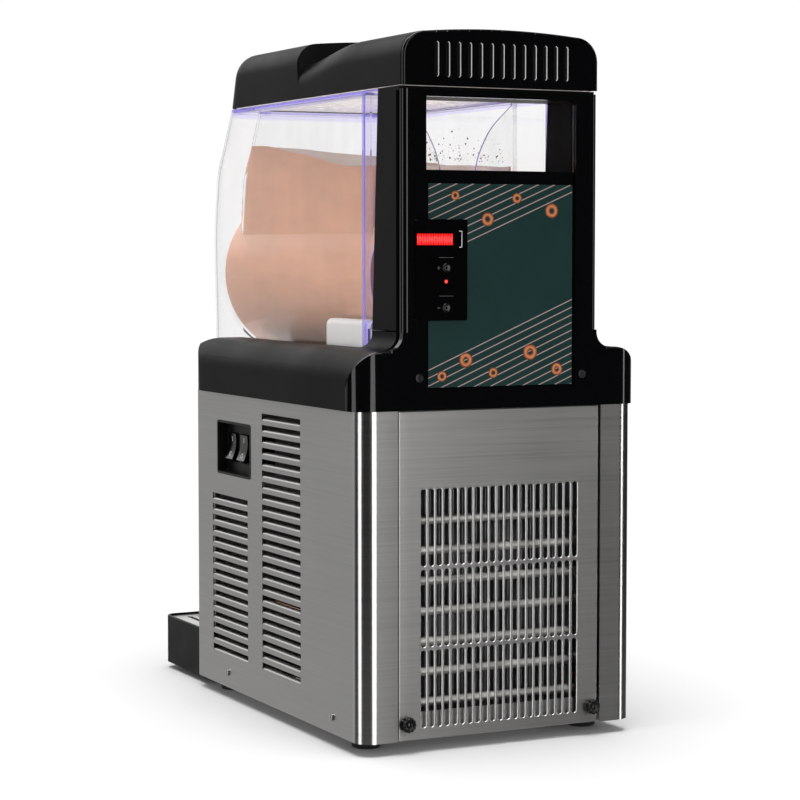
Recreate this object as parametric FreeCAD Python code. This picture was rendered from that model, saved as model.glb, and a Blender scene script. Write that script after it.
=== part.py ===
"""Counter-top frozen drink dispenser with one clear bowl, one tap and a chilled auger.

Millimetres. The tap and drip tray face -Y, the ventilated back faces +Y, +Z is up.
The origin is on the counter, under the middle of the machine's footprint.
Heights are measured from the counter. Lengths along Y are laid out from the flat back
of the cabinet, and every finished piece is moved by the same amount, so that the footprint
is centred on the origin.
"""
import FreeCAD, Part
import math
import os

from FreeCAD import Placement, Rotation, Vector

# Clearances
SEAT_GAP = 0.3            # between pieces that only rest near each other
RUNNING_GAP = 0.08        # radial, where a shaft or a pin turns in a bore
SLIDE_GAP = 0.6           # around pieces that slide or lift off

# Cabinet of folded sheet
CABINET_HALF_WIDTH = 141.0
CABINET_DEPTH = 396.0
CABINET_BOTTOM = 12.0
CABINET_TOP = 308.0
SHEET = 1.2
REAR_CORNER_RADIUS = 16.0
FRONT_CORNER_RADIUS = 6.0
REAR_STRIP_WIDTH = 36.6   # of a side panel, seen from behind
FRONT_RETURN_WIDTH = 19.0
REAR_STRIP_INNER = CABINET_HALF_WIDTH - REAR_STRIP_WIDTH
FRONT_RETURN_INNER = CABINET_HALF_WIDTH - FRONT_RETURN_WIDTH
SCREW_HEIGHT = CABINET_BOTTOM + 15.4
SIDE_SCREWS = ((84.0 - CABINET_DEPTH, SCREW_HEIGHT), (-61.0, SCREW_HEIGHT))   # (y, z) on both sides

# Switch recess in the right side panel
RECESS_INSET = 58.0       # from the cabinet's front
RECESS_LENGTH = 87.0
RECESS_HEIGHT = 54.0
RECESS_BELOW_TOP = 27.5
RECESS_FRONT = RECESS_INSET - CABINET_DEPTH
RECESS_REAR = RECESS_FRONT + RECESS_LENGTH
RECESS_HIGH = CABINET_TOP - RECESS_BELOW_TOP
RECESS_LOW = RECESS_HIGH - RECESS_HEIGHT
RECESS_DEPTH = 10.0
RECESS_WALL = 2.0
ROCKER_LENGTH = 27.0
ROCKER_WIDTH = 19.0
ROCKER_PITCH = 30.0
ROCKER_OFFSET = -7.5      # of the pair from the middle of the recess, towards the front
ROCKER_THROW = 9.0        # degrees either side of flat
ROCKER_PIN = 1.6

# Louvres in the side panels
LOUVRE_LENGTH = 92.0
LOUVRE_PITCH = 11.0
LOUVRE_SLOT = 6.6
LOUVRE_RISE = 3.8         # how high a slat reaches in its slot
LOUVRE_DROP = 4.2         # how far the top edge of a slat is pressed inwards
LOUVRE_LOWEST = 45.0
LOUVRE_INSET = 45.0       # from the cabinet's front to the front column
LOUVRE_STEP = 128.0       # from the front column to the rear one
LOUVRE_COLUMNS = ((LOUVRE_INSET + LOUVRE_STEP - CABINET_DEPTH, CABINET_TOP - 10.0),
                  (LOUVRE_INSET - CABINET_DEPTH, RECESS_LOW - 16.5))   # front end, upper limit

# Ventilated back panel
GRILLE_HALF_WIDTH = REAR_STRIP_INNER - 1.0
GRILLE_FACE = -1.6        # its outer face, just inside the back of the cabinet
SLOT_PITCH = 7.8
SLOT_WIDTH = 5.2
SLOT_MARGIN = 21.4        # from the panel's edges to the field of slots
SLOT_COLUMNS = int(2 * (GRILLE_HALF_WIDTH - SLOT_MARGIN) / SLOT_PITCH)
SLOT_LENGTH = 69.8
SLOT_LOWEST = CABINET_BOTTOM + 10.5
SLOT_ROWS = 3
SLOT_ROW_GAP = 3.0
KNOB_X = GRILLE_HALF_WIDTH - 7.9
KNOB_Z = CABINET_BOTTOM + 15.5
KNOB_RADIUS = 7.6
KNOB_THICKNESS = 8.0
KNOB_SHANK = 2.5

# Feet
FOOT_X = CABINET_HALF_WIDTH - 28.0
FOOT_FRONT = 31.0 - CABINET_DEPTH
FOOT_REAR = -48.0
FOOT_RADIUS = 14.0
FOOT_STUD = 4.0

# Collar and rear frame mouldings on top of the cabinet
COLLAR_OVERHANG = 5.5     # past the cabinet's sides
COLLAR_HALF_WIDTH = CABINET_HALF_WIDTH + COLLAR_OVERHANG
COLLAR_FRONT = -CABINET_DEPTH - 14.0
COLLAR_HEIGHT = 53.5
COLLAR_TOP = CABINET_TOP + COLLAR_HEIGHT
COLLAR_SIDE_ROUND = 28.0
COLLAR_FRONT_ROUND = 36.0
COLLAR_FRONT_CORNER = 42.0
COLLAR_REAR_CORNER = 21.0
COLLAR_WALL = 3.5
COLLAR_DECK = CABINET_TOP + 26.0    # top of the trough that the bowl slides in
FRAME_PART_LOW = CABINET_TOP + 20.0    # below this the frame wraps the rear corners
FOOT_TOP = COLLAR_TOP + 16.0        # top of the flared foot under the column
FLARE = 14.0
COLLAR_LEDGE = CABINET_HALF_WIDTH - 7.0

# Auger, barrel and chiller: column, bowl and lid are laid out round them
BOWL_REACH = 79.5         # in front of the cabinet
BOWL_FRONT = -CABINET_DEPTH - BOWL_REACH
SHAFT_RADIUS = 6.0
AUGER_OUTER = 79.0
AUGER_RIBBON = 17.5
AUGER_INNER = AUGER_OUTER - AUGER_RIBBON
AUGER_PITCH = 62.0
AUGER_REAR = -104.0
AUGER_FRONT = BOWL_FRONT + 35.5
AUGER_THICKNESS = 6.0
AUGER_HUB_RADIUS = SHAFT_RADIUS + 9.0
SPIDER_THICKNESS = 3.1
FILL_BORE = AUGER_OUTER + 1.0
TANK_WALL = 3.0
BARREL_WALL_GAP = 5.0     # from the auger to the inside of the barrel
BARREL_RADIUS = AUGER_OUTER + BARREL_WALL_GAP + TANK_WALL
BARREL_FRONT = AUGER_FRONT - 19.0
BARREL_REAR = AUGER_REAR + 12.0
AXIS_Z = COLLAR_DECK + BARREL_RADIUS + 6.0    # height of the barrel, the chiller and the auger
CHILLER_RADIUS = AUGER_INNER - 3.5
CHILLER_FRONT = AUGER_FRONT + 24.0
SADDLE_FRONT = -172.0
SADDLE_TOP = AXIS_Z - 41.0     # top of the insulating saddle under the barrel
GASKET_DEPTH = 7.4
GASKET_INNER = BARREL_RADIUS - 6.5
FLANGE_RADIUS = BARREL_RADIUS - 1.0
SPIGOT_RADIUS = FLANGE_RADIUS - 19.0
SPIGOT_REAR = -59.0
GEARBOX_DEPTH = 26.0
GEARBOX_HALF_WIDTH = 36.0

# Rear column
COLUMN_MARGIN = 12.5      # from the barrel to the column's sides
COLUMN_HALF_WIDTH = BARREL_RADIUS + COLUMN_MARGIN
COLUMN_DEPTH_TOP = 51.0
COLUMN_DEPTH_FOOT = 63.0
HOPPER_HEIGHT = 78.4      # from the top of the barrel to the top of the column
COLUMN_TOP = AXIS_Z + BARREL_RADIUS + HOPPER_HEIGHT
COLUMN_WALL = 2.6
COLUMN_CORNER = 5.0
SHADOW_GAP = 1.0
FRAME_THICKNESS = 6.6     # depth of the frame's rim
GROOVE_WIDTH = 6.6        # shadow groove between frame and column side
GROOVE_DEPTH = 3.0
FRAME_RIM = 23.1          # from the column's side to the sunk field
FIELD_HALF_WIDTH = COLUMN_HALF_WIDTH - FRAME_RIM   # sunk field with the picture panel and the window
FIELD_LOW = FRAME_PART_LOW - 1.0
FIELD_DEPTH = 2.2
WINDOW_HALF_WIDTH = FIELD_HALF_WIDTH - 0.7
WINDOW_HEIGHT = 64.5
WINDOW_HIGH = COLUMN_TOP - 6.4
WINDOW_LOW = WINDOW_HIGH - WINDOW_HEIGHT
PANEL_HALF_WIDTH = FIELD_HALF_WIDTH - 2.7
PANEL_LOW = FIELD_LOW + 1.0
PANEL_HIGH = WINDOW_LOW - 12.0
PANEL_THICKNESS = 1.0
FRAME_SCREW_X = FIELD_HALF_WIDTH + 7.1
FRAME_SCREW_Z = FIELD_LOW + 10.0

# Control area on the column
BEZEL_WIDTH = 51.6
BEZEL_HEIGHT = 89.3
BEZEL_LEFT = FIELD_HALF_WIDTH + 11.2   # towards +X
BEZEL_RIGHT = BEZEL_LEFT - BEZEL_WIDTH
BEZEL_HIGH = PANEL_HIGH - 32.2
BEZEL_LOW = BEZEL_HIGH - BEZEL_HEIGHT
BEZEL_THICKNESS = 1.6
DISPLAY_X = (BEZEL_LEFT - 37.8, BEZEL_LEFT - 1.2)
DISPLAY_Z = (BEZEL_HIGH - 22.7, BEZEL_HIGH - 12.1)
KEY_X = BEZEL_LEFT - 30.4
KEY_Z = (BEZEL_HIGH - 42.8, BEZEL_HIGH - 78.3)
KEY_RADIUS = 4.2
LED_Z = BEZEL_HIGH - 54.8
LED_RADIUS = 1.6
BOARD_FACE = -8.4

# Lid
LID_BOTTOM = COLUMN_TOP + 3.1
LID_HALF_WIDTH = COLUMN_HALF_WIDTH + 0.5
LID_FRONT = BOWL_FRONT + 60.5
LID_REAR_TOP = LID_BOTTOM + 48.0    # at the side edges of the crowned top, over the column
LID_FRONT_TOP = LID_BOTTOM + 54.5   # the same, in front of the hand groove
LID_CROWN = 3.6
LID_SIDE_ROUND = 22.0
LID_WALL = 3.0
LID_FRONT_LEAN = 20.0
LID_CORNER = 25.0
GRIP_FRONT = -228.0       # steep front wall of the hand groove
GRIP_REAR = -119.0
GRIP_FLOOR = LID_BOTTOM + 40.0
VENT_COUNT = 13
VENT_PITCH = 11.0
VENT_WIDTH = 4.0
VENT_LOW = LID_BOTTOM + 8.0
VENT_HIGH = LID_BOTTOM + 39.0
LID_PANEL_THICKNESS = 4.0

# Clear bowl: outer shell and inner tank
BOWL_HALF_WIDTH = COLUMN_HALF_WIDTH - 1.9
BOWL_WALL = 3.0
BOWL_BOTTOM = COLLAR_DECK + 4.0
BOWL_RIM = LID_BOTTOM - SEAT_GAP
BOWL_CORNER = 30.0
BOWL_SIDE_END = -45.0     # before the side walls are trimmed to the column
BOWL_BACK = -85.0         # outer face of the shell's back wall
BOWL_PROFILE = ((BOWL_FRONT + 7.0, BOWL_BOTTOM - 16.0), (BOWL_FRONT + 4.0, BOWL_BOTTOM + 12.0),
                (BOWL_FRONT + 1.0, AXIS_Z - 18.0), (BOWL_FRONT, AXIS_Z + 50.0),
                (BOWL_FRONT + 4.5, BOWL_RIM - 86.2), (BOWL_FRONT + 10.5, BOWL_RIM - 62.2),
                (BOWL_FRONT + 25.5, BOWL_RIM - 39.2), (BOWL_FRONT + 48.5, BOWL_RIM - 0.7),
                (BOWL_FRONT + 55.5, BOWL_RIM + 10.8))   # (y, z) down the middle of the front, past both ends
TRUMPET = ((18.5, BOWL_RIM - 70.2), (21.5, BOWL_RIM - 58.2), (27.0, BOWL_RIM - 45.2),
           (36.0, BOWL_RIM - 30.2), (57.0, BOWL_RIM - 9.2))   # half gap and height of the back wall's mouth
TANK_HALF_WIDTH = BARREL_RADIUS - 10.0
TANK_BACK = -112.0
TANK_CORNER = 25.0
TANK_INSET = 31.0         # from the shell's front to the hopper's front
FILL_FRONT_LEVEL = BOWL_RIM - 36.2
FILL_REAR_LEVEL = BOWL_RIM - 65.7

# Tap
TAP_WALL = 4.5
TAP_BORE = 12.5
TAP_RADIUS = TAP_BORE + TAP_WALL
TAP_Y = BOWL_FRONT - TAP_RADIUS - 0.5
TAP_EAR = 4.0             # thickness of the lever's two ears
TAP_LOW = AXIS_Z - 75.0
TAP_HIGH = AXIS_Z + 5.0
PISTON_LOW = TAP_LOW + 5.0
PISTON_HIGH = TAP_LOW + 40.0
PIVOT_Z = TAP_HIGH + 10.5
PIVOT_RADIUS = 3.0
LEVER_LENGTH = 96.0
TAP_NECK = 13.0
TAP_NECK_Z = TAP_LOW + 20.0

# Drip tray
TRAY_HALF_WIDTH = CABINET_HALF_WIDTH - 9.0
TRAY_REACH = 123.0        # in front of the cabinet
TRAY_FRONT = -CABINET_DEPTH - TRAY_REACH
TRAY_LOW = 6.5
TRAY_HIGH = 57.0
TRAY_WALL = 2.8
TRAY_CORNER = 14.0
GRID_THICKNESS = 3.0
GRID_DROP = 2.0
GRID_PITCH = 11.0
TRAY_HOOK_X = 70.0
TRAY_HOOK_LOW = 40.0

# Cooling unit inside the cabinet
FAN_Z = CABINET_BOTTOM + 114.0
FAN_RADIUS = 68.0
FAN_BLADES = 5
CONDENSER_HALF_WIDTH = FAN_RADIUS + 11.0
TUBE_RADIUS = 4.2
TUBE_ROWS = 7
TUBE_PITCH = 27.5
TUBE_LOWEST = CABINET_BOTTOM + 31.0
TUBE_HIGHEST = TUBE_LOWEST + (TUBE_ROWS - 1) * TUBE_PITCH
TUBE_Y = -17.0
FIN_COUNT = 31
FIN_THICKNESS = 0.5
FIN_FRONT = TUBE_Y - TUBE_RADIUS - 12.0
FIN_TOP = TUBE_HIGHEST + 26.0
CONDENSER_TOP = FIN_TOP + 4.0
COMPRESSOR_RADIUS = 62.0
COMPRESSOR_Y = -228.0
DRYER_X = CABINET_HALF_WIDTH - 29.0
DRYER_Y = -96.0
DRYER_LOW = CABINET_BOTTOM + 54.0
DRYER_LENGTH = 108.0
DRYER_RADIUS = 9.0
LINE_INSET = 23.0         # from the cabinet's side to the line that leaves the coil
GLAND_RADIUS = 9.0
GLAND_NUT = GLAND_RADIUS + 4.0    # to the corners of its nuts
GLAND_GAP = 2.0           # between nut and foot
GLAND_X = FOOT_RADIUS + GLAND_NUT + GLAND_GAP - FOOT_X
GLAND_Y = -60.0

# The footprint reaches from the tray's front to the knobs behind the back panel
FOOTPRINT_REAR = GRILLE_FACE + KNOB_THICKNESS + SEAT_GAP
Y_SHIFT = -(TRAY_FRONT + FOOTPRINT_REAR) / 2.0


def box(x, y, z):
    """A block from three (low, high) pairs."""
    size = [high - low for low, high in (x, y, z)]
    return Part.makeBox(size[0], size[1], size[2], Vector(x[0], y[0], z[0]))


def rod(radius, start, end):
    """A cylinder from one point to another."""
    start, end = Vector(*start), Vector(*end)
    return Part.makeCylinder(radius, (end - start).Length, start, end - start)


def ring(outer, inner, start, end):
    """A cylinder with a round bore."""
    return rod(outer, start, end).cut(rod(inner, start, end))


def cone(radius_start, radius_end, start, end):
    """A tapered round from one point to another."""
    start, end = Vector(*start), Vector(*end)
    return Part.makeCone(radius_start, radius_end, (end - start).Length, start, end - start)


def outline(corners):
    """Edges of a closed polygon of (a, b) or (a, b, radius) corners, laid in plane XY."""
    count = len(corners)
    points = [Vector(c[0], c[1], 0) for c in corners]
    radii = [c[2] if len(c) > 2 else 0.0 for c in corners]
    pieces = []
    for i in range(count):
        corner, before, after = points[i], points[i - 1], points[(i + 1) % count]
        if radii[i] <= 0:
            pieces.append((corner, None, corner))
            continue
        back = (before - corner).normalize()
        ahead = (after - corner).normalize()
        half = back.getAngle(ahead) / 2.0
        reach = radii[i] / math.tan(half)
        bisector = (back + ahead).normalize()
        centre = corner + bisector * (radii[i] / math.sin(half))
        pieces.append((corner + back * reach, centre - bisector * radii[i], corner + ahead * reach))
    edges = []
    for i in range(count):
        first, middle, last = pieces[i]
        if middle is not None:
            edges.append(Part.Arc(first, middle, last).toShape())
        target = pieces[(i + 1) % count][0]
        if (target - last).Length > 1e-6:
            edges.append(Part.LineSegment(last, target).toShape())
    return Part.Wire(edges)


TURN = {
    "xy": Rotation(),
    "xz": Rotation(Vector(1, 0, 0), 90),
    "yz": Rotation(Vector(0, 0, 1), 90).multiply(Rotation(Vector(1, 0, 0), 90)),
}
NORMAL = {"xy": Vector(0, 0, 1), "xz": Vector(0, -1, 0), "yz": Vector(1, 0, 0)}


def extrude(shape, plane, low, high):
    """Carry an outline, or a list of corners, across `plane` from low to high."""
    wire = outline(shape) if isinstance(shape, (list, tuple)) else shape.copy()
    wire.Placement = Placement(Vector(), TURN[plane])
    normal = NORMAL[plane]
    start = low if plane != "xz" else high
    wire.translate(normal * start if plane != "xz" else Vector(0, start, 0))
    return Part.Face(wire).extrude(normal * (high - low))


def spline_edge(points):
    """A smooth curve through (a, b) points in plane XY."""
    curve = Part.BSplineCurve()
    curve.interpolate([Vector(a, b, 0) for a, b in points])
    return curve.toShape()


def closed(edges):
    """A wire from edges given in any order."""
    return Part.Wire(Part.__sortEdges__(edges))


def line(a, b):
    """A straight edge between two (a, b) points in plane XY."""
    return Part.LineSegment(Vector(a[0], a[1], 0), Vector(b[0], b[1], 0)).toShape()


def both_sides(shape):
    """The shape and its mirror image in the plane x = 0."""
    return [shape, shape.mirror(Vector(), Vector(1, 0, 0))]


def fused(shapes):
    """One solid from shapes that meet or overlap."""
    whole = shapes[0].multiFuse(shapes[1:]) if len(shapes) > 1 else shapes[0]
    return whole.removeSplitter()


def cut(shape, tools):
    """The shape less several tools."""
    return shape.cut(Part.makeCompound(list(tools)))


def tube(points, radius, bend):
    """A round tube along straight runs, each corner taken in one short mitred run."""
    nodes = [Vector(*p) for p in points]
    path = [nodes[0]]
    for i in range(1, len(nodes) - 1):
        back = (nodes[i - 1] - nodes[i]).normalize()
        ahead = (nodes[i + 1] - nodes[i]).normalize()
        path.extend([nodes[i] + back * bend, nodes[i] + ahead * bend])
    path.append(nodes[-1])
    section = Part.Wire(Part.makeCircle(radius, path[0], (path[1] - path[0]).normalize()))
    return Part.makePolygon(path).makePipeShell([section], True, False, 1)


# Cabinet

def side_panel_plan():
    """Plan outline of the right side panel's folded sheet."""
    w, t = CABINET_HALF_WIDTH, SHEET
    front, rear = -CABINET_DEPTH, 0.0
    rf, rr = FRONT_CORNER_RADIUS, REAR_CORNER_RADIUS
    return [(FRONT_RETURN_INNER, front), (w, front, rf), (w, rear, rr), (REAR_STRIP_INNER, rear),
            (REAR_STRIP_INNER, rear - t), (w - t, rear - t, rr - t), (w - t, front + t, rf - t),
            (FRONT_RETURN_INNER, front + t)]


def louvre_slots():
    """(front end, low edge) of every louvre."""
    for front, limit in LOUVRE_COLUMNS:
        count = int((limit - LOUVRE_SLOT - LOUVRE_LOWEST) / LOUVRE_PITCH) + 1
        for row in range(count):
            yield front, LOUVRE_LOWEST + row * LOUVRE_PITCH


def louvre_slat(front, low):
    """A slat that leaves the sheet at its lower edge and leans in at the top."""
    outer, t = CABINET_HALF_WIDTH, SHEET
    top = low + LOUVRE_RISE
    section = [(outer, low - 0.4), (outer - LOUVRE_DROP, top), (outer - LOUVRE_DROP - t, top),
               (outer - t, low - 0.4)]
    return extrude(section, "xz", front + 0.01, front + LOUVRE_LENGTH - 0.01)


def side_panel(with_switches):
    """Folded stainless side with two columns of pressed louvres."""
    sheet = extrude(side_panel_plan(), "xy", CABINET_BOTTOM, CABINET_TOP)
    through = (CABINET_HALF_WIDTH - 2 * SHEET, CABINET_HALF_WIDTH + SHEET)
    openings = [box(through, (front, front + LOUVRE_LENGTH), (low, low + LOUVRE_SLOT))
                for front, low in louvre_slots()]
    for y, z in SIDE_SCREWS:
        openings.append(rod(2.2, (through[0], y, z), (through[1], y, z)))
    if with_switches:
        window = [(RECESS_FRONT, RECESS_LOW, 3.0), (RECESS_REAR, RECESS_LOW, 3.0),
                  (RECESS_REAR, RECESS_HIGH, 3.0), (RECESS_FRONT, RECESS_HIGH, 3.0)]
        openings.append(extrude(window, "yz", through[0], through[1]))
    slats = [louvre_slat(front, low) for front, low in louvre_slots()]
    return cut(sheet, openings).multiFuse(slats)


def side_screws():
    """Pan-head screws that hold the side panels to the floor pan."""
    outer = CABINET_HALF_WIDTH
    screws = []
    for y, z in SIDE_SCREWS:
        head = rod(3.4, (outer + 0.05, y, z), (outer + 1.6, y, z))
        shank = rod(2.0, (outer - 5.0, y, z), (outer + 0.05, y, z))
        slot = box((outer + 0.9, outer + 2), (y - 0.5, y + 0.5), (z - 3, z + 3))
        screws.extend(both_sides(fused([head, shank]).cut(slot)))
    return Part.makeCompound(screws)


def floor_pan():
    """Folded floor with turned-up edges that the panels screw to."""
    w = CABINET_HALF_WIDTH - SHEET - SEAT_GAP
    front, rear = -CABINET_DEPTH + SHEET + SEAT_GAP, -7.0
    low, high = CABINET_BOTTOM, CABINET_BOTTOM + 24.0
    plan = [(-w, front, 5.0), (w, front, 5.0), (w, rear, 13.0), (-w, rear, 13.0)]
    inner = [(-w + 1.5, front + 1.5, 3.5), (w - 1.5, front + 1.5, 3.5),
             (w - 1.5, rear - 1.5, 11.5), (-w + 1.5, rear - 1.5, 11.5)]
    pan = extrude(plan, "xy", low, high).cut(extrude(inner, "xy", low + 1.5, high + 1))
    holes = [rod(FOOT_STUD + 0.2, (x, y, low - 1), (x, y, low + 3)) for x, y in foot_places()]
    for y, z in SIDE_SCREWS:
        holes.append(rod(2.2, (-w - 1, y, z), (w + 1, y, z)))
    for sign in (-1, 1):
        holes.append(rod(KNOB_SHANK + 0.1, (sign * KNOB_X, rear - 3, KNOB_Z), (sign * KNOB_X, 1, KNOB_Z)))
    holes.append(rod(GLAND_RADIUS + 0.1, (GLAND_X, GLAND_Y, low - 1), (GLAND_X, GLAND_Y, low + 3)))
    vents = [box((x, x + 6), (front + 64.5, front + 104.5), (low - 1, low + 3)) for x in range(-60, 61, 20)]
    return cut(pan, holes + vents)


def foot_places():
    """Centres of the four feet."""
    return [(x, y) for x in (-FOOT_X, FOOT_X) for y in (FOOT_FRONT, FOOT_REAR)]


def feet():
    """Four tapered rubber feet on threaded studs."""
    made = []
    for x, y in foot_places():
        pad = cone(FOOT_RADIUS - 1.5, FOOT_RADIUS, (x, y, 0), (x, y, CABINET_BOTTOM - SEAT_GAP / 3))
        stud = rod(FOOT_STUD, (x, y, 8), (x, y, CABINET_BOTTOM + 9))
        made.append(fused([pad, stud]))
    return Part.makeCompound(made)


def front_panel():
    """Plain stainless front, folded back at both edges."""
    w = FRONT_RETURN_INNER - SEAT_GAP
    front, t = -CABINET_DEPTH, SHEET
    plan = [(-w, front), (w, front), (w, front + 16), (w - t, front + 16), (w - t, front + t),
            (-w + t, front + t), (-w + t, front + 16), (-w, front + 16)]
    sheet = extrude(plan, "xy", CABINET_BOTTOM + 0.5, CABINET_TOP)
    slots = [box((x - 9, x + 9), (front - 1, front + 3), (TRAY_HOOK_LOW - 1.0, TRAY_HOOK_LOW + 7.0))
             for x in (-TRAY_HOOK_X, TRAY_HOOK_X)]
    ends = [box((-w, w), (front + t, front + 20), (CABINET_BOTTOM, CABINET_BOTTOM + 25)),
            box((-w, w), (front + t, front + 20), (CABINET_TOP - 4, CABINET_TOP + 1))]
    return cut(sheet, slots + ends)


def top_deck():
    """Steel deck that closes the cabinet and carries the drive and the chiller."""
    w = CABINET_HALF_WIDTH - SHEET - SEAT_GAP
    front, rear = -CABINET_DEPTH + SHEET + SEAT_GAP, -7.2
    plan = [(-w, front, 4.5), (w, front, 4.5), (w, rear, 12.0), (-w, rear, 12.0)]
    low = CABINET_TOP - 3.0
    deck = extrude(plan, "xy", low, CABINET_TOP - 0.2)
    openings = [box((-34, 34), (-62, -12), (low - 1, CABINET_TOP + 1)),
                rod(10.0, (riser_x(), -52, low - 1), (riser_x(), -52, CABINET_TOP + 1))]
    return cut(deck, openings)


def slot_outline(x, low, high, width, bevel):
    """Outline of an upright slot with bevelled ends."""
    half = width / 2.0
    right = [(x + half - bevel, low), (x + half, low + bevel), (x + half, high - bevel),
             (x + half - bevel, high)]
    left = [(2 * x - a, b) for a, b in reversed(right)]
    return outline(right + left)


def grille_slot(column, row):
    """Outline of one slot in the back panel."""
    x = (column - (SLOT_COLUMNS - 1) / 2.0) * SLOT_PITCH
    low = SLOT_LOWEST + row * (SLOT_LENGTH + SLOT_ROW_GAP)
    return slot_outline(x, low, low + SLOT_LENGTH, SLOT_WIDTH, 1.6)


def rear_grille_panel():
    """Removable back panel with three rows of slots, folded in at both edges."""
    w, t, face = GRILLE_HALF_WIDTH, SHEET, GRILLE_FACE
    low, high = CABINET_BOTTOM + 0.4, CABINET_TOP - 0.6
    blank = outline([(-w, low), (w, low), (w, high), (-w, high)])
    holes = [grille_slot(c, r) for c in range(SLOT_COLUMNS) for r in range(SLOT_ROWS)]
    for sign in (-1, 1):
        circle = Part.makeCircle(KNOB_SHANK + RUNNING_GAP, Vector(sign * KNOB_X, KNOB_Z, 0))
        holes.append(Part.Wire(circle))
    sheet = Part.makeFace([blank] + holes, "Part::FaceMakerBullseye")
    sheet.Placement = Placement(Vector(0, face, 0), TURN["xz"])
    plate = sheet.extrude(Vector(0, -t, 0))
    flanges = [box((w - t, w), (face - 5.0, face), (low, high)),
               box((-w, -w + t), (face - 5.0, face), (low, high))]
    return plate.multiFuse(flanges)


def thumb_knob(sign):
    """Lobed thumb screw that holds the back panel."""
    x, face = sign * KNOB_X, GRILLE_FACE + SEAT_GAP
    lobes = []
    for i in range(6):
        angle = i * math.pi / 3.0
        cx = x + (KNOB_RADIUS - 2.4) * math.cos(angle)
        cz = KNOB_Z + (KNOB_RADIUS - 2.4) * math.sin(angle)
        lobes.append(rod(2.4, (cx, face + 1.5, cz), (cx, face + KNOB_THICKNESS, cz)))
    core = rod(KNOB_RADIUS - 2.0, (x, face, KNOB_Z), (x, face + KNOB_THICKNESS, KNOB_Z))
    shank = rod(KNOB_SHANK, (x, face - 7.4, KNOB_Z), (x, face + 1.0, KNOB_Z))
    return core.multiFuse(lobes + [shank]).removeSplitter()


# Switch recess

def switch_housing():
    """Sunk black tray behind the side panel, with two cut-outs for rockers."""
    outer = CABINET_HALF_WIDTH
    inner = outer - RECESS_DEPTH
    g, wall = SEAT_GAP, RECESS_WALL
    front, rear, low, high = RECESS_FRONT + g, RECESS_REAR - g, RECESS_LOW + g, RECESS_HIGH - g
    plan = [(front, low, 2.7), (rear, low, 2.7), (rear, high, 2.7), (front, high, 2.7)]
    pocket = [(front + wall, low + wall, 1.0), (rear - wall, low + wall, 1.0),
              (rear - wall, high - wall, 1.0), (front + wall, high - wall, 1.0)]
    body = extrude(plan, "yz", inner - wall, outer + 0.4)
    body = body.cut(extrude(pocket, "yz", inner, outer + 1))
    behind = outer - SHEET - g
    edge = [(front - 4, low - 4, 3), (rear + 4, low - 4, 3), (rear + 4, high + 4, 3),
            (front - 4, high + 4, 3)]
    rim = extrude(edge, "yz", behind - 1.6, behind)
    body = body.fuse(rim.cut(extrude(plan, "yz", behind - 2, behind + 1)))
    wells = [box((inner - wall - 1, inner + 1), (y - ROCKER_WIDTH / 2 - 1, y + ROCKER_WIDTH / 2 + 1),
                 (rocker_z() - ROCKER_LENGTH / 2 - 1, rocker_z() + ROCKER_LENGTH / 2 + 1))
             for y in rocker_places()]
    return cut(body, wells).removeSplitter()


def rocker_places():
    """Centres of the two rockers along Y."""
    middle = (RECESS_FRONT + RECESS_REAR) / 2.0 + ROCKER_OFFSET
    return [middle - ROCKER_PITCH / 2.0, middle + ROCKER_PITCH / 2.0]


def rocker_z():
    """Height of the rockers' pins."""
    return (RECESS_LOW + RECESS_HIGH) / 2.0


def rocker_x():
    """Distance of the rockers' pins from the middle of the machine."""
    return CABINET_HALF_WIDTH - RECESS_DEPTH - RECESS_WALL - SEAT_GAP - 2.2


def switch_bodies():
    """Black switch cases that stand behind the recess and carry the rockers' pins."""
    made = []
    inner = CABINET_HALF_WIDTH - RECESS_DEPTH - RECESS_WALL - SEAT_GAP
    z = rocker_z()
    for y in rocker_places():
        half_y, half_z = ROCKER_WIDTH / 2.0 + 2.5, ROCKER_LENGTH / 2.0 + 2.5
        case = box((inner - 24, inner), (y - half_y, y + half_y), (z - half_z, z + half_z))
        well = box((inner - 10, inner + 1), (y - half_y + 2, y + half_y - 2),
                   (z - half_z + 2, z + half_z - 2))
        pin = rod(ROCKER_PIN, (rocker_x(), y - half_y + 1.0, z), (rocker_x(), y + half_y - 1.0, z))
        blades = [box((inner - 31, inner - 23.5), (y - 3, y + 3), (z + s * 7 - 0.4, z + s * 7 + 0.4))
                  for s in (-1, 1)]
        made.append(fused([case.cut(well), pin] + blades))
    return Part.makeCompound(made)


def rocker(index):
    """One rocker, bowed along its length, tipped to one end of its throw."""
    y, z, x = rocker_places()[index], rocker_z(), rocker_x()
    half, back = ROCKER_LENGTH / 2.0, x - 2.0
    low, high = (x + 9.6, z - half), (x + 9.6, z + half)
    inner_low, inner_high = (back, z - half + 3.0), (back, z + half - 3.0)
    face = Part.Arc(Vector(*low, 0), Vector(x + 7.1, z, 0), Vector(*high, 0)).toShape()
    base = [line(high, inner_high), line(inner_high, inner_low), line(inner_low, low)]
    body = extrude(closed([face] + base), "xz", y - ROCKER_WIDTH / 2.0, y + ROCKER_WIDTH / 2.0)
    bore = rod(ROCKER_PIN + RUNNING_GAP, (x, y - 20, z), (x, y + 20, z))
    body = body.cut(bore)
    body.rotate(Vector(x, y, z), Vector(0, 1, 0), -ROCKER_THROW)
    return body


# Collar and rear frame

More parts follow.
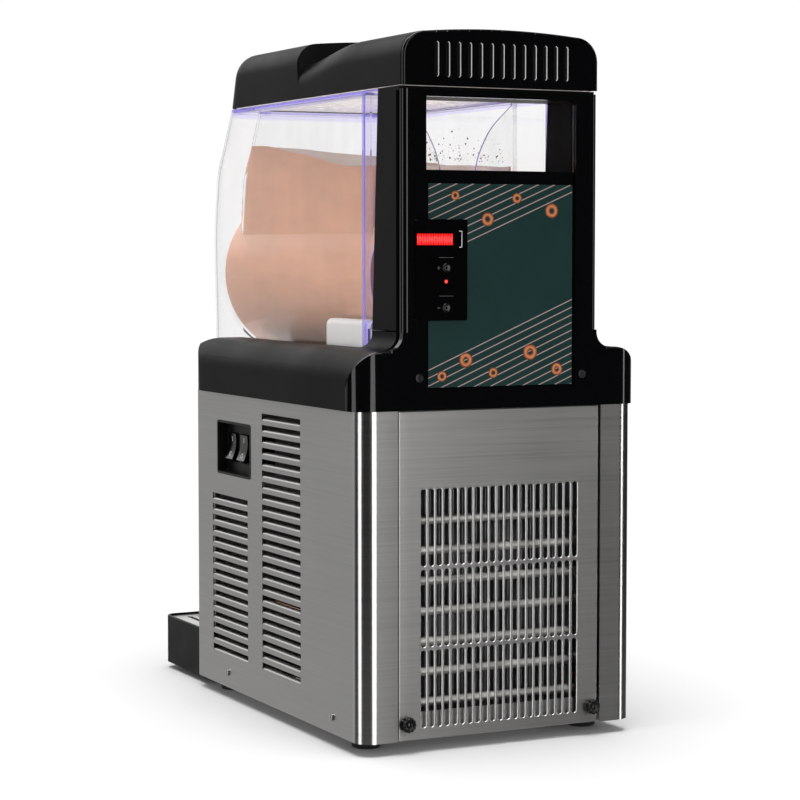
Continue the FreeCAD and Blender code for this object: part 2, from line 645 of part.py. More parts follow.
def collar_block():
    """Outer form shared by the collar and the lower part of the rear frame."""
    w, top = COLLAR_HALF_WIDTH, COLLAR_TOP
    across = [(-w, CABINET_TOP), (w, CABINET_TOP), (w, top, COLLAR_SIDE_ROUND),
              (-w, top, COLLAR_SIDE_ROUND)]
    along = [(COLLAR_FRONT, CABINET_TOP), (0, CABINET_TOP), (0, top, 3.0),
             (COLLAR_FRONT, top, COLLAR_FRONT_ROUND)]
    plan = [(-w, COLLAR_FRONT, COLLAR_FRONT_CORNER), (w, COLLAR_FRONT, COLLAR_FRONT_CORNER),
            (w, 0, COLLAR_REAR_CORNER), (-w, 0, COLLAR_REAR_CORNER)]
    block = extrude(across, "xz", COLLAR_FRONT - 1, 1)
    block = block.common(extrude(along, "yz", -w - 1, w + 1))
    return block.common(extrude(plan, "xy", CABINET_TOP, top + 1))


def frame_zone(shift):
    """Space behind the parting plane, which leans back above the wrapped corners."""
    w = COLLAR_HALF_WIDTH + 5
    corner = -COLLAR_REAR_CORNER + shift
    profile = [(corner, CABINET_TOP - 1), (corner, FRAME_PART_LOW), (shift - 4.0, COLLAR_TOP - 4.0),
               (shift - 4.0, COLLAR_TOP + 1), (2, COLLAR_TOP + 1), (2, CABINET_TOP - 1)]
    return extrude(profile, "yz", -w, w)


def column_front_y(z):
    """The column's leaning front wall, at height z."""
    share = (z - FOOT_TOP) / (COLUMN_TOP - FOOT_TOP)
    return -(COLUMN_DEPTH_FOOT + (COLUMN_DEPTH_TOP - COLUMN_DEPTH_FOOT) * share)


def column_block(low, high, inset=0.0):
    """Outer form of the column between two heights."""
    w = COLUMN_HALF_WIDTH - inset
    side = [(column_front_y(low) + inset, low), (0 - inset, low), (0 - inset, high),
            (column_front_y(high) + inset, high)]
    deep = -COLUMN_DEPTH_FOOT - 10
    plan = [(-w, deep), (w, deep), (w, -inset, COLUMN_CORNER), (-w, -inset, COLUMN_CORNER)]
    return extrude(side, "yz", -w, w).common(extrude(plan, "xy", low, high))


def flared(edge, reach, low, high):
    """Half section of a foot whose side sweeps out by `reach` to the collar's top."""
    tall, lean = abs(reach), 1 - math.sqrt(0.5)
    sweep = Part.Arc(Vector(edge + reach, COLLAR_TOP, 0),
                     Vector(edge + reach * lean, COLLAR_TOP + tall * lean, 0),
                     Vector(edge, COLLAR_TOP + tall, 0)).toShape()
    corners = [(edge, COLLAR_TOP + tall), (edge, high), (0, high), (0, low), (edge + reach, low),
               (edge + reach, COLLAR_TOP)]
    return closed([sweep] + [line(a, b) for a, b in zip(corners, corners[1:])])


def column_foot():
    """Flared foot that carries the column on the collar's top."""
    w, depth, low, high = COLUMN_HALF_WIDTH, COLUMN_DEPTH_FOOT, COLLAR_TOP - 2.0, FOOT_TOP
    across = extrude(flared(w, FLARE, low, high), "xz", -depth - 12, 0)
    across = across.fuse(across.mirror(Vector(), Vector(1, 0, 0)))
    span = w + FLARE + 1
    plan = [(-span, -depth - 11), (span, -depth - 11), (span, 0, COLUMN_CORNER), (-span, 0, COLUMN_CORNER)]
    foot = across.common(extrude(flared(-depth, -10.0, low, high), "yz", -span, span))
    return foot.common(extrude(plan, "xy", low, high))


def collar():
    """Matt moulding on the cabinet, with an open trough that the bowl slides in."""
    body = collar_block().cut(frame_zone(0.0))
    behind = box((-200, 200), (-FRAME_THICKNESS - GROOVE_WIDTH, 2), (COLLAR_TOP - 10, FOOT_TOP + 1))
    body = body.fuse(column_foot().cut(behind))
    trough_half = BOWL_HALF_WIDTH + SLIDE_GAP + 1.0
    w, wall = COLLAR_HALF_WIDTH, COLLAR_WALL
    trough = box((-trough_half, trough_half), (COLLAR_FRONT - 1, -COLUMN_DEPTH_FOOT - 12),
                 (COLLAR_DECK, FOOT_TOP + 1))
    under = extrude([(-w + wall, COLLAR_FRONT + wall, COLLAR_FRONT_CORNER - wall),
                     (w - wall, COLLAR_FRONT + wall, COLLAR_FRONT_CORNER - wall),
                     (w - wall, 2), (-w + wall, 2)], "xy", CABINET_TOP - 1, COLLAR_DECK - 4.0)
    rest = extrude([(-COLLAR_LEDGE, -CABINET_DEPTH + 6), (COLLAR_LEDGE, -CABINET_DEPTH + 6),
                    (COLLAR_LEDGE, 2), (-COLLAR_LEDGE, 2)], "xy", CABINET_TOP - 1, CABINET_TOP + 3)
    hollow = box((-COLUMN_HALF_WIDTH + 4, COLUMN_HALF_WIDTH - 4), (-COLUMN_DEPTH_FOOT + 4, 3),
                 (CABINET_TOP - 1, FOOT_TOP + 1))
    under = under.cut(box((-w, w), (COLLAR_FRONT, 2), (CABINET_TOP - 2, CABINET_TOP + 3)).cut(rest))
    socket = rod(FLANGE_RADIUS + 0.6, (0, -100, AXIS_Z), (0, -COLUMN_DEPTH_FOOT + 5, AXIS_Z))
    return cut(body, [trough, under, hollow, socket]).removeSplitter()


def rear_frame():
    """Gloss moulding: rim round the window and picture panel, with wrapped shoulders."""
    w = COLUMN_HALF_WIDTH
    t = FRAME_THICKNESS
    lower = collar_block().common(frame_zone(SEAT_GAP))
    foot = column_foot().common(box((-200, 200), (-t, 1), (COLLAR_TOP + SEAT_GAP, FOOT_TOP + 1)))
    root = column_foot().common(box((-200, 200), (-3.6, 1), (COLLAR_TOP - 2.5, COLLAR_TOP + 1)))
    upper = column_block(FOOT_TOP, COLUMN_TOP)
    upper = upper.common(box((-w - 1, w + 1), (-t, 1), (FOOT_TOP - 1, COLUMN_TOP + 1)))
    body = lower.multiFuse([foot, root, upper])
    inner = -3.0 - FIELD_DEPTH
    cw = COLLAR_HALF_WIDTH - 3.5
    pockets = [extrude([(-cw, -40), (cw, -40), (cw, inner, 17.0), (-cw, inner, 17.0)], "xy",
                       CABINET_TOP + 3, FRAME_PART_LOW + 14),
               extrude([(-CABINET_HALF_WIDTH + 4, -40), (CABINET_HALF_WIDTH - 4, -40),
                        (CABINET_HALF_WIDTH - 4, inner, 14.0), (-CABINET_HALF_WIDTH + 4, inner, 14.0)],
                       "xy", CABINET_TOP - 1, CABINET_TOP + 4),
               box((-w + 3, w - 3), (-40, inner), (FRAME_PART_LOW, COLUMN_TOP - 4))]
    field = box((-FIELD_HALF_WIDTH, FIELD_HALF_WIDTH), (-FIELD_DEPTH, 2), (FIELD_LOW, WINDOW_HIGH))
    window = box((-WINDOW_HALF_WIDTH, WINDOW_HALF_WIDTH), (-40, 2), (WINDOW_LOW, WINDOW_HIGH))
    screws = [rod(2.0, (x, -30, FRAME_SCREW_Z), (x, 2, FRAME_SCREW_Z))
              for x in (-FRAME_SCREW_X, FRAME_SCREW_X)]
    control = box((BEZEL_RIGHT + 4, BEZEL_LEFT - 4), (-40, 2), (BEZEL_LOW + 4, BEZEL_HIGH - 4))
    return cut(body, pockets + [field, window, control] + screws).removeSplitter()


def frame_screws():
    """Two screws through the rear frame."""
    made = []
    for sign in (-1, 1):
        x, z = sign * FRAME_SCREW_X, FRAME_SCREW_Z
        head = rod(3.6, (x, 0.05, z), (x, 1.4, z))
        cross = [box((x - 0.5, x + 0.5), (0.8, 2), (z - 2.4, z + 2.4)),
                 box((x - 2.4, x + 2.4), (0.8, 2), (z - 0.5, z + 0.5))]
        made.append(fused([cut(head, cross), rod(1.9, (x, -14, z), (x, 0.1, z))]))
    return Part.makeCompound(made)


def window_tunnel(grow):
    """Passage through the column, from the back to the bowl."""
    half = WINDOW_HALF_WIDTH + grow
    return box((-half, half), (-COLUMN_DEPTH_FOOT - 20, 3), (WINDOW_LOW - grow, WINDOW_HIGH + grow))


def column_shell():
    """Matt sides and leaning front wall of the column, with the window passage."""
    low = FOOT_TOP + SHADOW_GAP
    rear = -FRAME_THICKNESS - SEAT_GAP
    t = COLUMN_WALL
    outer = column_block(low, COLUMN_TOP + 2.8)
    outer = outer.common(box((-200, 200), (-100, rear), (low - 1, COLUMN_TOP + 5)))
    groove = [box((s * COLUMN_HALF_WIDTH - GROOVE_DEPTH, s * COLUMN_HALF_WIDTH + GROOVE_DEPTH),
                  (rear - GROOVE_WIDTH, rear + 1), (low - 1, COLUMN_TOP - 1.5)) for s in (-1, 1)]
    w = COLUMN_HALF_WIDTH - t - GROOVE_DEPTH
    side = [(column_front_y(low) + t, low - 1), (2, low - 1), (2, COLUMN_TOP - t),
            (column_front_y(COLUMN_TOP) + t, COLUMN_TOP - t)]
    hollow = extrude(side, "yz", -w, w)
    tunnel_wall = window_tunnel(t).common(outer)
    shell = cut(outer, groove + [hollow]).fuse(tunnel_wall)
    chill = rod(SPIGOT_RADIUS + SEAT_GAP, (0, -100, AXIS_Z), (0, -30, AXIS_Z))
    opening = window_tunnel(0.0)
    return cut(shell, [chill, opening]).removeSplitter()


def graphic_panel():
    """Thin printed panel in the frame's sunk field, cut away for the controls."""
    w = PANEL_HALF_WIDTH
    plate = box((-w, w), (-FIELD_DEPTH, -FIELD_DEPTH + PANEL_THICKNESS), (PANEL_LOW, PANEL_HIGH))
    away = box((BEZEL_RIGHT - SEAT_GAP, w + 1), (-9, 3), (BEZEL_LOW - SEAT_GAP, BEZEL_HIGH + SEAT_GAP))
    return plate.cut(away)


def control_bezel():
    """Black plate with a display window, two round keys and a lamp."""
    outer = [(BEZEL_RIGHT, BEZEL_LOW, 1.5), (BEZEL_LEFT, BEZEL_LOW, 1.5), (BEZEL_LEFT, BEZEL_HIGH, 1.5),
             (BEZEL_RIGHT, BEZEL_HIGH, 1.5)]
    stem = box((BEZEL_RIGHT, FIELD_HALF_WIDTH - SEAT_GAP), (-FIELD_DEPTH, 0.2), (BEZEL_LOW, BEZEL_HIGH))
    plate = extrude(outer, "xz", 0.05, BEZEL_THICKNESS).fuse(stem)
    tools = [box(DISPLAY_X, (-9, 9), DISPLAY_Z)]
    tools.append(rod(LED_RADIUS + 0.1, (KEY_X, -9, LED_Z), (KEY_X, 9, LED_Z)))
    tools += [rod(KEY_RADIUS + 0.25, (KEY_X, -9, z), (KEY_X, 9, z)) for z in KEY_Z]
    return cut(plate, tools).removeSplitter()


def display_bar():
    """Ribbed red bar-graph lens in the bezel's window, with the small lamp below."""
    g = 0.15
    x0, x1 = DISPLAY_X[0] + g, DISPLAY_X[1] - g
    lens = box((x0, x1), (0.1, BEZEL_THICKNESS - 0.5), (DISPLAY_Z[0] + g, DISPLAY_Z[1] - g))
    lens = lens.fuse(box((x0, BEZEL_LEFT - 5.0), (BOARD_FACE, 0.2), (DISPLAY_Z[0] + g, DISPLAY_Z[1] - g)))
    count = 15
    step = (x1 - x0) / count
    deep = (BEZEL_THICKNESS - 0.9, BEZEL_THICKNESS)
    grooves = [box((x0 + i * step - 0.3, x0 + i * step + 0.3), deep, DISPLAY_Z) for i in range(1, count)]
    lamp = rod(LED_RADIUS, (KEY_X, BOARD_FACE, LED_Z), (KEY_X, BEZEL_THICKNESS - 0.2, LED_Z))
    return Part.makeCompound([cut(lens, grooves), lamp])


def control_key(index):
    """Round push key that stands a little proud of the bezel."""
    z = KEY_Z[index]
    cap = rod(KEY_RADIUS, (KEY_X, -3.6, z), (KEY_X, BEZEL_THICKNESS + 1.1, z))
    return cap.fuse(rod(KEY_RADIUS + 1.4, (KEY_X, -4.6, z), (KEY_X, -3.6, z)))


def control_board():
    """Circuit board behind the bezel, with a chip and a display driver."""
    face = BOARD_FACE
    board = box((BEZEL_RIGHT - 4, BEZEL_LEFT + 0.4), (face - 1.6, face), (BEZEL_LOW - 4, BEZEL_HIGH + 4.7))
    chip = box((KEY_X - 7, KEY_X + 9), (face - 6, face - 1.6), (BEZEL_LOW + 17, BEZEL_LOW + 33))
    driver = box((DISPLAY_X[0] - 6, DISPLAY_X[1] - 6), (face - 10, face - 1.6),
                 (DISPLAY_Z[0] - 6, DISPLAY_Z[1] + 5))
    return board.multiFuse([chip, driver])


# Lid

def lid_side_profile():
    """Side view of the lid: leaning front, hand groove, lower top over the column."""
    front_top, rear_top = LID_FRONT_TOP + LID_CROWN, LID_REAR_TOP + LID_CROWN
    return [(LID_FRONT, LID_BOTTOM), (LID_FRONT + LID_FRONT_LEAN, front_top, 13.0),
            (GRIP_FRONT, front_top, 3.0), (GRIP_FRONT - 1.5, GRIP_FLOOR, 4.0),
            (GRIP_REAR, rear_top - 0.8, 60.0), (-LID_PANEL_THICKNESS, rear_top),
            (-LID_PANEL_THICKNESS, LID_BOTTOM)]


def lid_top_section(edge, half):
    """End view of a crowned lid: upright sides, round shoulders, domed top."""
    r = LID_SIDE_ROUND
    lean = r * (1 - math.sqrt(0.5))
    shoulder = Part.Arc(Vector(half, edge - r, 0), Vector(half - lean, edge - lean, 0),
                        Vector(half - r, edge, 0)).toShape()
    mirror = Part.Arc(Vector(-half, edge - r, 0), Vector(lean - half, edge - lean, 0),
                      Vector(r - half, edge, 0)).toShape()
    dome = Part.Arc(Vector(half - r, edge, 0), Vector(0, edge + LID_CROWN, 0),
                    Vector(r - half, edge, 0)).toShape()
    base = LID_BOTTOM - 2
    corners = [(half, edge - r), (half, base), (-half, base), (-half, edge - r)]
    return closed([shoulder, dome, mirror] + [line(a, b) for a, b in zip(corners, corners[1:])])


def lid_form():
    """Outer form of the lid."""
    half = LID_HALF_WIDTH
    front = extrude(lid_top_section(LID_FRONT_TOP, half), "xz", LID_FRONT - 5, GRIP_FRONT + 20)
    rear = extrude(lid_top_section(LID_REAR_TOP, half), "xz", GRIP_FRONT - 5, 0)
    side = extrude(lid_side_profile(), "yz", -half, half)
    plan = [(-half, LID_FRONT, LID_CORNER), (half, LID_FRONT, LID_CORNER), (half, 0), (-half, 0)]
    whole = front.fuse(rear).common(side)
    return whole.common(extrude(plan, "xy", LID_BOTTOM - 3, LID_FRONT_TOP + 20))


def lid_hollow():
    """Inside of the lid: pockets in front of and behind the hand groove, and one under it."""
    d = LID_WALL
    half = LID_HALF_WIDTH - d
    front_end, rear_end = LID_FRONT + LID_FRONT_LEAN + d, -LID_PANEL_THICKNESS - d
    front = extrude(lid_top_section(LID_FRONT_TOP - d, half), "xz", front_end, GRIP_FRONT - d - 2)
    rear = extrude(lid_top_section(LID_REAR_TOP - d, half), "xz", GRIP_REAR + 6, rear_end)
    low = LID_BOTTOM - 2
    wide = [(-half, LID_FRONT + d, LID_CORNER - d), (half, LID_FRONT + d, LID_CORNER - d),
            (half, rear_end), (-half, rear_end)]
    top = LID_REAR_TOP - LID_SIDE_ROUND - d
    lean = LID_FRONT_LEAN * (top - LID_BOTTOM) / (LID_FRONT_TOP + LID_CROWN - LID_BOTTOM)
    side = [(LID_FRONT + d, low), (LID_FRONT + d, LID_BOTTOM), (LID_FRONT + d + lean, top), (0, top),
            (0, low)]
    under = extrude(wide, "xy", low, top).common(extrude(side, "yz", -half, half))
    inner_half = half - 12.0
    passage = box((-inner_half, inner_half), (GRIP_FRONT - 20, GRIP_REAR + 20), (low, GRIP_FLOOR - d))
    return front.multiFuse([rear, under, passage])


def lid_shell():
    """Matt lid over bowl and column, hollow, with a hand groove across the top."""
    return lid_form().cut(lid_hollow()).removeSplitter()


def lid_rear_panel():
    """Gloss end of the lid with upright vents and a bead along its lower edge."""
    edge = LID_REAR_TOP
    face = extrude(lid_top_section(edge, COLUMN_HALF_WIDTH), "xz", -LID_PANEL_THICKNESS + SEAT_GAP, 0)
    face = face.common(box((-200, 200), (-20, 1), (LID_BOTTOM, edge + 20)))
    rim = [e for e in face.Edges if e.BoundBox.YMin > -0.01 and e.BoundBox.ZMax > LID_BOTTOM + 1]
    face = face.makeFillet(2.0, rim)
    vents = []
    for i in range(VENT_COUNT):
        x = (i - (VENT_COUNT - 1) / 2.0) * VENT_PITCH
        vents.append(extrude(slot_outline(x, VENT_LOW, VENT_HIGH, VENT_WIDTH, 1.3), "xz", -20, 5))
    return cut(face, vents)


def lid_diffuser():
    """Cream light panel that closes the lid from below."""
    w = LID_HALF_WIDTH - LID_WALL - SEAT_GAP
    low = LID_BOTTOM + 0.6
    front, rear = LID_FRONT + LID_WALL + 2.0, -LID_PANEL_THICKNESS - LID_WALL - SEAT_GAP
    corners = [(-w, front, LID_CORNER - 3), (w, front, LID_CORNER - 3), (w, rear), (-w, rear)]
    return extrude(corners, "xy", low, low + 2.4)


def led_strip():
    """Light strip on the diffuser."""
    low = LID_BOTTOM + 0.6 + 2.4
    strips = [box((x - 5, x + 5), (LID_FRONT + 35, -60), (low, low + 1.6)) for x in (-45, 45)]
    return Part.makeCompound(strips)


# Bowl

def bowl_profile(points, rear):
    """Side view of a bulging front, closed at the rear."""
    start, end = points[0], points[-1]
    run = [end, (rear, end[1]), (rear, start[1]), start]
    return closed([spline_edge(points)] + [line(run[i], run[i + 1]) for i in range(3)])


def soft_front(body, half, radius):
    """Round the two upright front edges of a bulging body."""
    edges = []
    for edge in body.Edges:
        bounds = edge.BoundBox
        flat = bounds.XMax - bounds.XMin < 1e-3 and abs(abs(bounds.XMax) - half) < 1e-3
        if flat and bounds.YMax < -300 and bounds.YMax - bounds.YMin < 80:
            edges.append(edge)
    return body.makeFillet(radius, edges)


def bowl_form(inset, low, high, rear):
    """Bulging bowl form, drawn in by `inset` on the front and sides."""
    half = BOWL_HALF_WIDTH - inset
    points = [(y + inset, z) for y, z in BOWL_PROFILE]
    profile = bowl_profile(points, rear)
    body = soft_front(extrude(profile, "yz", -half, half), half, BOWL_CORNER - inset)
    return body.common(box((-200, 200), (-600, 50), (low, high)))


def trumpet_cut(low):
    """Flared gap in the shell's back wall, narrow below and wide at the rim."""
    right = spline_edge(TRUMPET)
    left = spline_edge([(-x, z) for x, z in TRUMPET])
    top = (TRUMPET[-1][0], BOWL_RIM + 5)
    base = (TRUMPET[0][0], low)
    right_run = [TRUMPET[-1], top]
    left_run = [(-x, z) for x, z in right_run]
    edges = [right, left, line(*right_run), line(*left_run), line(right_run[1], left_run[1])]
    edges += [line(base, TRUMPET[0]), line((-base[0], low), (-TRUMPET[0][0], TRUMPET[0][1])),
              line(base, (-base[0], low))]
    return extrude(closed(edges), "xz", BOWL_BACK - 10, BOWL_BACK + 10)


def behind_bowl():
    """Space kept free for the column and its foot, plus the bowl's running gap."""
    low, high = FOOT_TOP + SHADOW_GAP, COLUMN_TOP
    g = 1.0
    profile = [(column_front_y(high) - g, BOWL_RIM + 5), (column_front_y(low) - g, low + 2),
               (-COLUMN_DEPTH_FOOT - 12.0 - g, low), (-COLUMN_DEPTH_FOOT - 12.0 - g, BOWL_BOTTOM - 5),
               (60, BOWL_BOTTOM - 5), (60, BOWL_RIM + 5)]
    return extrude(profile, "yz", -150, 150)


def bowl_outer():
    """Clear outer shell: bulging front, flat sides, back wall with a flared gap."""
    outer = bowl_form(0.0, BOWL_BOTTOM, BOWL_RIM, BOWL_SIDE_END)
    hollow = bowl_form(BOWL_WALL, BOWL_BOTTOM - 1, BOWL_RIM + 1, BOWL_SIDE_END + 5)
    shell = outer.cut(hollow)
    half = BOWL_HALF_WIDTH - BOWL_WALL
    back = box((-half - 0.5, half + 0.5), (BOWL_BACK - BOWL_WALL, BOWL_BACK), (SADDLE_TOP + 1.5, BOWL_RIM))
    back = back.cut(trumpet_cut(AXIS_Z))
    back = back.cut(rod(BARREL_RADIUS + 2.2, (0, BOWL_BACK - 10, AXIS_Z), (0, BOWL_BACK + 10, AXIS_Z)))
    tap_hole = rod(TAP_NECK + 0.3, (0, TAP_Y, TAP_NECK_Z), (0, AUGER_FRONT, TAP_NECK_Z))
    return shell.fuse(back).cut(tap_hole.fuse(behind_bowl())).removeSplitter()


def hopper_form(inset, low, high):
    """Hopper over the barrel: its front runs parallel to the shell's front."""
    half = TANK_HALF_WIDTH - inset
    points = [(y + TANK_INSET + inset, z) for y, z in BOWL_PROFILE[2:]]
    profile = bowl_profile(points, TANK_BACK - inset)
    body = soft_front(extrude(profile, "yz", -half, half), half, TANK_CORNER - inset)
    return body.common(box((-200, 200), (-600, 50), (low, high)))


def bowl_inner():
    """Clear tank: hopper above, round barrel below, one rim flange at the top."""
    t = TANK_WALL
    barrel = rod(BARREL_RADIUS, (0, BARREL_FRONT, AXIS_Z), (0, BARREL_REAR, AXIS_Z))
    hollow = rod(BARREL_RADIUS - t, (0, BARREL_FRONT + t, AXIS_Z), (0, BARREL_REAR + 1, AXIS_Z))
    hopper = hopper_form(0.0, AXIS_Z + 20, BOWL_RIM - 1.2)
    inside = hopper_form(t, AXIS_Z, BOWL_RIM + 2)
    rim_outer = bowl_form(BOWL_WALL + SEAT_GAP, BOWL_RIM - 3.7, BOWL_RIM - 1.2,
                          BOWL_BACK - BOWL_WALL - SEAT_GAP)
    walls = barrel.multiFuse([hopper, rim_outer])
    port = rod(TAP_NECK - 3.0, (0, TAP_Y, TAP_NECK_Z), (0, BARREL_FRONT + 10, TAP_NECK_Z))
    return cut(walls, [hollow.fuse(inside), port]).removeSplitter()


def bowl_gasket():
    """Red seal between the barrel and the chiller's flange."""
    front, rear = BARREL_REAR + 0.1, BARREL_REAR + GASKET_DEPTH
    ring_body = ring(BARREL_RADIUS, GASKET_INNER, (0, front, AXIS_Z), (0, rear, AXIS_Z))
    groove = ring(BARREL_RADIUS + 1, BARREL_RADIUS - 1.6, (0, front + 2.5, AXIS_Z), (0, front + 4.7, AXIS_Z))
    return ring_body.cut(groove)


def frappe_fill():
    """The frozen drink: higher in front, where the auger heaps it, and round the auger."""
    g = SEAT_GAP
    t = TANK_WALL
    barrel = rod(BARREL_RADIUS - t - g, (0, BARREL_FRONT + t + g, AXIS_Z), (0, BARREL_REAR - g, AXIS_Z))
    hopper = hopper_form(t + g, AXIS_Z + 10, BOWL_RIM)
    front = BOWL_FRONT - 4.5
    level = [(front, AXIS_Z - 100), (TANK_BACK + 60, AXIS_Z - 100), (TANK_BACK + 60, FILL_REAR_LEVEL - 6),
             (TANK_BACK - 60, FILL_REAR_LEVEL + 4), (BOWL_FRONT + 175.5, FILL_FRONT_LEVEL - 8, 120.0),
             (front, FILL_FRONT_LEVEL + 2)]
    drink = barrel.fuse(hopper.common(extrude(level, "yz", -120, 120)))
    bore = rod(FILL_BORE, (0, AUGER_FRONT - 3, AXIS_Z), (0, BARREL_REAR + 2, AXIS_Z))
    return drink.cut(bore).removeSplitter()


def chiller_block():
    """White insulating saddle that carries the chiller's flange and the barrel's end."""
    half = BOWL_HALF_WIDTH - BOWL_WALL - 1.0
    low = COLLAR_DECK + SEAT_GAP
    saddle = extrude([(-half, low), (half, low), (half, SADDLE_TOP, 6.0), (-half, SADDLE_TOP, 6.0)],
                     "xz", SADDLE_FRONT, -COLUMN_DEPTH_FOOT - 13)
    saddle = saddle.cut(rod(BARREL_RADIUS + 1.5, (0, -300, AXIS_Z), (0, 0, AXIS_Z)))
    return saddle


# Chiller, auger and drive

def chiller():
    """Stainless freezing cylinder with a domed nose, its flange and its hollow core."""
    body = rod(CHILLER_RADIUS, (0, CHILLER_FRONT, AXIS_Z), (0, BARREL_REAR + GASKET_DEPTH + 0.2, AXIS_Z))
    nose = cone(CHILLER_RADIUS, CHILLER_RADIUS - 12, (0, CHILLER_FRONT, AXIS_Z),
                (0, CHILLER_FRONT - 6, AXIS_Z))
    flange_front = BARREL_REAR + GASKET_DEPTH + 0.2
    flange = rod(FLANGE_RADIUS, (0, flange_front, AXIS_Z), (0, -COLUMN_DEPTH_FOOT - 1.0, AXIS_Z))
    spigot = rod(SPIGOT_RADIUS, (0, -COLUMN_DEPTH_FOOT - 1.5, AXIS_Z), (0, SPIGOT_REAR, AXIS_Z))
    whole = body.multiFuse([nose, flange, spigot])
    core = rod(SHAFT_RADIUS + 6.0, (0, CHILLER_FRONT + 8, AXIS_Z), (0, 0, AXIS_Z))
    bore = rod(SHAFT_RADIUS + RUNNING_GAP, (0, CHILLER_FRONT - 30, AXIS_Z), (0, 0, AXIS_Z))
    return cut(whole, [core, bore])


def shaft_bushes():
    """Two sleeves in the chiller's core that the shaft runs in."""
    sleeves = []
    for y in (CHILLER_FRONT + 10, -90.0):
        sleeves.append(ring(SHAFT_RADIUS + 6.0 - 0.05, SHAFT_RADIUS + RUNNING_GAP, (0, y, AXIS_Z),
                            (0, y + 14, AXIS_Z)))
    return Part.makeCompound(sleeves)


def shaft_seal():
    """Lip seal on the shaft at the chiller's nose."""
    y = CHILLER_FRONT - 6.1
    sleeve = cone(11.0, 14.0, (0, y - 6.0, AXIS_Z), (0, y, AXIS_Z))
    return sleeve.cut(rod(SHAFT_RADIUS + RUNNING_GAP, (0, y - 20, AXIS_Z), (0, y + 20, AXIS_Z)))


def drive_shaft():
    """Steel shaft from the gearbox through the chiller to the auger's nose, flatted there."""
    front, rear = AUGER_FRONT - 1.0, -COLUMN_DEPTH_FOOT + 6.0
    shaft = rod(SHAFT_RADIUS, (0, front, AXIS_Z), (0, rear, AXIS_Z))
    flat = box((-10, 10), (front - 1, AUGER_FRONT + 3.0), (AXIS_Z + SHAFT_RADIUS - 1.5, AXIS_Z + 10))
    return shaft.cut(flat)


def auger():
    """Open spiral that scrapes the chiller, carried by a spider on the shaft's nose."""
    middle = (AUGER_INNER + AUGER_OUTER) / 2.0
    deep, half = (AUGER_OUTER - AUGER_INNER) / 2.0, AUGER_THICKNESS / 2.0
    start = AUGER_FRONT + SPIDER_THICKNESS + half + 1.0
    corners = [(middle - deep, -half), (middle + deep, -half), (middle + deep, half), (middle - deep, half)]
    section = outline(corners)
    section.rotate(Vector(), Vector(1, 0, 0), 90)
    helix = Part.Wire(Part.makeHelix(AUGER_PITCH, AUGER_REAR - start, middle))
    ribbon = helix.makePipeShell([section], True, True)
    ribbon.rotate(Vector(), Vector(1, 0, 0), -90)
    ribbon.translate(Vector(0, start, AXIS_Z))
    plate_rear = AUGER_FRONT + SPIDER_THICKNESS
    hub_rear = CHILLER_FRONT - 6.1 - 6.0 - SEAT_GAP
    hub = rod(AUGER_HUB_RADIUS, (0, AUGER_FRONT, AXIS_Z), (0, hub_rear, AXIS_Z))
    rim = ring(AUGER_OUTER - 1.0, AUGER_INNER + 1.0, (0, AUGER_FRONT, AXIS_Z), (0, plate_rear, AXIS_Z))
    spokes = []
    for i in range(3):
        spoke = box((AUGER_HUB_RADIUS - 2, middle), (AUGER_FRONT, plate_rear), (AXIS_Z - 5.0, AXIS_Z + 5.0))
        post_end = start + AUGER_PITCH * i / 3.0
        post = box((middle - 4, middle + 4), (AUGER_FRONT + 1, post_end), (AXIS_Z - 4.0, AXIS_Z + 4.0))
        pair = spoke.fuse(post)
        pair.rotate(Vector(0, 0, AXIS_Z), Vector(0, 1, 0), -i * 120)
        spokes.append(pair)
    bore = rod(SHAFT_RADIUS + 0.05, (0, AUGER_FRONT - 1, AXIS_Z), (0, hub_rear + 1, AXIS_Z))
    return hub.multiFuse([rim, ribbon] + spokes).cut(bore)


def gearbox():
    """Flat gearbox behind the chiller, with an output socket."""
    front = -COLUMN_DEPTH_FOOT + COLUMN_WALL + 6.2
    rear = front + GEARBOX_DEPTH
    w, low, high = GEARBOX_HALF_WIDTH, AXIS_Z - 44, AXIS_Z + 40
    case = extrude([(-w, low, 10), (w, low, 10), (w, high, 24), (-w, high, 24)], "xz", front, rear)
    boss = ring(16.0, SHAFT_RADIUS + RUNNING_GAP, (0, front - 2.0, AXIS_Z), (0, front, AXIS_Z))
    ribs = [box((x - 1.5, x + 1.5), (rear - 0.1, rear + 4.0), (low + 4, high - 10)) for x in (-22, 0, 22)]
    socket = rod(SHAFT_RADIUS + RUNNING_GAP, (0, front - 5, AXIS_Z), (0, -COLUMN_DEPTH_FOOT + 6.4, AXIS_Z))
    return case.multiFuse([boss] + ribs).cut(socket)


def gear_motor():
    """Motor that hangs under the gearbox, through the deck."""
    y = -COLUMN_DEPTH_FOOT + COLUMN_WALL + 6.2 + GEARBOX_DEPTH / 2.0
    top = AXIS_Z - 44 - 0.2
    can = rod(17.0, (0, y, top - 76), (0, y, top - 6))
    neck = rod(12.0, (0, y, top - 6.5), (0, y, top))
    cap = cone(13.0, 16.0, (0, y, top - 82), (0, y, top - 76))
    return can.multiFuse([neck, cap]).removeSplitter()


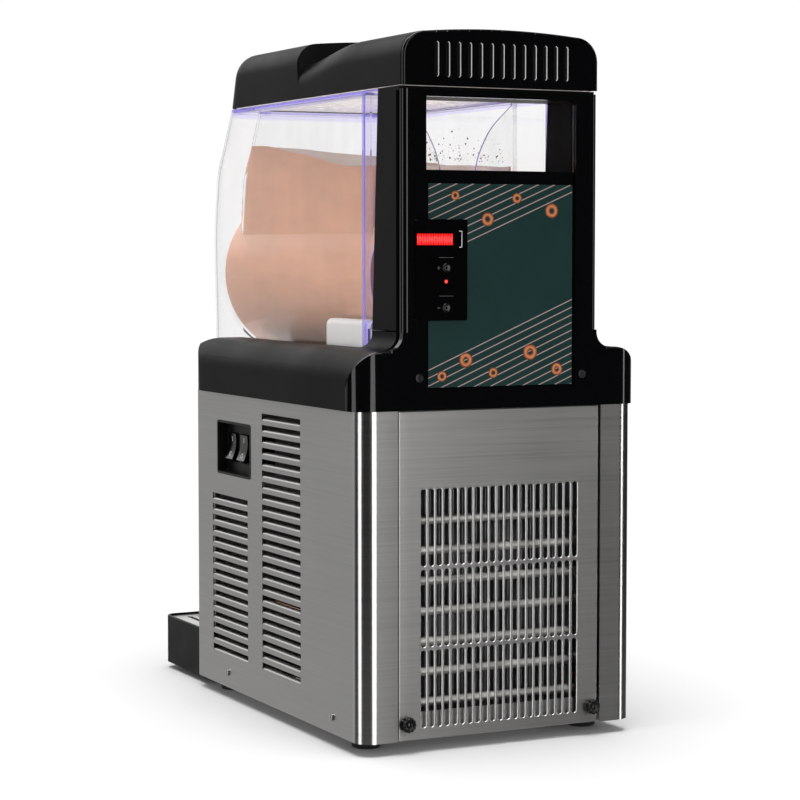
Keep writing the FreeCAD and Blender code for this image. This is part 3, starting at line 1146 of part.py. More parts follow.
def motor_bracket():
    """Bent bracket that stands on the deck and carries the gearbox from behind."""
    rear = -COLUMN_DEPTH_FOOT + COLUMN_WALL + 6.2 + GEARBOX_DEPTH + 4.3
    t = 2.0
    plate = box((-32, 32), (rear, rear + t), (CABINET_TOP - 0.1, AXIS_Z + 6))
    plate = plate.cut(box((-24, 24), (rear - 1, rear + t + 1), (CABINET_TOP + 8, AXIS_Z - 50)))
    foot = [box((x - 8, x + 8), (rear - 12, rear + t), (CABINET_TOP - 0.1, CABINET_TOP + 2))
            for x in (-32, 32)]
    foot = [f.cut(box((-34.2, 34.2), (-62.2, rear - 0.1), (CABINET_TOP - 1, CABINET_TOP + 3))) for f in foot]
    return plate.multiFuse(foot).removeSplitter()


# Tap

def tap_body():
    """Upright tap cylinder on a neck that passes through both bowl walls."""
    barrel = ring(TAP_RADIUS, TAP_BORE, (0, TAP_Y, TAP_LOW), (0, TAP_Y, TAP_HIGH))
    crown = cone(TAP_RADIUS, TAP_RADIUS - 2.0, (0, TAP_Y, TAP_HIGH), (0, TAP_Y, TAP_HIGH + 2.0))
    crown = crown.cut(rod(TAP_BORE - 4.0, (0, TAP_Y, TAP_HIGH - 1), (0, TAP_Y, TAP_HIGH + 4)))
    neck = rod(TAP_NECK, (0, TAP_Y + 6, TAP_NECK_Z), (0, BARREL_FRONT - 0.1, TAP_NECK_Z))
    flange = rod(TAP_NECK + 5.0, (0, BOWL_FRONT - 3.1, TAP_NECK_Z), (0, BOWL_FRONT + SEAT_GAP, TAP_NECK_Z))
    ears = [box((x - TAP_EAR / 2, x + TAP_EAR / 2), (TAP_Y - 6, TAP_Y + 6), (TAP_HIGH - 6, PIVOT_Z + 6))
            for x in (-TAP_BORE, TAP_BORE)]
    whole = barrel.multiFuse([crown, neck, flange] + ears)
    channel = rod(TAP_NECK - 3.5, (0, TAP_Y + 2, TAP_NECK_Z), (0, BARREL_FRONT + 5, TAP_NECK_Z))
    inside = rod(TAP_BORE, (0, TAP_Y, TAP_LOW - 1), (0, TAP_Y, TAP_HIGH))
    pin_hole = rod(PIVOT_RADIUS + RUNNING_GAP, (-40, TAP_Y, PIVOT_Z), (40, TAP_Y, PIVOT_Z))
    star = [box((-TAP_BORE, TAP_BORE), (TAP_Y - 0.8, TAP_Y + 0.8), (TAP_LOW, TAP_LOW + 3)),
            box((-0.8, 0.8), (TAP_Y - TAP_BORE, TAP_Y + TAP_BORE), (TAP_LOW, TAP_LOW + 3))]
    return cut(whole, [channel, inside, pin_hole]).multiFuse(star).removeSplitter()


def tap_piston():
    """Piston with two seal grooves and a stem up to the lever."""
    body = rod(TAP_BORE - 0.4, (0, TAP_Y, PISTON_LOW), (0, TAP_Y, PISTON_HIGH))
    grooves = [ring(TAP_BORE, TAP_BORE - 2.6, (0, TAP_Y, z - 1.3), (0, TAP_Y, z + 1.3))
               for z in piston_seal_heights()]
    stem = rod(3.5, (0, TAP_Y, PISTON_HIGH - 1), (0, TAP_Y, PISTON_HIGH + 16.0))
    head = rod(6.0, (0, TAP_Y, PISTON_HIGH + 15.0), (0, TAP_Y, PISTON_HIGH + 18.0))
    return cut(body, grooves).multiFuse([stem, head])


def piston_seal_heights():
    """Where the two O-rings sit on the piston."""
    return (PISTON_LOW + 4.0, PISTON_HIGH - 4.0)


def piston_seals():
    """Two O-rings on the piston."""
    rings = []
    for z in piston_seal_heights():
        middle = ring(TAP_BORE - 0.1, TAP_BORE - 2.4, (0, TAP_Y, z - 0.5), (0, TAP_Y, z + 0.5))
        core = ring(TAP_BORE - 0.6, TAP_BORE - 2.4, (0, TAP_Y, z - 1.1), (0, TAP_Y, z + 1.1))
        rings.append(fused([middle, core]))
    return Part.makeCompound(rings)


def lever_pin():
    """Pin across the tap's ears."""
    reach = TAP_BORE + TAP_EAR / 2 + 3.0
    return rod(PIVOT_RADIUS, (-reach, TAP_Y, PIVOT_Z), (reach, TAP_Y, PIVOT_Z))


def dispense_lever():
    """Lever that hangs in front of the tap, with a broad rounded grip."""
    neck, grip = TAP_BORE - TAP_EAR / 2 - SEAT_GAP, 21.0
    hub = ring(PIVOT_RADIUS + 4.5, PIVOT_RADIUS + RUNNING_GAP, (-neck, TAP_Y, PIVOT_Z),
               (neck, TAP_Y, PIVOT_Z))
    face_y = TAP_Y - TAP_RADIUS
    low = PIVOT_Z - LEVER_LENGTH
    arm = [(TAP_Y, PIVOT_Z + 7.5), (face_y - 8.6, PIVOT_Z + 6.0, 6.0), (face_y - 8.6, low, 2.0),
           (face_y - 3.6, low, 2.0), (face_y - 3.6, PIVOT_Z - 6.0, 2.0), (TAP_Y, PIVOT_Z - 5.0)]
    blade = extrude(arm, "yz", -24, 24)
    outline_right = [(neck, PIVOT_Z + 9), (neck, PIVOT_Z - 22), (grip, low + 30), (grip, low + 10),
                     (grip - 6, low - 1)]
    left = [(-x, z) for x, z in reversed(outline_right)]
    face = extrude(outline_right + left, "xz", face_y - 20, TAP_Y + 5)
    bore = rod(PIVOT_RADIUS + RUNNING_GAP, (-30, TAP_Y, PIVOT_Z), (30, TAP_Y, PIVOT_Z))
    return fused([hub, blade.common(face)]).cut(bore)


# Drip tray

def drip_tray():
    """Open tray with round corners that hangs on two hooks in front of the cabinet."""
    w, rear = TRAY_HALF_WIDTH, -CABINET_DEPTH - SEAT_GAP
    t = TRAY_WALL
    plan = [(-w, TRAY_FRONT, TRAY_CORNER), (w, TRAY_FRONT, TRAY_CORNER), (w, rear), (-w, rear)]
    inner = [(-w + t, TRAY_FRONT + t, TRAY_CORNER - t), (w - t, TRAY_FRONT + t, TRAY_CORNER - t),
             (w - t, rear - t, 2.0), (-w + t, rear - t, 2.0)]
    tray = extrude(plan, "xy", TRAY_LOW, TRAY_HIGH)
    rim = [e for e in tray.Edges if e.BoundBox.ZMin > TRAY_HIGH - 0.01 and e.BoundBox.YMin < rear - 1]
    tray = tray.makeFillet(1.2, rim)
    tray = tray.cut(extrude(inner, "xy", TRAY_LOW + t, TRAY_HIGH + 1))
    ledge_low = TRAY_HIGH - GRID_DROP - GRID_THICKNESS - 3.0
    shelf = extrude(inner, "xy", ledge_low, ledge_low + 2.6)
    hole = [(a + (4 if a < 0 else -4), b + (4 if i < 2 else -4), 6.0) for i, (a, b, _) in enumerate(inner)]
    shelf = shelf.cut(extrude(hole, "xy", ledge_low - 1, ledge_low + 4))
    hooks = []
    for x in (-TRAY_HOOK_X, TRAY_HOOK_X):
        hooks.append(box((x - 7, x + 7), (rear - 1, rear + 3.4), (TRAY_HOOK_LOW + 3.0, TRAY_HOOK_LOW + 5.6)))
        hooks.append(box((x - 7, x + 7), (rear + 1.9, rear + 3.4), (TRAY_HOOK_LOW, TRAY_HOOK_LOW + 5.6)))
    return tray.multiFuse([shelf] + hooks).removeSplitter()


def drip_grid():
    """Slotted grid that the cup stands on."""
    w, rear, t = TRAY_HALF_WIDTH, -CABINET_DEPTH - SEAT_GAP, TRAY_WALL
    g = SLIDE_GAP
    low = TRAY_HIGH - GRID_DROP - GRID_THICKNESS
    edge, front, back = w - t - g, TRAY_FRONT + t + g, rear - t - g
    corners = [(-edge, front, TRAY_CORNER - t), (edge, front, TRAY_CORNER - t), (edge, back, 2.0),
               (-edge, back, 2.0)]
    blank = outline(corners)
    slots = []
    count = int((w - 16.5) / GRID_PITCH)
    for i in range(-count, count + 1):
        slots.append(slot_outline(i * GRID_PITCH, TRAY_FRONT + 18, rear - 18, 5.2, 1.6))
    sheet = Part.makeFace([blank] + slots, "Part::FaceMakerBullseye")
    sheet.translate(Vector(0, 0, low))
    return sheet.extrude(Vector(0, 0, GRID_THICKNESS))


# Cooling unit

def condenser_coil():
    """Serpentine tube: seven level runs joined by return bends."""
    half = CONDENSER_HALF_WIDTH + 6.0
    points = []
    for row in range(TUBE_ROWS):
        sign = 1 if row % 2 == 0 else -1
        z = TUBE_LOWEST + row * TUBE_PITCH
        points.append((-sign * half, TUBE_Y, z))
        points.append((sign * half, TUBE_Y, z))
        if row < TUBE_ROWS - 1:
            for share in (0.25, 0.75):
                points.append((sign * (half + TUBE_PITCH * 0.4), TUBE_Y, z + TUBE_PITCH * share))
    path = [Vector(*p) for p in points]
    section = Part.Wire(Part.makeCircle(TUBE_RADIUS, path[0], Vector(1, 0, 0)))
    return Part.makePolygon(path).makePipeShell([section], True, False, 1)


def condenser_fins():
    """Thin upright fins just inside the coil."""
    fins = []
    first, half = 8 - CONDENSER_HALF_WIDTH, FIN_THICKNESS / 2.0
    for i in range(FIN_COUNT):
        x = first - 2 * first * i / (FIN_COUNT - 1)
        fins.append(box((x - half, x + half), (FIN_FRONT, TUBE_Y - TUBE_RADIUS - SEAT_GAP),
                        (TUBE_LOWEST - 12, FIN_TOP)))
    return Part.makeCompound(fins)


def condenser_frame():
    """Two notched end plates and two rails that hold coil and fins, standing on the floor pan."""
    front, rear = FIN_FRONT, -7.0
    low, high = CABINET_BOTTOM + 1.6, CONDENSER_TOP
    plates = []
    for sign in (-1, 1):
        x = sign * CONDENSER_HALF_WIDTH
        plates.append(box((x - 1, x + 1), (front, rear - 2.0), (low, high)))
    rails = [box((-CONDENSER_HALF_WIDTH, CONDENSER_HALF_WIDTH), (front, front + 11.6), (z, z + 1.6))
             for z in (TUBE_LOWEST - 14, high - 3)]
    body = fused(plates + rails)
    notches = []
    for row in range(TUBE_ROWS):
        z = TUBE_LOWEST + row * TUBE_PITCH
        reach = TUBE_RADIUS + SEAT_GAP
        notches.append(box((-120, 120), (TUBE_Y - reach, 0), (z - reach, z + reach)))
    return cut(body, notches)


def fan_shroud():
    """Square plate with a round throat, inside the condenser."""
    rear = FIN_FRONT - SEAT_GAP
    w, low, high = CONDENSER_HALF_WIDTH, CABINET_BOTTOM + 1.6, CONDENSER_TOP
    plate = extrude([(-w, low, 4), (w, low, 4), (w, high, 4), (-w, high, 4)], "xz", rear - 2.0, rear)
    throat = ring(FAN_RADIUS + 5.0, FAN_RADIUS + 3.0, (0, rear - 16.0, FAN_Z), (0, rear, FAN_Z))
    hole = rod(FAN_RADIUS + 3.0, (0, rear - 30, FAN_Z), (0, rear + 5, FAN_Z))
    arms = []
    for i in range(3):
        arm = box((20.0, FAN_RADIUS + 4.0), (rear - 16.0, rear - 13.0), (FAN_Z - 3, FAN_Z + 3))
        arm.rotate(Vector(0, 0, FAN_Z), Vector(0, 1, 0), 90 + i * 120)
        arms.append(arm)
    return plate.cut(hole).multiFuse([throat] + arms)


def fan_motor():
    """Small fan motor held by the shroud's arms."""
    rear = FIN_FRONT - SEAT_GAP - 16.2
    can = rod(25.0, (0, rear - 30, FAN_Z), (0, rear, FAN_Z))
    cap = cone(18.0, 22.0, (0, rear - 36, FAN_Z), (0, rear - 30, FAN_Z))
    shaft = rod(3.0, (0, rear, FAN_Z), (0, rear + 12.0, FAN_Z))
    return can.multiFuse([cap, shaft]).removeSplitter()


def fan_blades():
    """Hub and twisted blades of the fan, in front of the shroud's arms."""
    rear = FIN_FRONT - SEAT_GAP - 16.0
    low, high = rear + 4.0, rear + 13.0
    hub = rod(16.0, (0, low, FAN_Z), (0, high, FAN_Z))
    hub = hub.cut(rod(3.0 + RUNNING_GAP, (0, low - 5, FAN_Z), (0, high - 0.6, FAN_Z)))
    blades = []
    for i in range(FAN_BLADES):
        sections = []
        for radius, width, pitch in ((14.0, 18.0, 20.0), (40.0, 26.0, 15.0), (FAN_RADIUS, 30.0, 11.0)):
            half, lean = width / 2.0, math.radians(pitch)
            a, b = half * math.cos(lean), half * math.sin(lean)
            t = 0.8
            middle = (low + high) / 2.0
            corners = [(middle - b - t, -a), (middle + b - t, a), (middle + b + t, a), (middle - b + t, -a)]
            points = [Vector(radius, *corner) for corner in corners]
            sections.append(Part.makePolygon(points + [points[0]]))
        blade = Part.makeLoft(sections, True, True)
        blade.translate(Vector(0, 0, FAN_Z))
        blade.rotate(Vector(0, 0, FAN_Z), Vector(0, 1, 0), i * 360.0 / FAN_BLADES)
        blades.append(blade)
    return hub.multiFuse(blades)


def compressor():
    """Hermetic compressor: welded steel pot with a seam and three stub pipes on its base plate."""
    y, r = COMPRESSOR_Y, COMPRESSOR_RADIUS
    low = CABINET_BOTTOM + 1.5 + 8.0
    bodies = [cone(r - 8, r, (0, y, low + 3), (0, y, low + 30)),
              rod(r, (0, y, low + 30), (0, y, low + 110)),
              cone(r, r - 26, (0, y, low + 110), (0, y, low + 134)),
              rod(r + 3, (0, y, low + 62), (0, y, low + 66))]
    wide, long = r + 14, r - 10
    plate = extrude([(-wide, y - long, 10), (wide, y - long, 10), (wide, y + long, 10),
                     (-wide, y + long, 10)], "xy", low, low + 3)
    stubs = [rod(4.0, (r - 6, y + s * 14, low + 70 + s * 20), (r + 16, y + s * 14, low + 70 + s * 20))
             for s in (-1, 0, 1)]
    box_cover = box((-r - 12, -r + 8), (y - 22, y + 22), (low + 45, low + 95))
    whole = bodies[0].multiFuse(bodies[1:] + [plate, box_cover] + stubs)
    holes = [rod(3.2, (sx * (r + 6), y + sy * (r - 20), low - 1), (sx * (r + 6), y + sy * (r - 20), low + 5))
             for sx in (-1, 1) for sy in (-1, 1)]
    return cut(whole, holes).removeSplitter()


def compressor_mounts():
    """Four rubber grommets between compressor and floor pan."""
    made = []
    y, r = COMPRESSOR_Y, COMPRESSOR_RADIUS
    low = CABINET_BOTTOM + 1.5
    for sx in (-1, 1):
        for sy in (-1, 1):
            x, cy = sx * (r + 6), y + sy * (r - 20)
            pad = ring(8.0, 2.0, (x, cy, low + 0.1), (x, cy, low + 7.9))
            collar_ring = ring(3.0, 2.0, (x, cy, low + 7.8), (x, cy, low + 12.5))
            made.append(fused([pad, collar_ring]))
    return Part.makeCompound(made)


def filter_dryer():
    """Copper dryer, standing beside the condenser on its own clip."""
    x, y, low, high = DRYER_X, DRYER_Y, DRYER_LOW, DRYER_LOW + DRYER_LENGTH
    can = rod(DRYER_RADIUS, (x, y, low + 14), (x, y, high - 14))
    ends = [cone(3.2, DRYER_RADIUS, (x, y, low), (x, y, low + 14)),
            cone(DRYER_RADIUS, 3.2, (x, y, high - 14), (x, y, high))]
    return can.multiFuse(ends).removeSplitter()


def dryer_clip():
    """Clip from the side panel that holds the dryer."""
    x, y = DRYER_X, DRYER_Y
    middle = DRYER_LOW + DRYER_LENGTH / 2.0 + 20.0
    band = ring(DRYER_RADIUS + 2.0, DRYER_RADIUS + 0.05, (x, y, middle - 8), (x, y, middle + 8))
    tab = box((x + DRYER_RADIUS + 1, CABINET_HALF_WIDTH - SHEET - 0.1), (y - 1, y + 1),
              (middle - 8, middle + 8))
    return fused([band, tab])


def riser_x():
    """Where the thin line passes the deck, beside the gearbox."""
    return -GEARBOX_HALF_WIDTH - 24.0


def refrigerant_pipes():
    """Copper lines: compressor to coil, coil to dryer and dryer to chiller."""
    low = CABINET_BOTTOM + 9.5
    y, r = COMPRESSOR_Y, COMPRESSOR_RADIUS
    side, coil_end = CABINET_HALF_WIDTH - 10.0, CONDENSER_HALF_WIDTH + 6.0
    hot = tube([(r + 16.2, y + 14, low + 90), (side, y + 14, low + 90), (side, -60, low + 90),
                (side, -60, TUBE_HIGHEST), (side, TUBE_Y, TUBE_HIGHEST),
                (coil_end + 0.2, TUBE_Y, TUBE_HIGHEST)], 3.2, 6.0)
    x, z, far = DRYER_X, TUBE_LOWEST - 1.0, LINE_INSET - CABINET_HALF_WIDTH
    liquid = tube([(-coil_end - 0.2, TUBE_Y, TUBE_LOWEST), (far, TUBE_Y, TUBE_LOWEST),
                   (far, -118, TUBE_LOWEST), (x, -118, z), (x, DRYER_Y, z), (x, DRYER_Y, DRYER_LOW - 0.2)],
                  3.0, 6.0)
    up, across = riser_x(), CABINET_TOP - 58.0
    thin = tube([(x, DRYER_Y, DRYER_LOW + DRYER_LENGTH + 0.2), (x, DRYER_Y, across), (up, DRYER_Y, across),
                 (up, -52, across), (up, -52, CABINET_TOP + 64), (up, -40, AXIS_Z - 30),
                 (up + 10, -40, AXIS_Z - 8), (up + 10, SPIGOT_REAR + 0.2, AXIS_Z - 8)], 2.4, 4.0)
    return Part.makeCompound([hot, liquid, thin])


def cord_gland():
    """Cable gland in the floor pan."""
    x, y, low = GLAND_X, GLAND_Y, CABINET_BOTTOM
    barrel = rod(GLAND_RADIUS, (x, y, low - 6), (x, y, low + 12))
    hexagon = [(x + GLAND_NUT * math.cos(math.radians(a)), y + GLAND_NUT * math.sin(math.radians(a)))
               for a in range(0, 360, 60)]
    nut = extrude(hexagon, "xy", low + 1.6, low + 6.5)
    cap = extrude(hexagon, "xy", low - 6.5, low - 0.1)
    return barrel.multiFuse([nut, cap]).cut(rod(GLAND_RADIUS / 2, (x, y, low - 10), (x, y, low + 20)))


def build():
    """Every node by name."""
    return {
        "side_panel_right": side_panel(True),
        "side_panel_left": side_panel(False).mirror(Vector(), Vector(1, 0, 0)),
        "side_screws": side_screws(),
        "floor_pan": floor_pan(),
        "feet": feet(),
        "front_panel": front_panel(),
        "top_deck": top_deck(),
        "rear_grille_panel": rear_grille_panel(),
        "thumb_knob_right": thumb_knob(1),
        "thumb_knob_left": thumb_knob(-1),
        "switch_housing": switch_housing(),
        "switch_cases": switch_bodies(),
        "rocker_front": rocker(0),
        "rocker_rear": rocker(1),
        "collar": collar(),
        "rear_frame": rear_frame(),
        "frame_screws": frame_screws(),
        "column_shell": column_shell(),
        "graphic_panel": graphic_panel(),
        "control_bezel": control_bezel(),
        "display_bar": display_bar(),
        "key_upper": control_key(0),
        "key_lower": control_key(1),
        "control_board": control_board(),
        "lid_shell": lid_shell(),
        "lid_rear_panel": lid_rear_panel(),
        "lid_diffuser": lid_diffuser(),
        "led_strip": led_strip(),
        "bowl_outer": bowl_outer(),
        "bowl_inner": bowl_inner(),
        "bowl_gasket": bowl_gasket(),
        "frappe_fill": frappe_fill(),
        "chiller_block": chiller_block(),
        "chiller": chiller(),
        "shaft_bushes": shaft_bushes(),
        "shaft_seal": shaft_seal(),
        "drive_shaft": drive_shaft(),
        "auger": auger(),
        "gearbox": gearbox(),
        "gear_motor": gear_motor(),
        "motor_bracket": motor_bracket(),
        "tap_body": tap_body(),
        "tap_piston": tap_piston(),
        "piston_seals": piston_seals(),
        "lever_pin": lever_pin(),
        "dispense_lever": dispense_lever(),
        "drip_tray": drip_tray(),
        "drip_grid": drip_grid(),
        "condenser_coil": condenser_coil(),
        "condenser_fins": condenser_fins(),
        "condenser_frame": condenser_frame(),
        "fan_shroud": fan_shroud(),
        "fan_motor": fan_motor(),
        "fan_blades": fan_blades(),
        "compressor": compressor(),
        "compressor_mounts": compressor_mounts(),
        "filter_dryer": filter_dryer(),
        "dryer_clip": dryer_clip(),
        "refrigerant_pipes": refrigerant_pipes(),
        "cord_gland": cord_gland(),
    }


def main():
    """Write one file per node."""
    os.makedirs("parts", exist_ok=True)
    for name, shape in build().items():
        shape.translate(Vector(0, Y_SHIFT, 0))
        shape.exportStep("parts/" + name + ".step")
        print(name, len(shape.Solids), round(shape.Volume / 1000.0, 2), shape.isValid())


main()
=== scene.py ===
"""The looks of a counter-top frozen drink dispenser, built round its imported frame.

Each sub-assembly is a class whose fields hold its sizes in millimetres. Inside the classes the
flat back of the cabinet is at y = 0 and the drip tray lies towards -Y. `into_frame` carries the
points into the frame, which is in metres and has its origin under the middle of the footprint.
"""
import logging
import math
from dataclasses import dataclass
from enum import Enum
from typing import Callable, Iterable, Sequence

import bmesh
import bpy
import numpy as np
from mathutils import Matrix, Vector


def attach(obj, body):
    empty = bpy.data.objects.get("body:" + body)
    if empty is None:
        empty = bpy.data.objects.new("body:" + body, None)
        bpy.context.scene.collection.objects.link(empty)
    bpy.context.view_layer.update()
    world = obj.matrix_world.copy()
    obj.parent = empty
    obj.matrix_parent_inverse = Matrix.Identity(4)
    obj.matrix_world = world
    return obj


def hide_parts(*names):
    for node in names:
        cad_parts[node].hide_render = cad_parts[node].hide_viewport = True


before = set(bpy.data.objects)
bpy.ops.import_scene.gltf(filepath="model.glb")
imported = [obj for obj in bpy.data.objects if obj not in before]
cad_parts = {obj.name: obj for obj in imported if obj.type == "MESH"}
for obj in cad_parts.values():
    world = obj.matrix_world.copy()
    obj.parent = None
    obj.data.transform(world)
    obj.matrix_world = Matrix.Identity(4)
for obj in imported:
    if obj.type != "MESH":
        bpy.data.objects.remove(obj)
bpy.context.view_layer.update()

BACK_TO_MIDDLE = 256.15
MM_PER_METRE = 1000.0
TINY = 1e-6
LOG = logging.getLogger("frozen_drink_dispenser")
Array = np.ndarray
Socket = bpy.types.NodeSocket
Span = tuple[float, float]
Triple = tuple[float, float, float]
Profile = Sequence[Span]


# Surfaces

@dataclass
class Surface:
    """Points in millimetres, four-cornered faces, and the number of each face's finish."""

    points: Array
    faces: Array
    tags: Array

    def __add__(self, other: "Surface") -> "Surface":
        """Both surfaces as one."""
        return Surface(np.vstack([self.points, other.points]),
                       np.vstack([self.faces, other.faces + len(self.points)]),
                       chain(self.tags, other.tags))

    def tagged(self, tag: int) -> "Surface":
        """The surface with one finish number on all of it."""
        return Surface(self.points, self.faces, np.full(len(self.faces), tag))

    def mirrored(self) -> "Surface":
        """The mirror image in the plane x = 0, still facing outwards."""
        return Surface(self.points * np.array([-1.0, 1.0, 1.0]), self.faces[:, ::-1], self.tags)

    def turned(self, axis: int, degrees: float, centre: Sequence[float]) -> "Surface":
        """The surface turned about a line.

        Args:
            axis: 0, 1 or 2 for a line along X, Y or Z.
            degrees: Angle by the right-hand rule.
            centre: A point on the line.

        Returns:
            The turned surface. In the plane across the line, a' = a cos t - b sin t and
            b' = a sin t + b cos t.
        """
        first, second = (axis + 1) % 3, (axis + 2) % 3
        turn = math.radians(degrees)
        rest = self.points - np.array(centre)
        made = rest.copy()
        made[:, first] = rest[:, first] * math.cos(turn) - rest[:, second] * math.sin(turn)
        made[:, second] = rest[:, first] * math.sin(turn) + rest[:, second] * math.cos(turn)
        return Surface(made + np.array(centre), self.faces, self.tags)

    def facing_from(self, inside: Sequence[float]) -> "Surface":
        """The surface with its faces looking away from a point.

        Args:
            inside: The point.

        Returns:
            The same surface, or the one with all its faces reversed if more of the area looked
            towards the point.
        """
        corners = self.points[self.faces]
        across = np.cross(corners[:, 2] - corners[:, 0], corners[:, 3] - corners[:, 1])
        outward = np.sum(across * (corners.mean(1) - np.array(inside)))
        return self if outward > 0 else Surface(self.points, self.faces[:, ::-1], self.tags)


def joined(surfaces: Iterable[Surface]) -> Surface:
    """All the surfaces as one."""
    first, *others = surfaces
    return sum(others, first)


def full_turn(count: int) -> Array:
    """Even angles of one full turn, its end left out."""
    return np.linspace(0.0, 2.0 * math.pi, count, endpoint=False)


def quarter_turn(count: int) -> Array:
    """Even angles from 0 to 90 degrees."""
    return np.linspace(0.0, math.pi / 2.0, count)


def halfway(lines: Array) -> Array:
    """The middles between neighbouring lines."""
    return (lines[:-1] + lines[1:]) / 2.0


def within(values: Array, span: Span) -> Array:
    """Which values lie between the ends of a span."""
    return (values > span[0]) & (values < span[1])


def chain(*parts: Sequence[float] | Array) -> Array:
    """The parts one after another."""
    return np.concatenate(parts)


def grid_lines(*parts: Sequence[float] | Array) -> Array:
    """The lines of a grid in rising order, each once."""
    return np.unique(np.round(chain(*parts), 4))


def points_at(x: Array, y: Array, z: Array) -> Array:
    """Points from coordinates that are stretched to one shape."""
    return np.stack(np.broadcast_arrays(x, y, z), axis=-1)


def lattice(points: Array, wrap_rows: bool = False, wrap_cols: bool = False,
            keep: Array | None = None) -> Surface:
    """A surface over a grid of points.

    Args:
        points: Rows by columns by 3.
        wrap_rows: Whether the last row joins the first.
        wrap_cols: Whether the last column joins the first.
        keep: Which cells are there, one flag per cell. All of them if left out.

    Returns:
        One face per cell.
    """
    rows, cols = points.shape[:2]
    index = np.arange(rows * cols).reshape(rows, cols)
    index = np.vstack([index, index[:1]]) if wrap_rows else index
    index = np.hstack([index, index[:, :1]]) if wrap_cols else index
    cells = np.stack([index[:-1, :-1], index[1:, :-1], index[1:, 1:], index[:-1, 1:]], axis=-1)
    faces = cells.reshape(-1, 4) if keep is None else cells[keep]
    return Surface(points.reshape(-1, 3), faces, np.zeros(len(faces), int))


def closed_ends(rings: Array) -> Array:
    """The rings with one more at each end, drawn together to that end's middle."""
    first, last = (np.broadcast_to(ring.mean(0), (1, *ring.shape)) for ring in (rings[0], rings[-1]))
    return chain(first, rings, last)


def revolved(profile: Profile | Array, centre: Sequence[float], axis: int = 2, count: int = 48,
             loop: bool = False, lobes: int = 0, lobe_depth: float = 0.0) -> Surface:
    """A profile turned about an axis.

    Args:
        profile: (radius, distance along the axis) pairs.
        centre: Where the axis passes, and what the distances count from.
        axis: 0, 1 or 2 for X, Y or Z.
        count: Points round the axis.
        loop: Whether the profile's end joins its start.
        lobes: How many lobes the round has.
        lobe_depth: Their share of the radius.

    Returns:
        The points (r c cos a, r c sin a, h) over the angle a and the profile, with
        c = 1 + depth cos(lobes a).
    """
    run = np.array(profile, float)
    angle = full_turn(count)
    radius = run[:, :1] * (1.0 + lobe_depth * np.cos(lobes * angle))
    points = np.zeros((len(run), count, 3))
    points[..., (axis + 1) % 3] = radius * np.cos(angle)
    points[..., (axis + 2) % 3] = radius * np.sin(angle)
    points[..., axis] = run[:, 1:]
    return lattice(points + np.array(centre), wrap_rows=loop, wrap_cols=True)


def softened(corners: Sequence[Sequence[float]], reach: float, steps: int = 4) -> Array:
    """A line whose corners are taken by parabolas.

    Args:
        corners: Points of two or three numbers.
        reach: How far from a corner its parabola starts and ends, up to 0.48 of either run.
        steps: Pieces per corner.

    Returns:
        The points (1-t)^2 a + 2t(1-t) p + t^2 b of each corner p, with a and b on its runs.
    """
    points = np.array(corners, float)
    here = points[1:-1]
    back, ahead = points[:-2] - here, points[2:] - here
    lengths = np.stack([np.linalg.norm(back, axis=1), np.linalg.norm(ahead, axis=1)])
    share = np.minimum(reach, 0.48 * lengths.min(0)) / lengths
    start = here + back * share[0][:, None]
    end = here + ahead * share[1][:, None]
    t = np.linspace(0.0, 1.0, steps + 1)[None, :, None]
    curve = (1 - t) ** 2 * start[:, None] + 2 * t * (1 - t) * here[:, None] + t ** 2 * end[:, None]
    return np.vstack([points[:1], curve.reshape(-1, points.shape[1]), points[-1:]])


def flowing(x: Array, knots: Sequence[float], values: Sequence[float]) -> Array:
    """A smooth curve through knots.

    Args:
        x: Where the curve is wanted.
        knots: Places of the knots, rising.
        values: Values there.

    Returns:
        The cubic Hermite curve (1+2t)(1-t)^2 a + t(1-t)^2 w p + t^2(3-2t) b + t^2(t-1) w q
        between two knots w apart, whose slopes p and q are taken from their neighbours.
    """
    at, to = np.array(knots, float), np.array(values, float)
    slope = np.gradient(to, at)
    i = np.clip(np.searchsorted(at, x) - 1, 0, len(at) - 2)
    width = at[i + 1] - at[i]
    t = (x - at[i]) / width
    return ((1 + 2 * t) * (1 - t) ** 2 * to[i] + t * (1 - t) ** 2 * width * slope[i]
            + t * t * (3 - 2 * t) * to[i + 1] + t * t * (t - 1) * width * slope[i + 1])


def eased(t: Array) -> Array:
    """3t^2 - 2t^3, held at 0 and 1 outside."""
    held = np.clip(t, 0.0, 1.0)
    return held * held * (3.0 - 2.0 * held)


def round_section(radius: float, count: int = 16) -> Array:
    """Points of a circle, as (side, top) offsets."""
    angle = full_turn(count)
    return radius * np.stack([np.cos(angle), np.sin(angle)], axis=1)


def carried(section: Array, path: Array, up: Sequence[float]) -> Surface:
    """A closed section carried along a path, with both ends closed.

    Args:
        section: (side, top) offsets.
        path: Points of the path.
        up: A direction that no run of the path follows.

    Returns:
        The points path + side (t x up) + top ((t x up) x t), where t is the path's direction.
    """
    ahead = np.gradient(path, axis=0)
    side = np.cross(ahead, np.array(up, float))
    top = np.cross(side, ahead)
    side = side / np.linalg.norm(side, axis=1, keepdims=True)
    top = top / np.linalg.norm(top, axis=1, keepdims=True)
    rings = path[:, None] + side[:, None] * section[None, :, :1] + top[:, None] * section[None, :, 1:]
    return lattice(closed_ends(rings), wrap_cols=True)


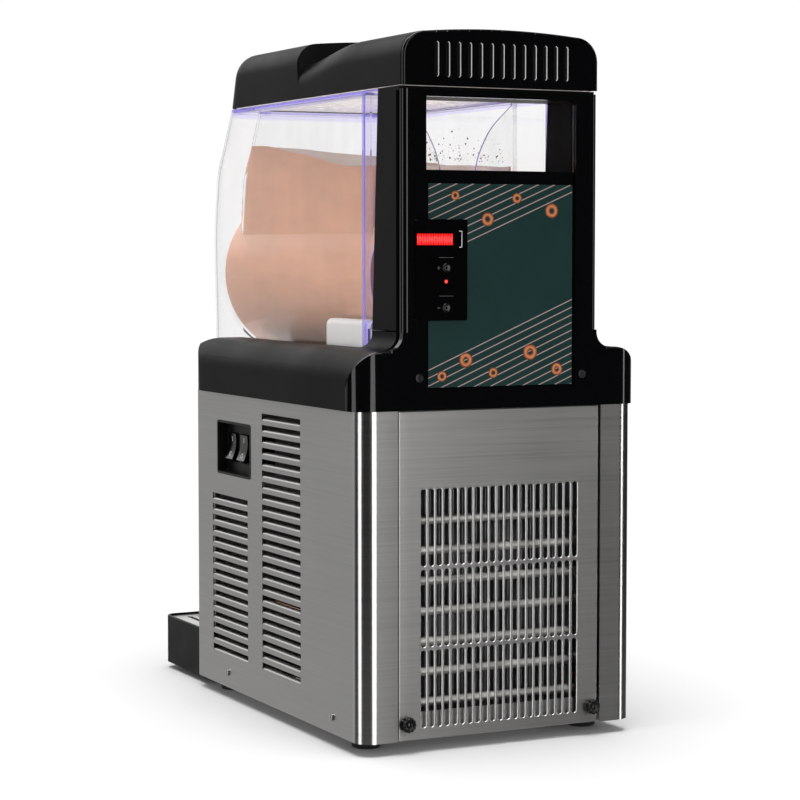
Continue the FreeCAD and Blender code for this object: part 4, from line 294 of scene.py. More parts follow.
def rounded_ring(half_a: float, half_b: float, radius: float) -> Array:
    """A rectangle with round corners about the origin.

    Args:
        half_a: Half its size along the first direction.
        half_b: The same along the second.
        radius: Radius of the corners.

    Returns:
        Five points on each corner's quarter circle, in order round the rectangle.
    """
    reach = min(radius, half_a, half_b)
    angle = quarter_turn(5)[None, :] + np.arange(4)[:, None] * math.pi / 2.0
    sign_a = np.array([1, -1, -1, 1])[:, None]
    sign_b = np.array([1, 1, -1, -1])[:, None]
    a = sign_a * (half_a - reach) + reach * np.cos(angle)
    b = sign_b * (half_b - reach) + reach * np.sin(angle)
    return np.stack([a.ravel(), b.ravel()], axis=1)


def soft_block(x: Span, y: Span, z: Span, corner: float = 1.0, edge: float = 0.5,
               axis: int = 2) -> Surface:
    """A block with round corners along one axis and a round edge at both ends.

    Args:
        x: Lowest and highest x.
        y: The same along y.
        z: The same along z.
        corner: Radius of the four long corners.
        edge: Radius of the two end rims.
        axis: The direction the long corners run in.

    Returns:
        Rings of a rounded rectangle, drawn in by edge (1 - sin t) at the height
        edge (1 - cos t) near both ends.
    """
    least_corner = 0.05
    spans = np.array([x, y, z], float)
    first, second = (axis + 1) % 3, (axis + 2) % 3
    half, middle = (spans[:, 1] - spans[:, 0]) / 2.0, spans.mean(1)
    turn = quarter_turn(4)
    inset = edge * (1 - np.sin(turn))
    rise = edge * (1 - np.cos(turn))
    height = chain(spans[axis, 0] + rise, spans[axis, 1] - rise[::-1])
    rings = []
    for drawn, level in zip(chain(inset, inset[::-1]), height):
        outline = rounded_ring(half[first] - drawn, half[second] - drawn, max(corner - drawn, least_corner))
        ring = np.full((len(outline), 3), level)
        ring[:, first] = outline[:, 0] + middle[first]
        ring[:, second] = outline[:, 1] + middle[second]
        rings.append(ring)
    return lattice(closed_ends(np.array(rings)), wrap_cols=True)


# Materials

NOISE_MIDDLE: Span = (0.3, 0.7)
UNIT: Span = (0.0, 1.0)


@dataclass
class Nodes:
    """A node tree and short ways to add nodes to it."""

    tree: bpy.types.NodeTree

    def add(self, kind: str, inputs: dict | None = None, **settings: object) -> bpy.types.Node:
        """Add a node.

        Args:
            kind: The node's type.
            inputs: Values or links for its inputs, by name or number.
            **settings: Its other settings.

        Returns:
            The node.
        """
        node = self.tree.nodes.new(kind)
        for key, value in settings.items():
            setattr(node, key, value)
        for key, value in (inputs or {}).items():
            self.feed(node.inputs[key], value)
        return node

    def feed(self, target: Socket, value: object) -> None:
        """Link another node's output to an input, or set the input to a plain value.

        Args:
            target: The input.
            value: The output or the value.
        """
        if isinstance(value, bpy.types.NodeSocket):
            self.tree.links.new(value, target)
        else:
            target.default_value = value

    def maths(self, operation: str, a: object, b: object = 0.0) -> Socket:
        """One arithmetic step."""
        return self.add("ShaderNodeMath", {0: a, 1: b}, operation=operation).outputs[0]


class Recipe(Nodes):
    """A new node material with one Principled shader."""

    def __init__(self, name: str) -> None:
        """Start the material.

        Args:
            name: Its name.
        """
        self.material = bpy.data.materials.new(name)
        self.material.use_nodes = True
        super().__init__(self.material.node_tree)
        self.shader = self.tree.nodes["Principled BSDF"]
        self.normal: Socket | None = None

    def place(self, scale: Sequence[float] = (1.0, 1.0, 1.0)) -> Socket:
        """Object coordinates, stretched by a scale along each axis."""
        where = self.add("ShaderNodeTexCoord").outputs["Object"]
        return self.add("ShaderNodeMapping", {"Vector": where, "Scale": scale}).outputs[0]

    def noise(self, scale: float, detail: float = 3.0, stretch: Sequence[float] = (1.0, 1.0, 1.0),
              rough: float = 0.55) -> Socket:
        """Fractal noise, `scale` features a metre before the stretch."""
        inputs = {"Vector": self.place(stretch), "Scale": scale, "Detail": detail, "Roughness": rough}
        return self.add("ShaderNodeTexNoise", inputs).outputs["Fac"]

    def spread(self, value: Socket, source: Span, target: Span) -> Socket:
        """Carry a value from one range to another, held at its ends."""
        inputs = dict(enumerate((value, *source, *target)))
        return self.add("ShaderNodeMapRange", inputs).outputs[0]

    def blend(self, a: Socket, b: Socket, share: float) -> Socket:
        """a (1 - share) + b share."""
        return self.maths("ADD", self.maths("MULTIPLY", a, 1.0 - share), self.maths("MULTIPLY", b, share))

    def tint(self, value: Socket, stops: Sequence[tuple[float, Sequence[float]]]) -> Socket:
        """A colour ramp.

        Args:
            value: What picks the colour.
            stops: The value and colour of each stop.

        Returns:
            The colour.
        """
        ramp = self.add("ShaderNodeValToRGB", {0: value})
        while len(ramp.color_ramp.elements) < len(stops):
            ramp.color_ramp.elements.new(0.5)
        for element, (at, colour) in zip(ramp.color_ramp.elements, stops):
            element.position = at
            element.color = (*colour, 1.0)
        return ramp.outputs[0]

    def bump(self, height: Socket, distance: float) -> None:
        """Raise the surface, on top of earlier bumps.

        Args:
            height: Share of the distance, from 0 to 1.
            distance: The most it is raised, in millimetres.
        """
        inputs = {"Height": height, "Distance": distance / MM_PER_METRE, "Strength": 1.0}
        if self.normal is not None:
            inputs["Normal"] = self.normal
        self.normal = self.add("ShaderNodeBump", inputs).outputs[0]
        self.shade(Normal=self.normal)

    def pass_light(self, colour: Sequence[float]) -> None:
        """Let lamps shine straight through, as they would through a thin clear wall.

        Args:
            colour: The tint of the light that passes.
        """
        straight = self.add("ShaderNodeBsdfTransparent", {"Color": (*colour, 1.0)}).outputs[0]
        shadow = self.add("ShaderNodeLightPath").outputs["Is Shadow Ray"]
        mix = self.add("ShaderNodeMixShader", {0: shadow, 1: self.shader.outputs[0], 2: straight})
        self.feed(self.tree.nodes["Material Output"].inputs["Surface"], mix.outputs[0])

    def shade(self, **values: object) -> None:
        """Set or link the shader's inputs, named with underscores for spaces."""
        for key, value in values.items():
            self.feed(self.shader.inputs[key.replace("_", " ")], value)


def shades(colour: Sequence[float], spread: float) -> list[tuple[float, tuple[float, ...]]]:
    """Two stops round a colour, darker and lighter by a share."""
    low, high = (tuple(min(1.0, c * part) for c in colour) for part in (1 - spread, 1 + spread))
    return [(NOISE_MIDDLE[0], low), (NOISE_MIDDLE[1], high)]


@dataclass(frozen=True)
class Finish:
    """What a surface is made of."""

    name: str

    def material(self) -> bpy.types.Material:
        """The finish's material, made on first use."""
        if self.name not in bpy.data.materials:
            self.mix()
        return bpy.data.materials[self.name]

    def mix(self) -> None:
        """Make the material under the finish's name."""
        raise NotImplementedError


class Lay(Enum):
    """Which way the brush marks run, as the stretch of their pattern."""

    LEVEL = (5.0, 5.0, 900.0)
    CROSSWISE = (5.0, 900.0, 900.0)


@dataclass(frozen=True)
class BrushedSheet(Finish):
    """Stainless sheet with straight brush marks, faint smears and small shifts in tone."""

    tone: float = 0.6
    lay: Lay = Lay.LEVEL
    roughness: Span = (0.28, 0.42)
    depth: float = 0.012
    spread: float = 0.6
    contrast: float = 0.12
    hue: Triple = (1.0, 0.99, 0.965)
    smeared: float = 0.25

    def mix(self) -> None:
        """Marks stretched along the lay, blended with a broad smear, set tone and roughness."""
        recipe = Recipe(self.name)
        marks = recipe.noise(1.0, 4.0, self.lay.value, 0.7)
        level = recipe.blend(marks, recipe.noise(9.0, 2.0), self.smeared)
        tone = tuple(self.tone * part for part in self.hue)
        around = recipe.add("ShaderNodeTangent", direction_type="RADIAL", axis="Z").outputs[0]
        recipe.shade(Base_Color=recipe.tint(level, shades(tone, self.contrast)), Metallic=1.0,
                     Anisotropic=self.spread, Anisotropic_Rotation=0.25, Tangent=around,
                     Roughness=recipe.spread(level, NOISE_MIDDLE, self.roughness))
        recipe.bump(marks, self.depth)


@dataclass(frozen=True)
class MouldedPlastic(Finish):
    """Injection-moulded plastic or paint with a fine grain, handling marks and dust."""

    colour: Triple = (0.03, 0.03, 0.03)
    roughness: Span = (0.42, 0.55)
    grain: float = 1600.0
    depth: float = 0.03
    coat: float = 0.0
    variety: float = 0.12
    shine: float = 0.5
    cloud: Span = (14.0, 4.0)
    metallic: float = 0.0

    def mix(self) -> None:
        """A slow cloud sets tone and roughness, over a fine grain."""
        recipe = Recipe(self.name)
        cloud = recipe.noise(*self.cloud)
        recipe.shade(Base_Color=recipe.tint(cloud, shades(self.colour, self.variety)),
                     Metallic=self.metallic, Coat_Weight=self.coat, Coat_Roughness=0.08,
                     Specular_IOR_Level=self.shine,
                     Roughness=recipe.spread(cloud, NOISE_MIDDLE, self.roughness))
        recipe.bump(recipe.noise(self.grain, 2.0), self.depth)


@dataclass(frozen=True)
class BareMetal(MouldedPlastic):
    """Cast, drawn or plated metal, duller and darker in patches."""

    colour: Triple = (0.6, 0.6, 0.6)
    roughness: Span = (0.22, 0.4)
    grain: float = 500.0
    depth: float = 0.02
    variety: float = 0.2
    cloud: Span = (40.0, 5.0)
    metallic: float = 1.0


@dataclass(frozen=True)
class GlossPlastic(Finish):
    """Polished plastic with a slow ripple, faint wiping marks and specks of dust."""

    colour: Triple = (0.0015, 0.0017, 0.002)
    roughness: Span = (0.05, 0.1)
    dusty: Span = (0.74, 0.80)
    wiped: Span = (0.35, 0.75)

    def mix(self) -> None:
        """The peaks of a fine noise are dust, and marks stretched upwards set the roughness."""
        recipe = Recipe(self.name)
        marks = recipe.noise(26.0, 5.0, (1.0, 1.0, 0.35))
        dust = recipe.spread(recipe.noise(900.0, 1.0), self.dusty, UNIT)
        dusted = tuple(min(1.0, c * 1.5 + 0.006) for c in self.colour)
        recipe.shade(Base_Color=recipe.tint(dust, [(0.0, self.colour), (1.0, dusted)]), IOR=1.42,
                     Roughness=recipe.spread(marks, self.wiped, self.roughness))
        recipe.bump(recipe.noise(22.0, 1.0), 0.02)


@dataclass(frozen=True)
class ClearPlastic(Finish):
    """Clear polycarbonate with a slow ripple from moulding and fine wiping marks."""

    colour: Triple = (0.97, 0.97, 1.0)
    glow: float = 0.0
    through: float = 1.0
    bend: float = 1.22
    wiped: Span = (0.5, 0.8)
    roughness: Span = (0.0, 0.06)

    def mix(self) -> None:
        """Light passes through, and marks stretched upwards set the roughness."""
        recipe = Recipe(self.name)
        marks = recipe.noise(60.0, 6.0, (1.0, 1.0, 0.2))
        recipe.shade(Base_Color=recipe.tint(marks, shades(self.colour, 0.02)), IOR=self.bend,
                     Transmission_Weight=self.through,
                     Roughness=recipe.spread(marks, self.wiped, self.roughness))
        # Emission on the tinted and edge copies is a painted glow, not a lamp.
        if self.glow:
            recipe.shade(Emission_Color=(*self.colour, 1.0), Emission_Strength=self.glow)
        recipe.bump(recipe.noise(11.0, 1.0), 0.05)
        recipe.pass_light(tuple(0.3 + 0.66 * c for c in self.colour))


@dataclass(frozen=True)
class FrozenDrink(Finish):
    """Thick iced drink: smooth, moist, with soft folds, ice grains and tiny bubbles."""

    colour: Triple = (0.745, 0.37, 0.222)
    roughness: Span = (0.38, 0.6)

    def mix(self) -> None:
        """Folds set the tone, grains the roughness, and both and the bubbles the height."""
        recipe = Recipe(self.name)
        folds = recipe.noise(16.0, 5.0, (1.0, 0.6, 2.2), 0.6)
        grains = recipe.noise(700.0, 3.0)
        cells = recipe.add("ShaderNodeTexVoronoi", {"Vector": recipe.place(), "Scale": 420.0})
        recipe.shade(Base_Color=recipe.tint(folds, shades(self.colour, 0.10)), Subsurface_Weight=0.35,
                     Subsurface_Radius=(0.9, 0.45, 0.25), Subsurface_Scale=0.006,
                     Roughness=recipe.spread(grains, NOISE_MIDDLE, self.roughness))
        recipe.bump(folds, 1.2)
        recipe.bump(grains, 0.12)
        recipe.bump(recipe.spread(cells.outputs["Distance"], (0.0, 0.25), UNIT), 0.1)


@dataclass(frozen=True)
class PictureFilm(Finish):
    """Printed film: dark green ground, thin pale slanting bands and brown rings, no lettering."""

    ground: Triple = (0.0085, 0.030, 0.0275)
    band: Triple = (0.42, 0.30, 0.30)
    ring: Triple = (0.33, 0.115, 0.05)
    ring_tones: tuple[Span, ...] = ((0.0, 0.14), (0.35, 0.6), (0.85, 1.7))
    ring_width: float = 0.38
    slope: float = 0.42
    band_pitch: float = 7.0
    band_edge: Span = (0.045, 0.075)
    bands_below: Span = (378.0, 378.5)
    bands_above: Span = (470.0, 470.5)
    circles: tuple[Triple, ...] = (
        (-52.0, 486.0, 7.0), (-16.0, 497.0, 5.0), (14.0, 478.0, 6.5), (47.0, 499.0, 4.5),
        (-58.0, 342.0, 6.0), (-30.0, 358.0, 7.5), (8.0, 340.0, 5.0), (36.0, 352.0, 7.0), (60.0, 338.0, 5.0))

    def ring_at(self, recipe: Recipe, x: Socket, z: Socket, circle: Triple) -> Socket:
        """One brown ring.

        Args:
            recipe: The new material.
            x: Millimetres along X.
            z: Millimetres along Z.
            circle: The ring's middle in x and z and its outer radius.

        Returns:
            1 on the ring's line, falling to 0 at its outer radius and as far inside.
        """
        centre_x, centre_z, radius = circle
        a = recipe.maths("POWER", recipe.maths("SUBTRACT", x, centre_x), 2.0)
        b = recipe.maths("POWER", recipe.maths("SUBTRACT", z, centre_z), 2.0)
        away = recipe.maths("SQRT", recipe.maths("ADD", a, b))
        off = recipe.maths("SUBTRACT", away, radius * (1.0 - self.ring_width))
        edge = recipe.maths("DIVIDE", recipe.maths("ABSOLUTE", off), radius * self.ring_width)
        return recipe.maths("MAXIMUM", recipe.maths("SUBTRACT", 1.0, edge), 0.0)

    def bands(self, recipe: Recipe, x: Socket, z: Socket) -> Socket:
        """The slanting bands.

        Args:
            recipe: The new material.
            x: Millimetres along X.
            z: Millimetres along Z.

        Returns:
            1 on a band and 0 between bands and over the middle of the panel.
        """
        slant = recipe.maths("ADD", recipe.maths("MULTIPLY", x, self.slope), z)
        step = recipe.maths("FRACT", recipe.maths("DIVIDE", slant, self.band_pitch))
        row = recipe.maths("ABSOLUTE", recipe.maths("SUBTRACT", step, 0.5))
        thin = recipe.spread(row, self.band_edge, (1.0, 0.0))
        low = recipe.spread(slant, self.bands_below, (1.0, 0.0))
        high = recipe.spread(slant, self.bands_above, UNIT)
        return recipe.maths("MULTIPLY", thin, recipe.maths("MAXIMUM", low, high))

    def mix(self) -> None:
        """The bands and then the rings are laid over the ground."""
        recipe = Recipe(self.name)
        where = recipe.add("ShaderNodeSeparateXYZ", {0: recipe.place((MM_PER_METRE,) * 3)})
        x, z = where.outputs[0], where.outputs[2]
        rings = self.ring_at(recipe, x, z, self.circles[0])
        for circle in self.circles[1:]:
            rings = recipe.maths("MAXIMUM", rings, self.ring_at(recipe, x, z, circle))
        shade = recipe.noise(180.0, 4.0)
        uneven = recipe.maths("MULTIPLY", recipe.maths("SUBTRACT", shade, 0.5), 0.7)
        tones = [(at, tuple(part * c for c in self.ring)) for at, part in self.ring_tones]
        brown = recipe.tint(recipe.maths("ADD", rings, uneven), tones)
        covered = recipe.spread(rings, (0.02, 0.08), UNIT)
        ground = recipe.tint(recipe.noise(20.0, 3.0), shades(self.ground, 0.08))
        stripes = {0: self.bands(recipe, x, z), 6: ground, 7: (*self.band, 1.0)}
        striped = recipe.add("ShaderNodeMix", stripes, data_type="RGBA").outputs[2]
        printed = recipe.add("ShaderNodeMix", {0: covered, 6: striped, 7: brown}, data_type="RGBA")
        recipe.shade(Base_Color=printed.outputs[2], Roughness=recipe.spread(shade, NOISE_MIDDLE, (0.3, 0.4)),
                     Specular_IOR_Level=0.1)
        recipe.bump(recipe.noise(60.0, 2.0), 0.01)


@dataclass(frozen=True)
class GlowingLens(Finish):
    """Coloured lens lit from behind, brighter in the middle of each rib, or a wall with a painted glow
    behind one plane.
    """

    colour: Triple = (0.9, 0.02, 0.015)
    strength: float = 1.0
    ribs: float = 0.0
    lit_from: float | None = None
    blur: float = 0.0008
    lit: Span = (0.0, 0.9)

    def mix(self) -> None:
        """The colour glows, from a dark share of itself up to all of it."""
        recipe = Recipe(self.name)
        level, darkest = recipe.noise(160.0, 2.0), 0.25
        if self.ribs:
            across = recipe.add("ShaderNodeSeparateXYZ", {0: recipe.place((self.ribs,) * 3)}).outputs[0]
            wave = recipe.maths("SINE", recipe.maths("MULTIPLY", across, 2.0 * math.pi))
            level, darkest = recipe.spread(wave, (-0.95, -0.2), self.lit), 0.04
        if self.lit_from is not None:
            along = recipe.add("ShaderNodeSeparateXYZ", {0: recipe.place()}).outputs[1]
            level, darkest = recipe.spread(along, (self.lit_from, self.lit_from + self.blur), self.lit), 0.04
        glow = recipe.tint(level, [(0.0, tuple(c * darkest for c in self.colour)), (0.8, self.colour)])
        recipe.shade(Base_Color=glow, Emission_Color=glow, Emission_Strength=self.strength,
                     Roughness=recipe.spread(recipe.noise(90.0), NOISE_MIDDLE, (0.12, 0.3)))


@dataclass(frozen=True)
class CircuitBoard(Finish):
    """Green lacquered board with lighter tracks and tinned pads."""

    tones: tuple[tuple[float, Triple], ...] = (
        (0.08, (0.35, 0.34, 0.3)), (0.12, (0.02, 0.11, 0.04)), (0.5, (0.015, 0.09, 0.03)),
        (0.55, (0.03, 0.16, 0.06)))

    def mix(self) -> None:
        """Square cells: pads in their middles, lacquer round them and tracks at their borders."""
        recipe = Recipe(self.name)
        cells = recipe.add("ShaderNodeTexVoronoi", {"Vector": recipe.place(), "Scale": 260.0},
                           distance="CHEBYCHEV")
        recipe.shade(Base_Color=recipe.tint(cells.outputs["Distance"], self.tones),
                     Roughness=recipe.spread(recipe.noise(50.0), NOISE_MIDDLE, (0.25, 0.4)))


STEEL_SIDE = BrushedSheet("brushed side sheet", 0.41, roughness=(0.30, 0.38), spread=0.45)
# Same sheet as the side, given a brighter tone on the rear round: painted highlight on the bend.
STEEL_CORNER_PAINTED_BRIGHT = BrushedSheet("folded corner painted bright", 0.50, roughness=(0.16, 0.22), depth=0.003, spread=0.0)
# Same sheet as the side, given a slightly darker tone on the rear strip: painted shade.
STEEL_STRIP_PAINTED_DARK = BrushedSheet("folded rear strip painted dark", 0.38, roughness=(0.36, 0.44), spread=0.7)
STEEL_BACK = BrushedSheet("brushed back sheet", 0.41, roughness=(0.38, 0.46))
# Bright, smooth metal on the bevels round the back's slots: painted highlight on the edges.
CUT_EDGE_PAINTED_HIGHLIGHT = BareMetal("cut edge painted bright", (0.85, 0.85, 0.85), (0.14, 0.2), 800.0, 0.002)
STEEL_FRONT = BrushedSheet("brushed front sheet", 0.45)
STEEL_PAN = BrushedSheet("galvanised pan", 0.45, Lay.CROSSWISE, (0.35, 0.5))
STEEL_GRID = BrushedSheet("cup grid steel", 0.62, Lay.CROSSWISE)
STEEL_SHAFT = BareMetal("turned steel", (0.62, 0.62, 0.63), (0.12, 0.22), 900.0, 0.004)
ZINC = BareMetal("zinc plated steel", (0.52, 0.53, 0.55), (0.25, 0.45))
SCREW = BareMetal("steel screw", (0.5, 0.5, 0.5), (0.2, 0.35), 800.0, 0.01)
DARK_SCREW = BareMetal("blackened screw", (0.05, 0.05, 0.052), (0.25, 0.4), 800.0, 0.01)
COPPER = BareMetal("drawn copper", (0.72, 0.33, 0.19), (0.2, 0.42))
COIL_METAL = BareMetal("dull coil metal", (0.62, 0.61, 0.58), (0.28, 0.5))
FIN_METAL = BareMetal("fin aluminium", (0.42, 0.42, 0.42), (0.35, 0.55), 300.0, 0.03)
CAST_METAL = BareMetal("cast aluminium", (0.42, 0.42, 0.43), (0.4, 0.6), 700.0, 0.15)
CHARCOAL = MouldedPlastic("charcoal moulding", (0.0052, 0.0050, 0.0047), (0.36, 0.46), 1500.0, shine=0.045)
LID_CHARCOAL = MouldedPlastic("charcoal lid", (0.0054, 0.0052, 0.0050), (0.36, 0.46), 1500.0, shine=0.06)
TRAY_BLACK = MouldedPlastic("black tray", (0.006, 0.006, 0.0064), (0.35, 0.5), 1800.0, 0.02, shine=0.08)
BLACK = MouldedPlastic("black moulding", (0.006, 0.006, 0.0065), (0.35, 0.5), 1800.0, 0.02, shine=0.2)
ROCKER_BLACK = MouldedPlastic("rocker black", (0.002, 0.002, 0.0022), (0.12, 0.20), 2200.0, 0.006, 0.1,
                              shine=0.3)
RUBBER = MouldedPlastic("black rubber", (0.014, 0.014, 0.014), (0.65, 0.85), 900.0, 0.05)
WHITE_PLASTIC = MouldedPlastic("white moulding", (0.76, 0.76, 0.74), (0.35, 0.5), 1200.0, 0.02, 0.0, 0.04)
FOAM = MouldedPlastic("white insulation", (0.80, 0.79, 0.77), (0.5, 0.65), 600.0, 0.06, 0.0, 0.04)
BUSH = MouldedPlastic("bearing plastic", (0.72, 0.68, 0.56), (0.4, 0.55))
MARK = MouldedPlastic("pale marking", (0.70, 0.70, 0.70), (0.4, 0.55), 2000.0, 0.004, 0.0, 0.05)
GREY_MARK = MouldedPlastic("grey marking", (0.06, 0.06, 0.063), (0.4, 0.55), 2000.0, 0.004, 0.0, 0.05)
RED_SEAL = MouldedPlastic("red silicone", (0.42, 0.02, 0.025), (0.4, 0.55), 1000.0, 0.02)
DARK_ENAMEL = MouldedPlastic("black enamelled steel", (0.010, 0.010, 0.011), (0.25, 0.4), 260.0, 0.10, 0.3)
FAN_BLACK = MouldedPlastic("fan plastic", (0.03, 0.03, 0.032), (0.4, 0.55))
GLOSS = GlossPlastic("gloss black moulding")
GLOSS_PANEL = GlossPlastic("gloss control plate", (0.0012, 0.0012, 0.0016), (0.04, 0.09))
CLEAR = ClearPlastic("clear bowl", (0.995, 0.993, 0.997), bend=1.30)
CLEAR_TANK = ClearPlastic("clear tank", (0.99, 0.985, 0.99), bend=1.08)
# The plastic's own violet tint, with a faint painted glow.
CLEAR_TINT_PAINTED_GLOW = ClearPlastic("violet tinge of clear plastic, faint painted glow", (0.80, 0.77, 0.97), 0.02)
# Violet edge with a painted glow on the rims of the clear walls.
CLEAR_EDGE_PAINTED_GLOW = ClearPlastic("violet edge of clear plastic, painted glow", (0.44, 0.38, 0.88), 0.10, 0.7)
DRINK = FrozenDrink("iced drink")
# A paler copy of the drink for its open top: painted light on the top surface.
DRINK_TOP_PAINTED_PALE = FrozenDrink("drink top painted pale", (0.86, 0.70, 0.64))
DRIED = MouldedPlastic("dried splashes", (0.30, 0.17, 0.11), (0.5, 0.7), 600.0, 0.05)
FILM = PictureFilm("picture film")
RED_BAR = GlowingLens("red bar lens", (0.90, 0.012, 0.012), 0.75, MM_PER_METRE / 2.42)
RED_LAMP = GlowingLens("red lamp", (1.0, 0.05, 0.03), 2.0)
LIGHT_STRIP = GlowingLens("light strip", (1.0, 0.93, 0.8), 1.6)
# Emissive grey on the lid end's slot walls: painted glow standing in for light from inside the lid.
SLOT_WALL_PAINTED_GLOW = GlowingLens("slot wall painted glow", (0.75, 0.75, 0.73), 0.7, lit_from=0.2546)
DIFFUSER = GlowingLens("cream diffuser", (0.80, 0.74, 0.68), 0.45)
BOARD = CircuitBoard("circuit board")


# Pieces

@dataclass(frozen=True)
class Dress:
    """What a piece is finished in, what it stands for and which body it belongs to."""

    slot: str
    finishes: tuple[Finish, ...]
    stands_for: tuple[str, ...] = ()
    body: str = "machine"


@dataclass(frozen=True)
class Shaping:
    """What is done to a surface once it is a mesh, in millimetres and degrees."""

    wall: float = 0.0
    soften: float = 0.0
    crease: float = 40.0
    rim_step: int = 0
    open_skin: bool = False
    rounds: int = 2
    edge_finish: int = -1
    bevel_margin: float = 8.0


def into_frame(points: Array) -> Array:
    """Points in millimetres from the cabinet's back, carried into the frame."""
    return (points + np.array([0.0, BACK_TO_MIDDLE, 0.0])) / MM_PER_METRE


def out_of_frame(points: Array) -> Array:
    """The frame's points, in millimetres from the cabinet's back."""
    return points * MM_PER_METRE - np.array([0.0, BACK_TO_MIDDLE, 0.0])


def shaped(piece: bpy.types.Object, shaping: Shaping) -> None:
    """Give a piece its wall thickness and round its edges.

    Args:
        piece: The piece. Its mesh is replaced.
        shaping: What is done to it.
    """
    if shaping.wall:
        solid = piece.modifiers.new("wall", "SOLIDIFY")
        solid.thickness, solid.offset = shaping.wall / MM_PER_METRE, -1.0
        solid.use_even_offset = True
        solid.material_offset_rim = shaping.rim_step
    if shaping.soften:
        bevel = piece.modifiers.new("soft edges", "BEVEL")
        bevel.width, bevel.segments = shaping.soften / MM_PER_METRE, shaping.rounds
        bevel.limit_method = "ANGLE"
        bevel.angle_limit = math.radians(shaping.crease - shaping.bevel_margin)
        bevel.use_clamp_overlap = True
        bevel.material = shaping.edge_finish
    if piece.modifiers:
        seen = piece.evaluated_get(bpy.context.evaluated_depsgraph_get())
        piece.data = bpy.data.meshes.new_from_object(seen)
        piece.modifiers.clear()


def dressed(name: str, mesh: bpy.types.Mesh, dress: Dress, shaping: Shaping) -> bpy.types.Object:
    """Give a mesh its walls, soft edges, finishes and place on its body.

    Args:
        name: The piece's name.
        mesh: The mesh, in the frame.
        dress: Its finishes and place.
        shaping: What is done to the mesh.

    Returns:
        The finished piece.
    """
    for finish in dress.finishes:
        mesh.materials.append(finish.material())
    piece = bpy.data.objects.new(name, mesh)
    bpy.context.scene.collection.objects.link(piece)
    shaped(piece, shaping)
    shape = piece.data
    shape.name = name
    shape.polygons.foreach_set("use_smooth", np.ones(len(shape.polygons), bool))
    shape.set_sharp_from_angle(angle=math.radians(shaping.crease))
    if shaping.soften:
        weighted = piece.modifiers.new("flat faces", "WEIGHTED_NORMAL")
        weighted.keep_sharp = True
    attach(piece, dress.body)
    if dress.stands_for:
        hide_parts(*dress.stands_for)
    LOG.info("%s: %d faces", name, len(shape.polygons))
    return piece


def make_piece(name: str, surface: Surface, dress: Dress, shaping: Shaping = Shaping()) -> bpy.types.Object:
    """Make a piece from a surface.

    Args:
        name: The piece's name.
        surface: The surface, in millimetres from the cabinet's back.
        dress: Its finishes and place.
        shaping: What is done to the mesh.

    Returns:
        The piece, with points that meet joined and, unless it is an open skin, its faces outwards.
    """
    meeting = 5e-7
    mesh = bpy.data.meshes.new(name)
    mesh.from_pydata(into_frame(surface.points).tolist(), [], surface.faces.tolist())
    mesh.polygons.foreach_set("material_index", surface.tags.astype(np.int32))
    work = bmesh.new()
    work.from_mesh(mesh)
    bmesh.ops.remove_doubles(work, verts=work.verts, dist=meeting)
    if not shaping.open_skin:
        bmesh.ops.recalc_face_normals(work, faces=work.faces)
    work.to_mesh(mesh)
    work.free()
    return dressed(name, mesh, dress, shaping)


def refined(name: str, node: str, slot: str, finishes: tuple[Finish, ...], soften: float = 0.5,
            rounds: int = 2, body: str = "machine",
            edge_rule: Callable[[Array, Array], Array] | None = None) -> bpy.types.Object:
    """Make a piece from a copy of a CAD node, its triangles merged into faces with soft edges.

    Args:
        name: The piece's name.
        node: The node it stands for.
        slot: The slot of its finish.
        finishes: Its finishes.
        soften: Width of the rounded edges.
        rounds: Pieces across each rounded edge.
        body: The body it belongs to.
        edge_rule: Takes face centres in millimetres from the cabinet's back and normals, and
            says which faces get the second finish.

    Returns:
        The piece. The node itself is left as it is and hidden.
    """
    meeting, flat_within = 1e-5, math.radians(0.5)
    mesh = bpy.data.meshes.new(name)
    work = bmesh.new()
    work.from_mesh(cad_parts[node].data)
    bmesh.ops.remove_doubles(work, verts=work.verts, dist=meeting)
    bmesh.ops.dissolve_limit(work, angle_limit=flat_within, verts=work.verts, edges=work.edges)
    bmesh.ops.triangulate(work, faces=work.faces)
    for face in work.faces:
        face.material_index = 0
    work.to_mesh(mesh)
    work.free()
    if edge_rule is not None:
        centres, normals = np.zeros(len(mesh.polygons) * 3), np.zeros(len(mesh.polygons) * 3)
        mesh.polygons.foreach_get("center", centres)
        mesh.polygons.foreach_get("normal", normals)
        chosen = edge_rule(out_of_frame(centres.reshape(-1, 3)), normals.reshape(-1, 3))
        mesh.polygons.foreach_set("material_index", chosen.astype(np.int32))
    return dressed(name, mesh, Dress(slot, finishes, (node,), body),
                   Shaping(soften=soften, crease=35.0, rounds=rounds))


# Cabinet

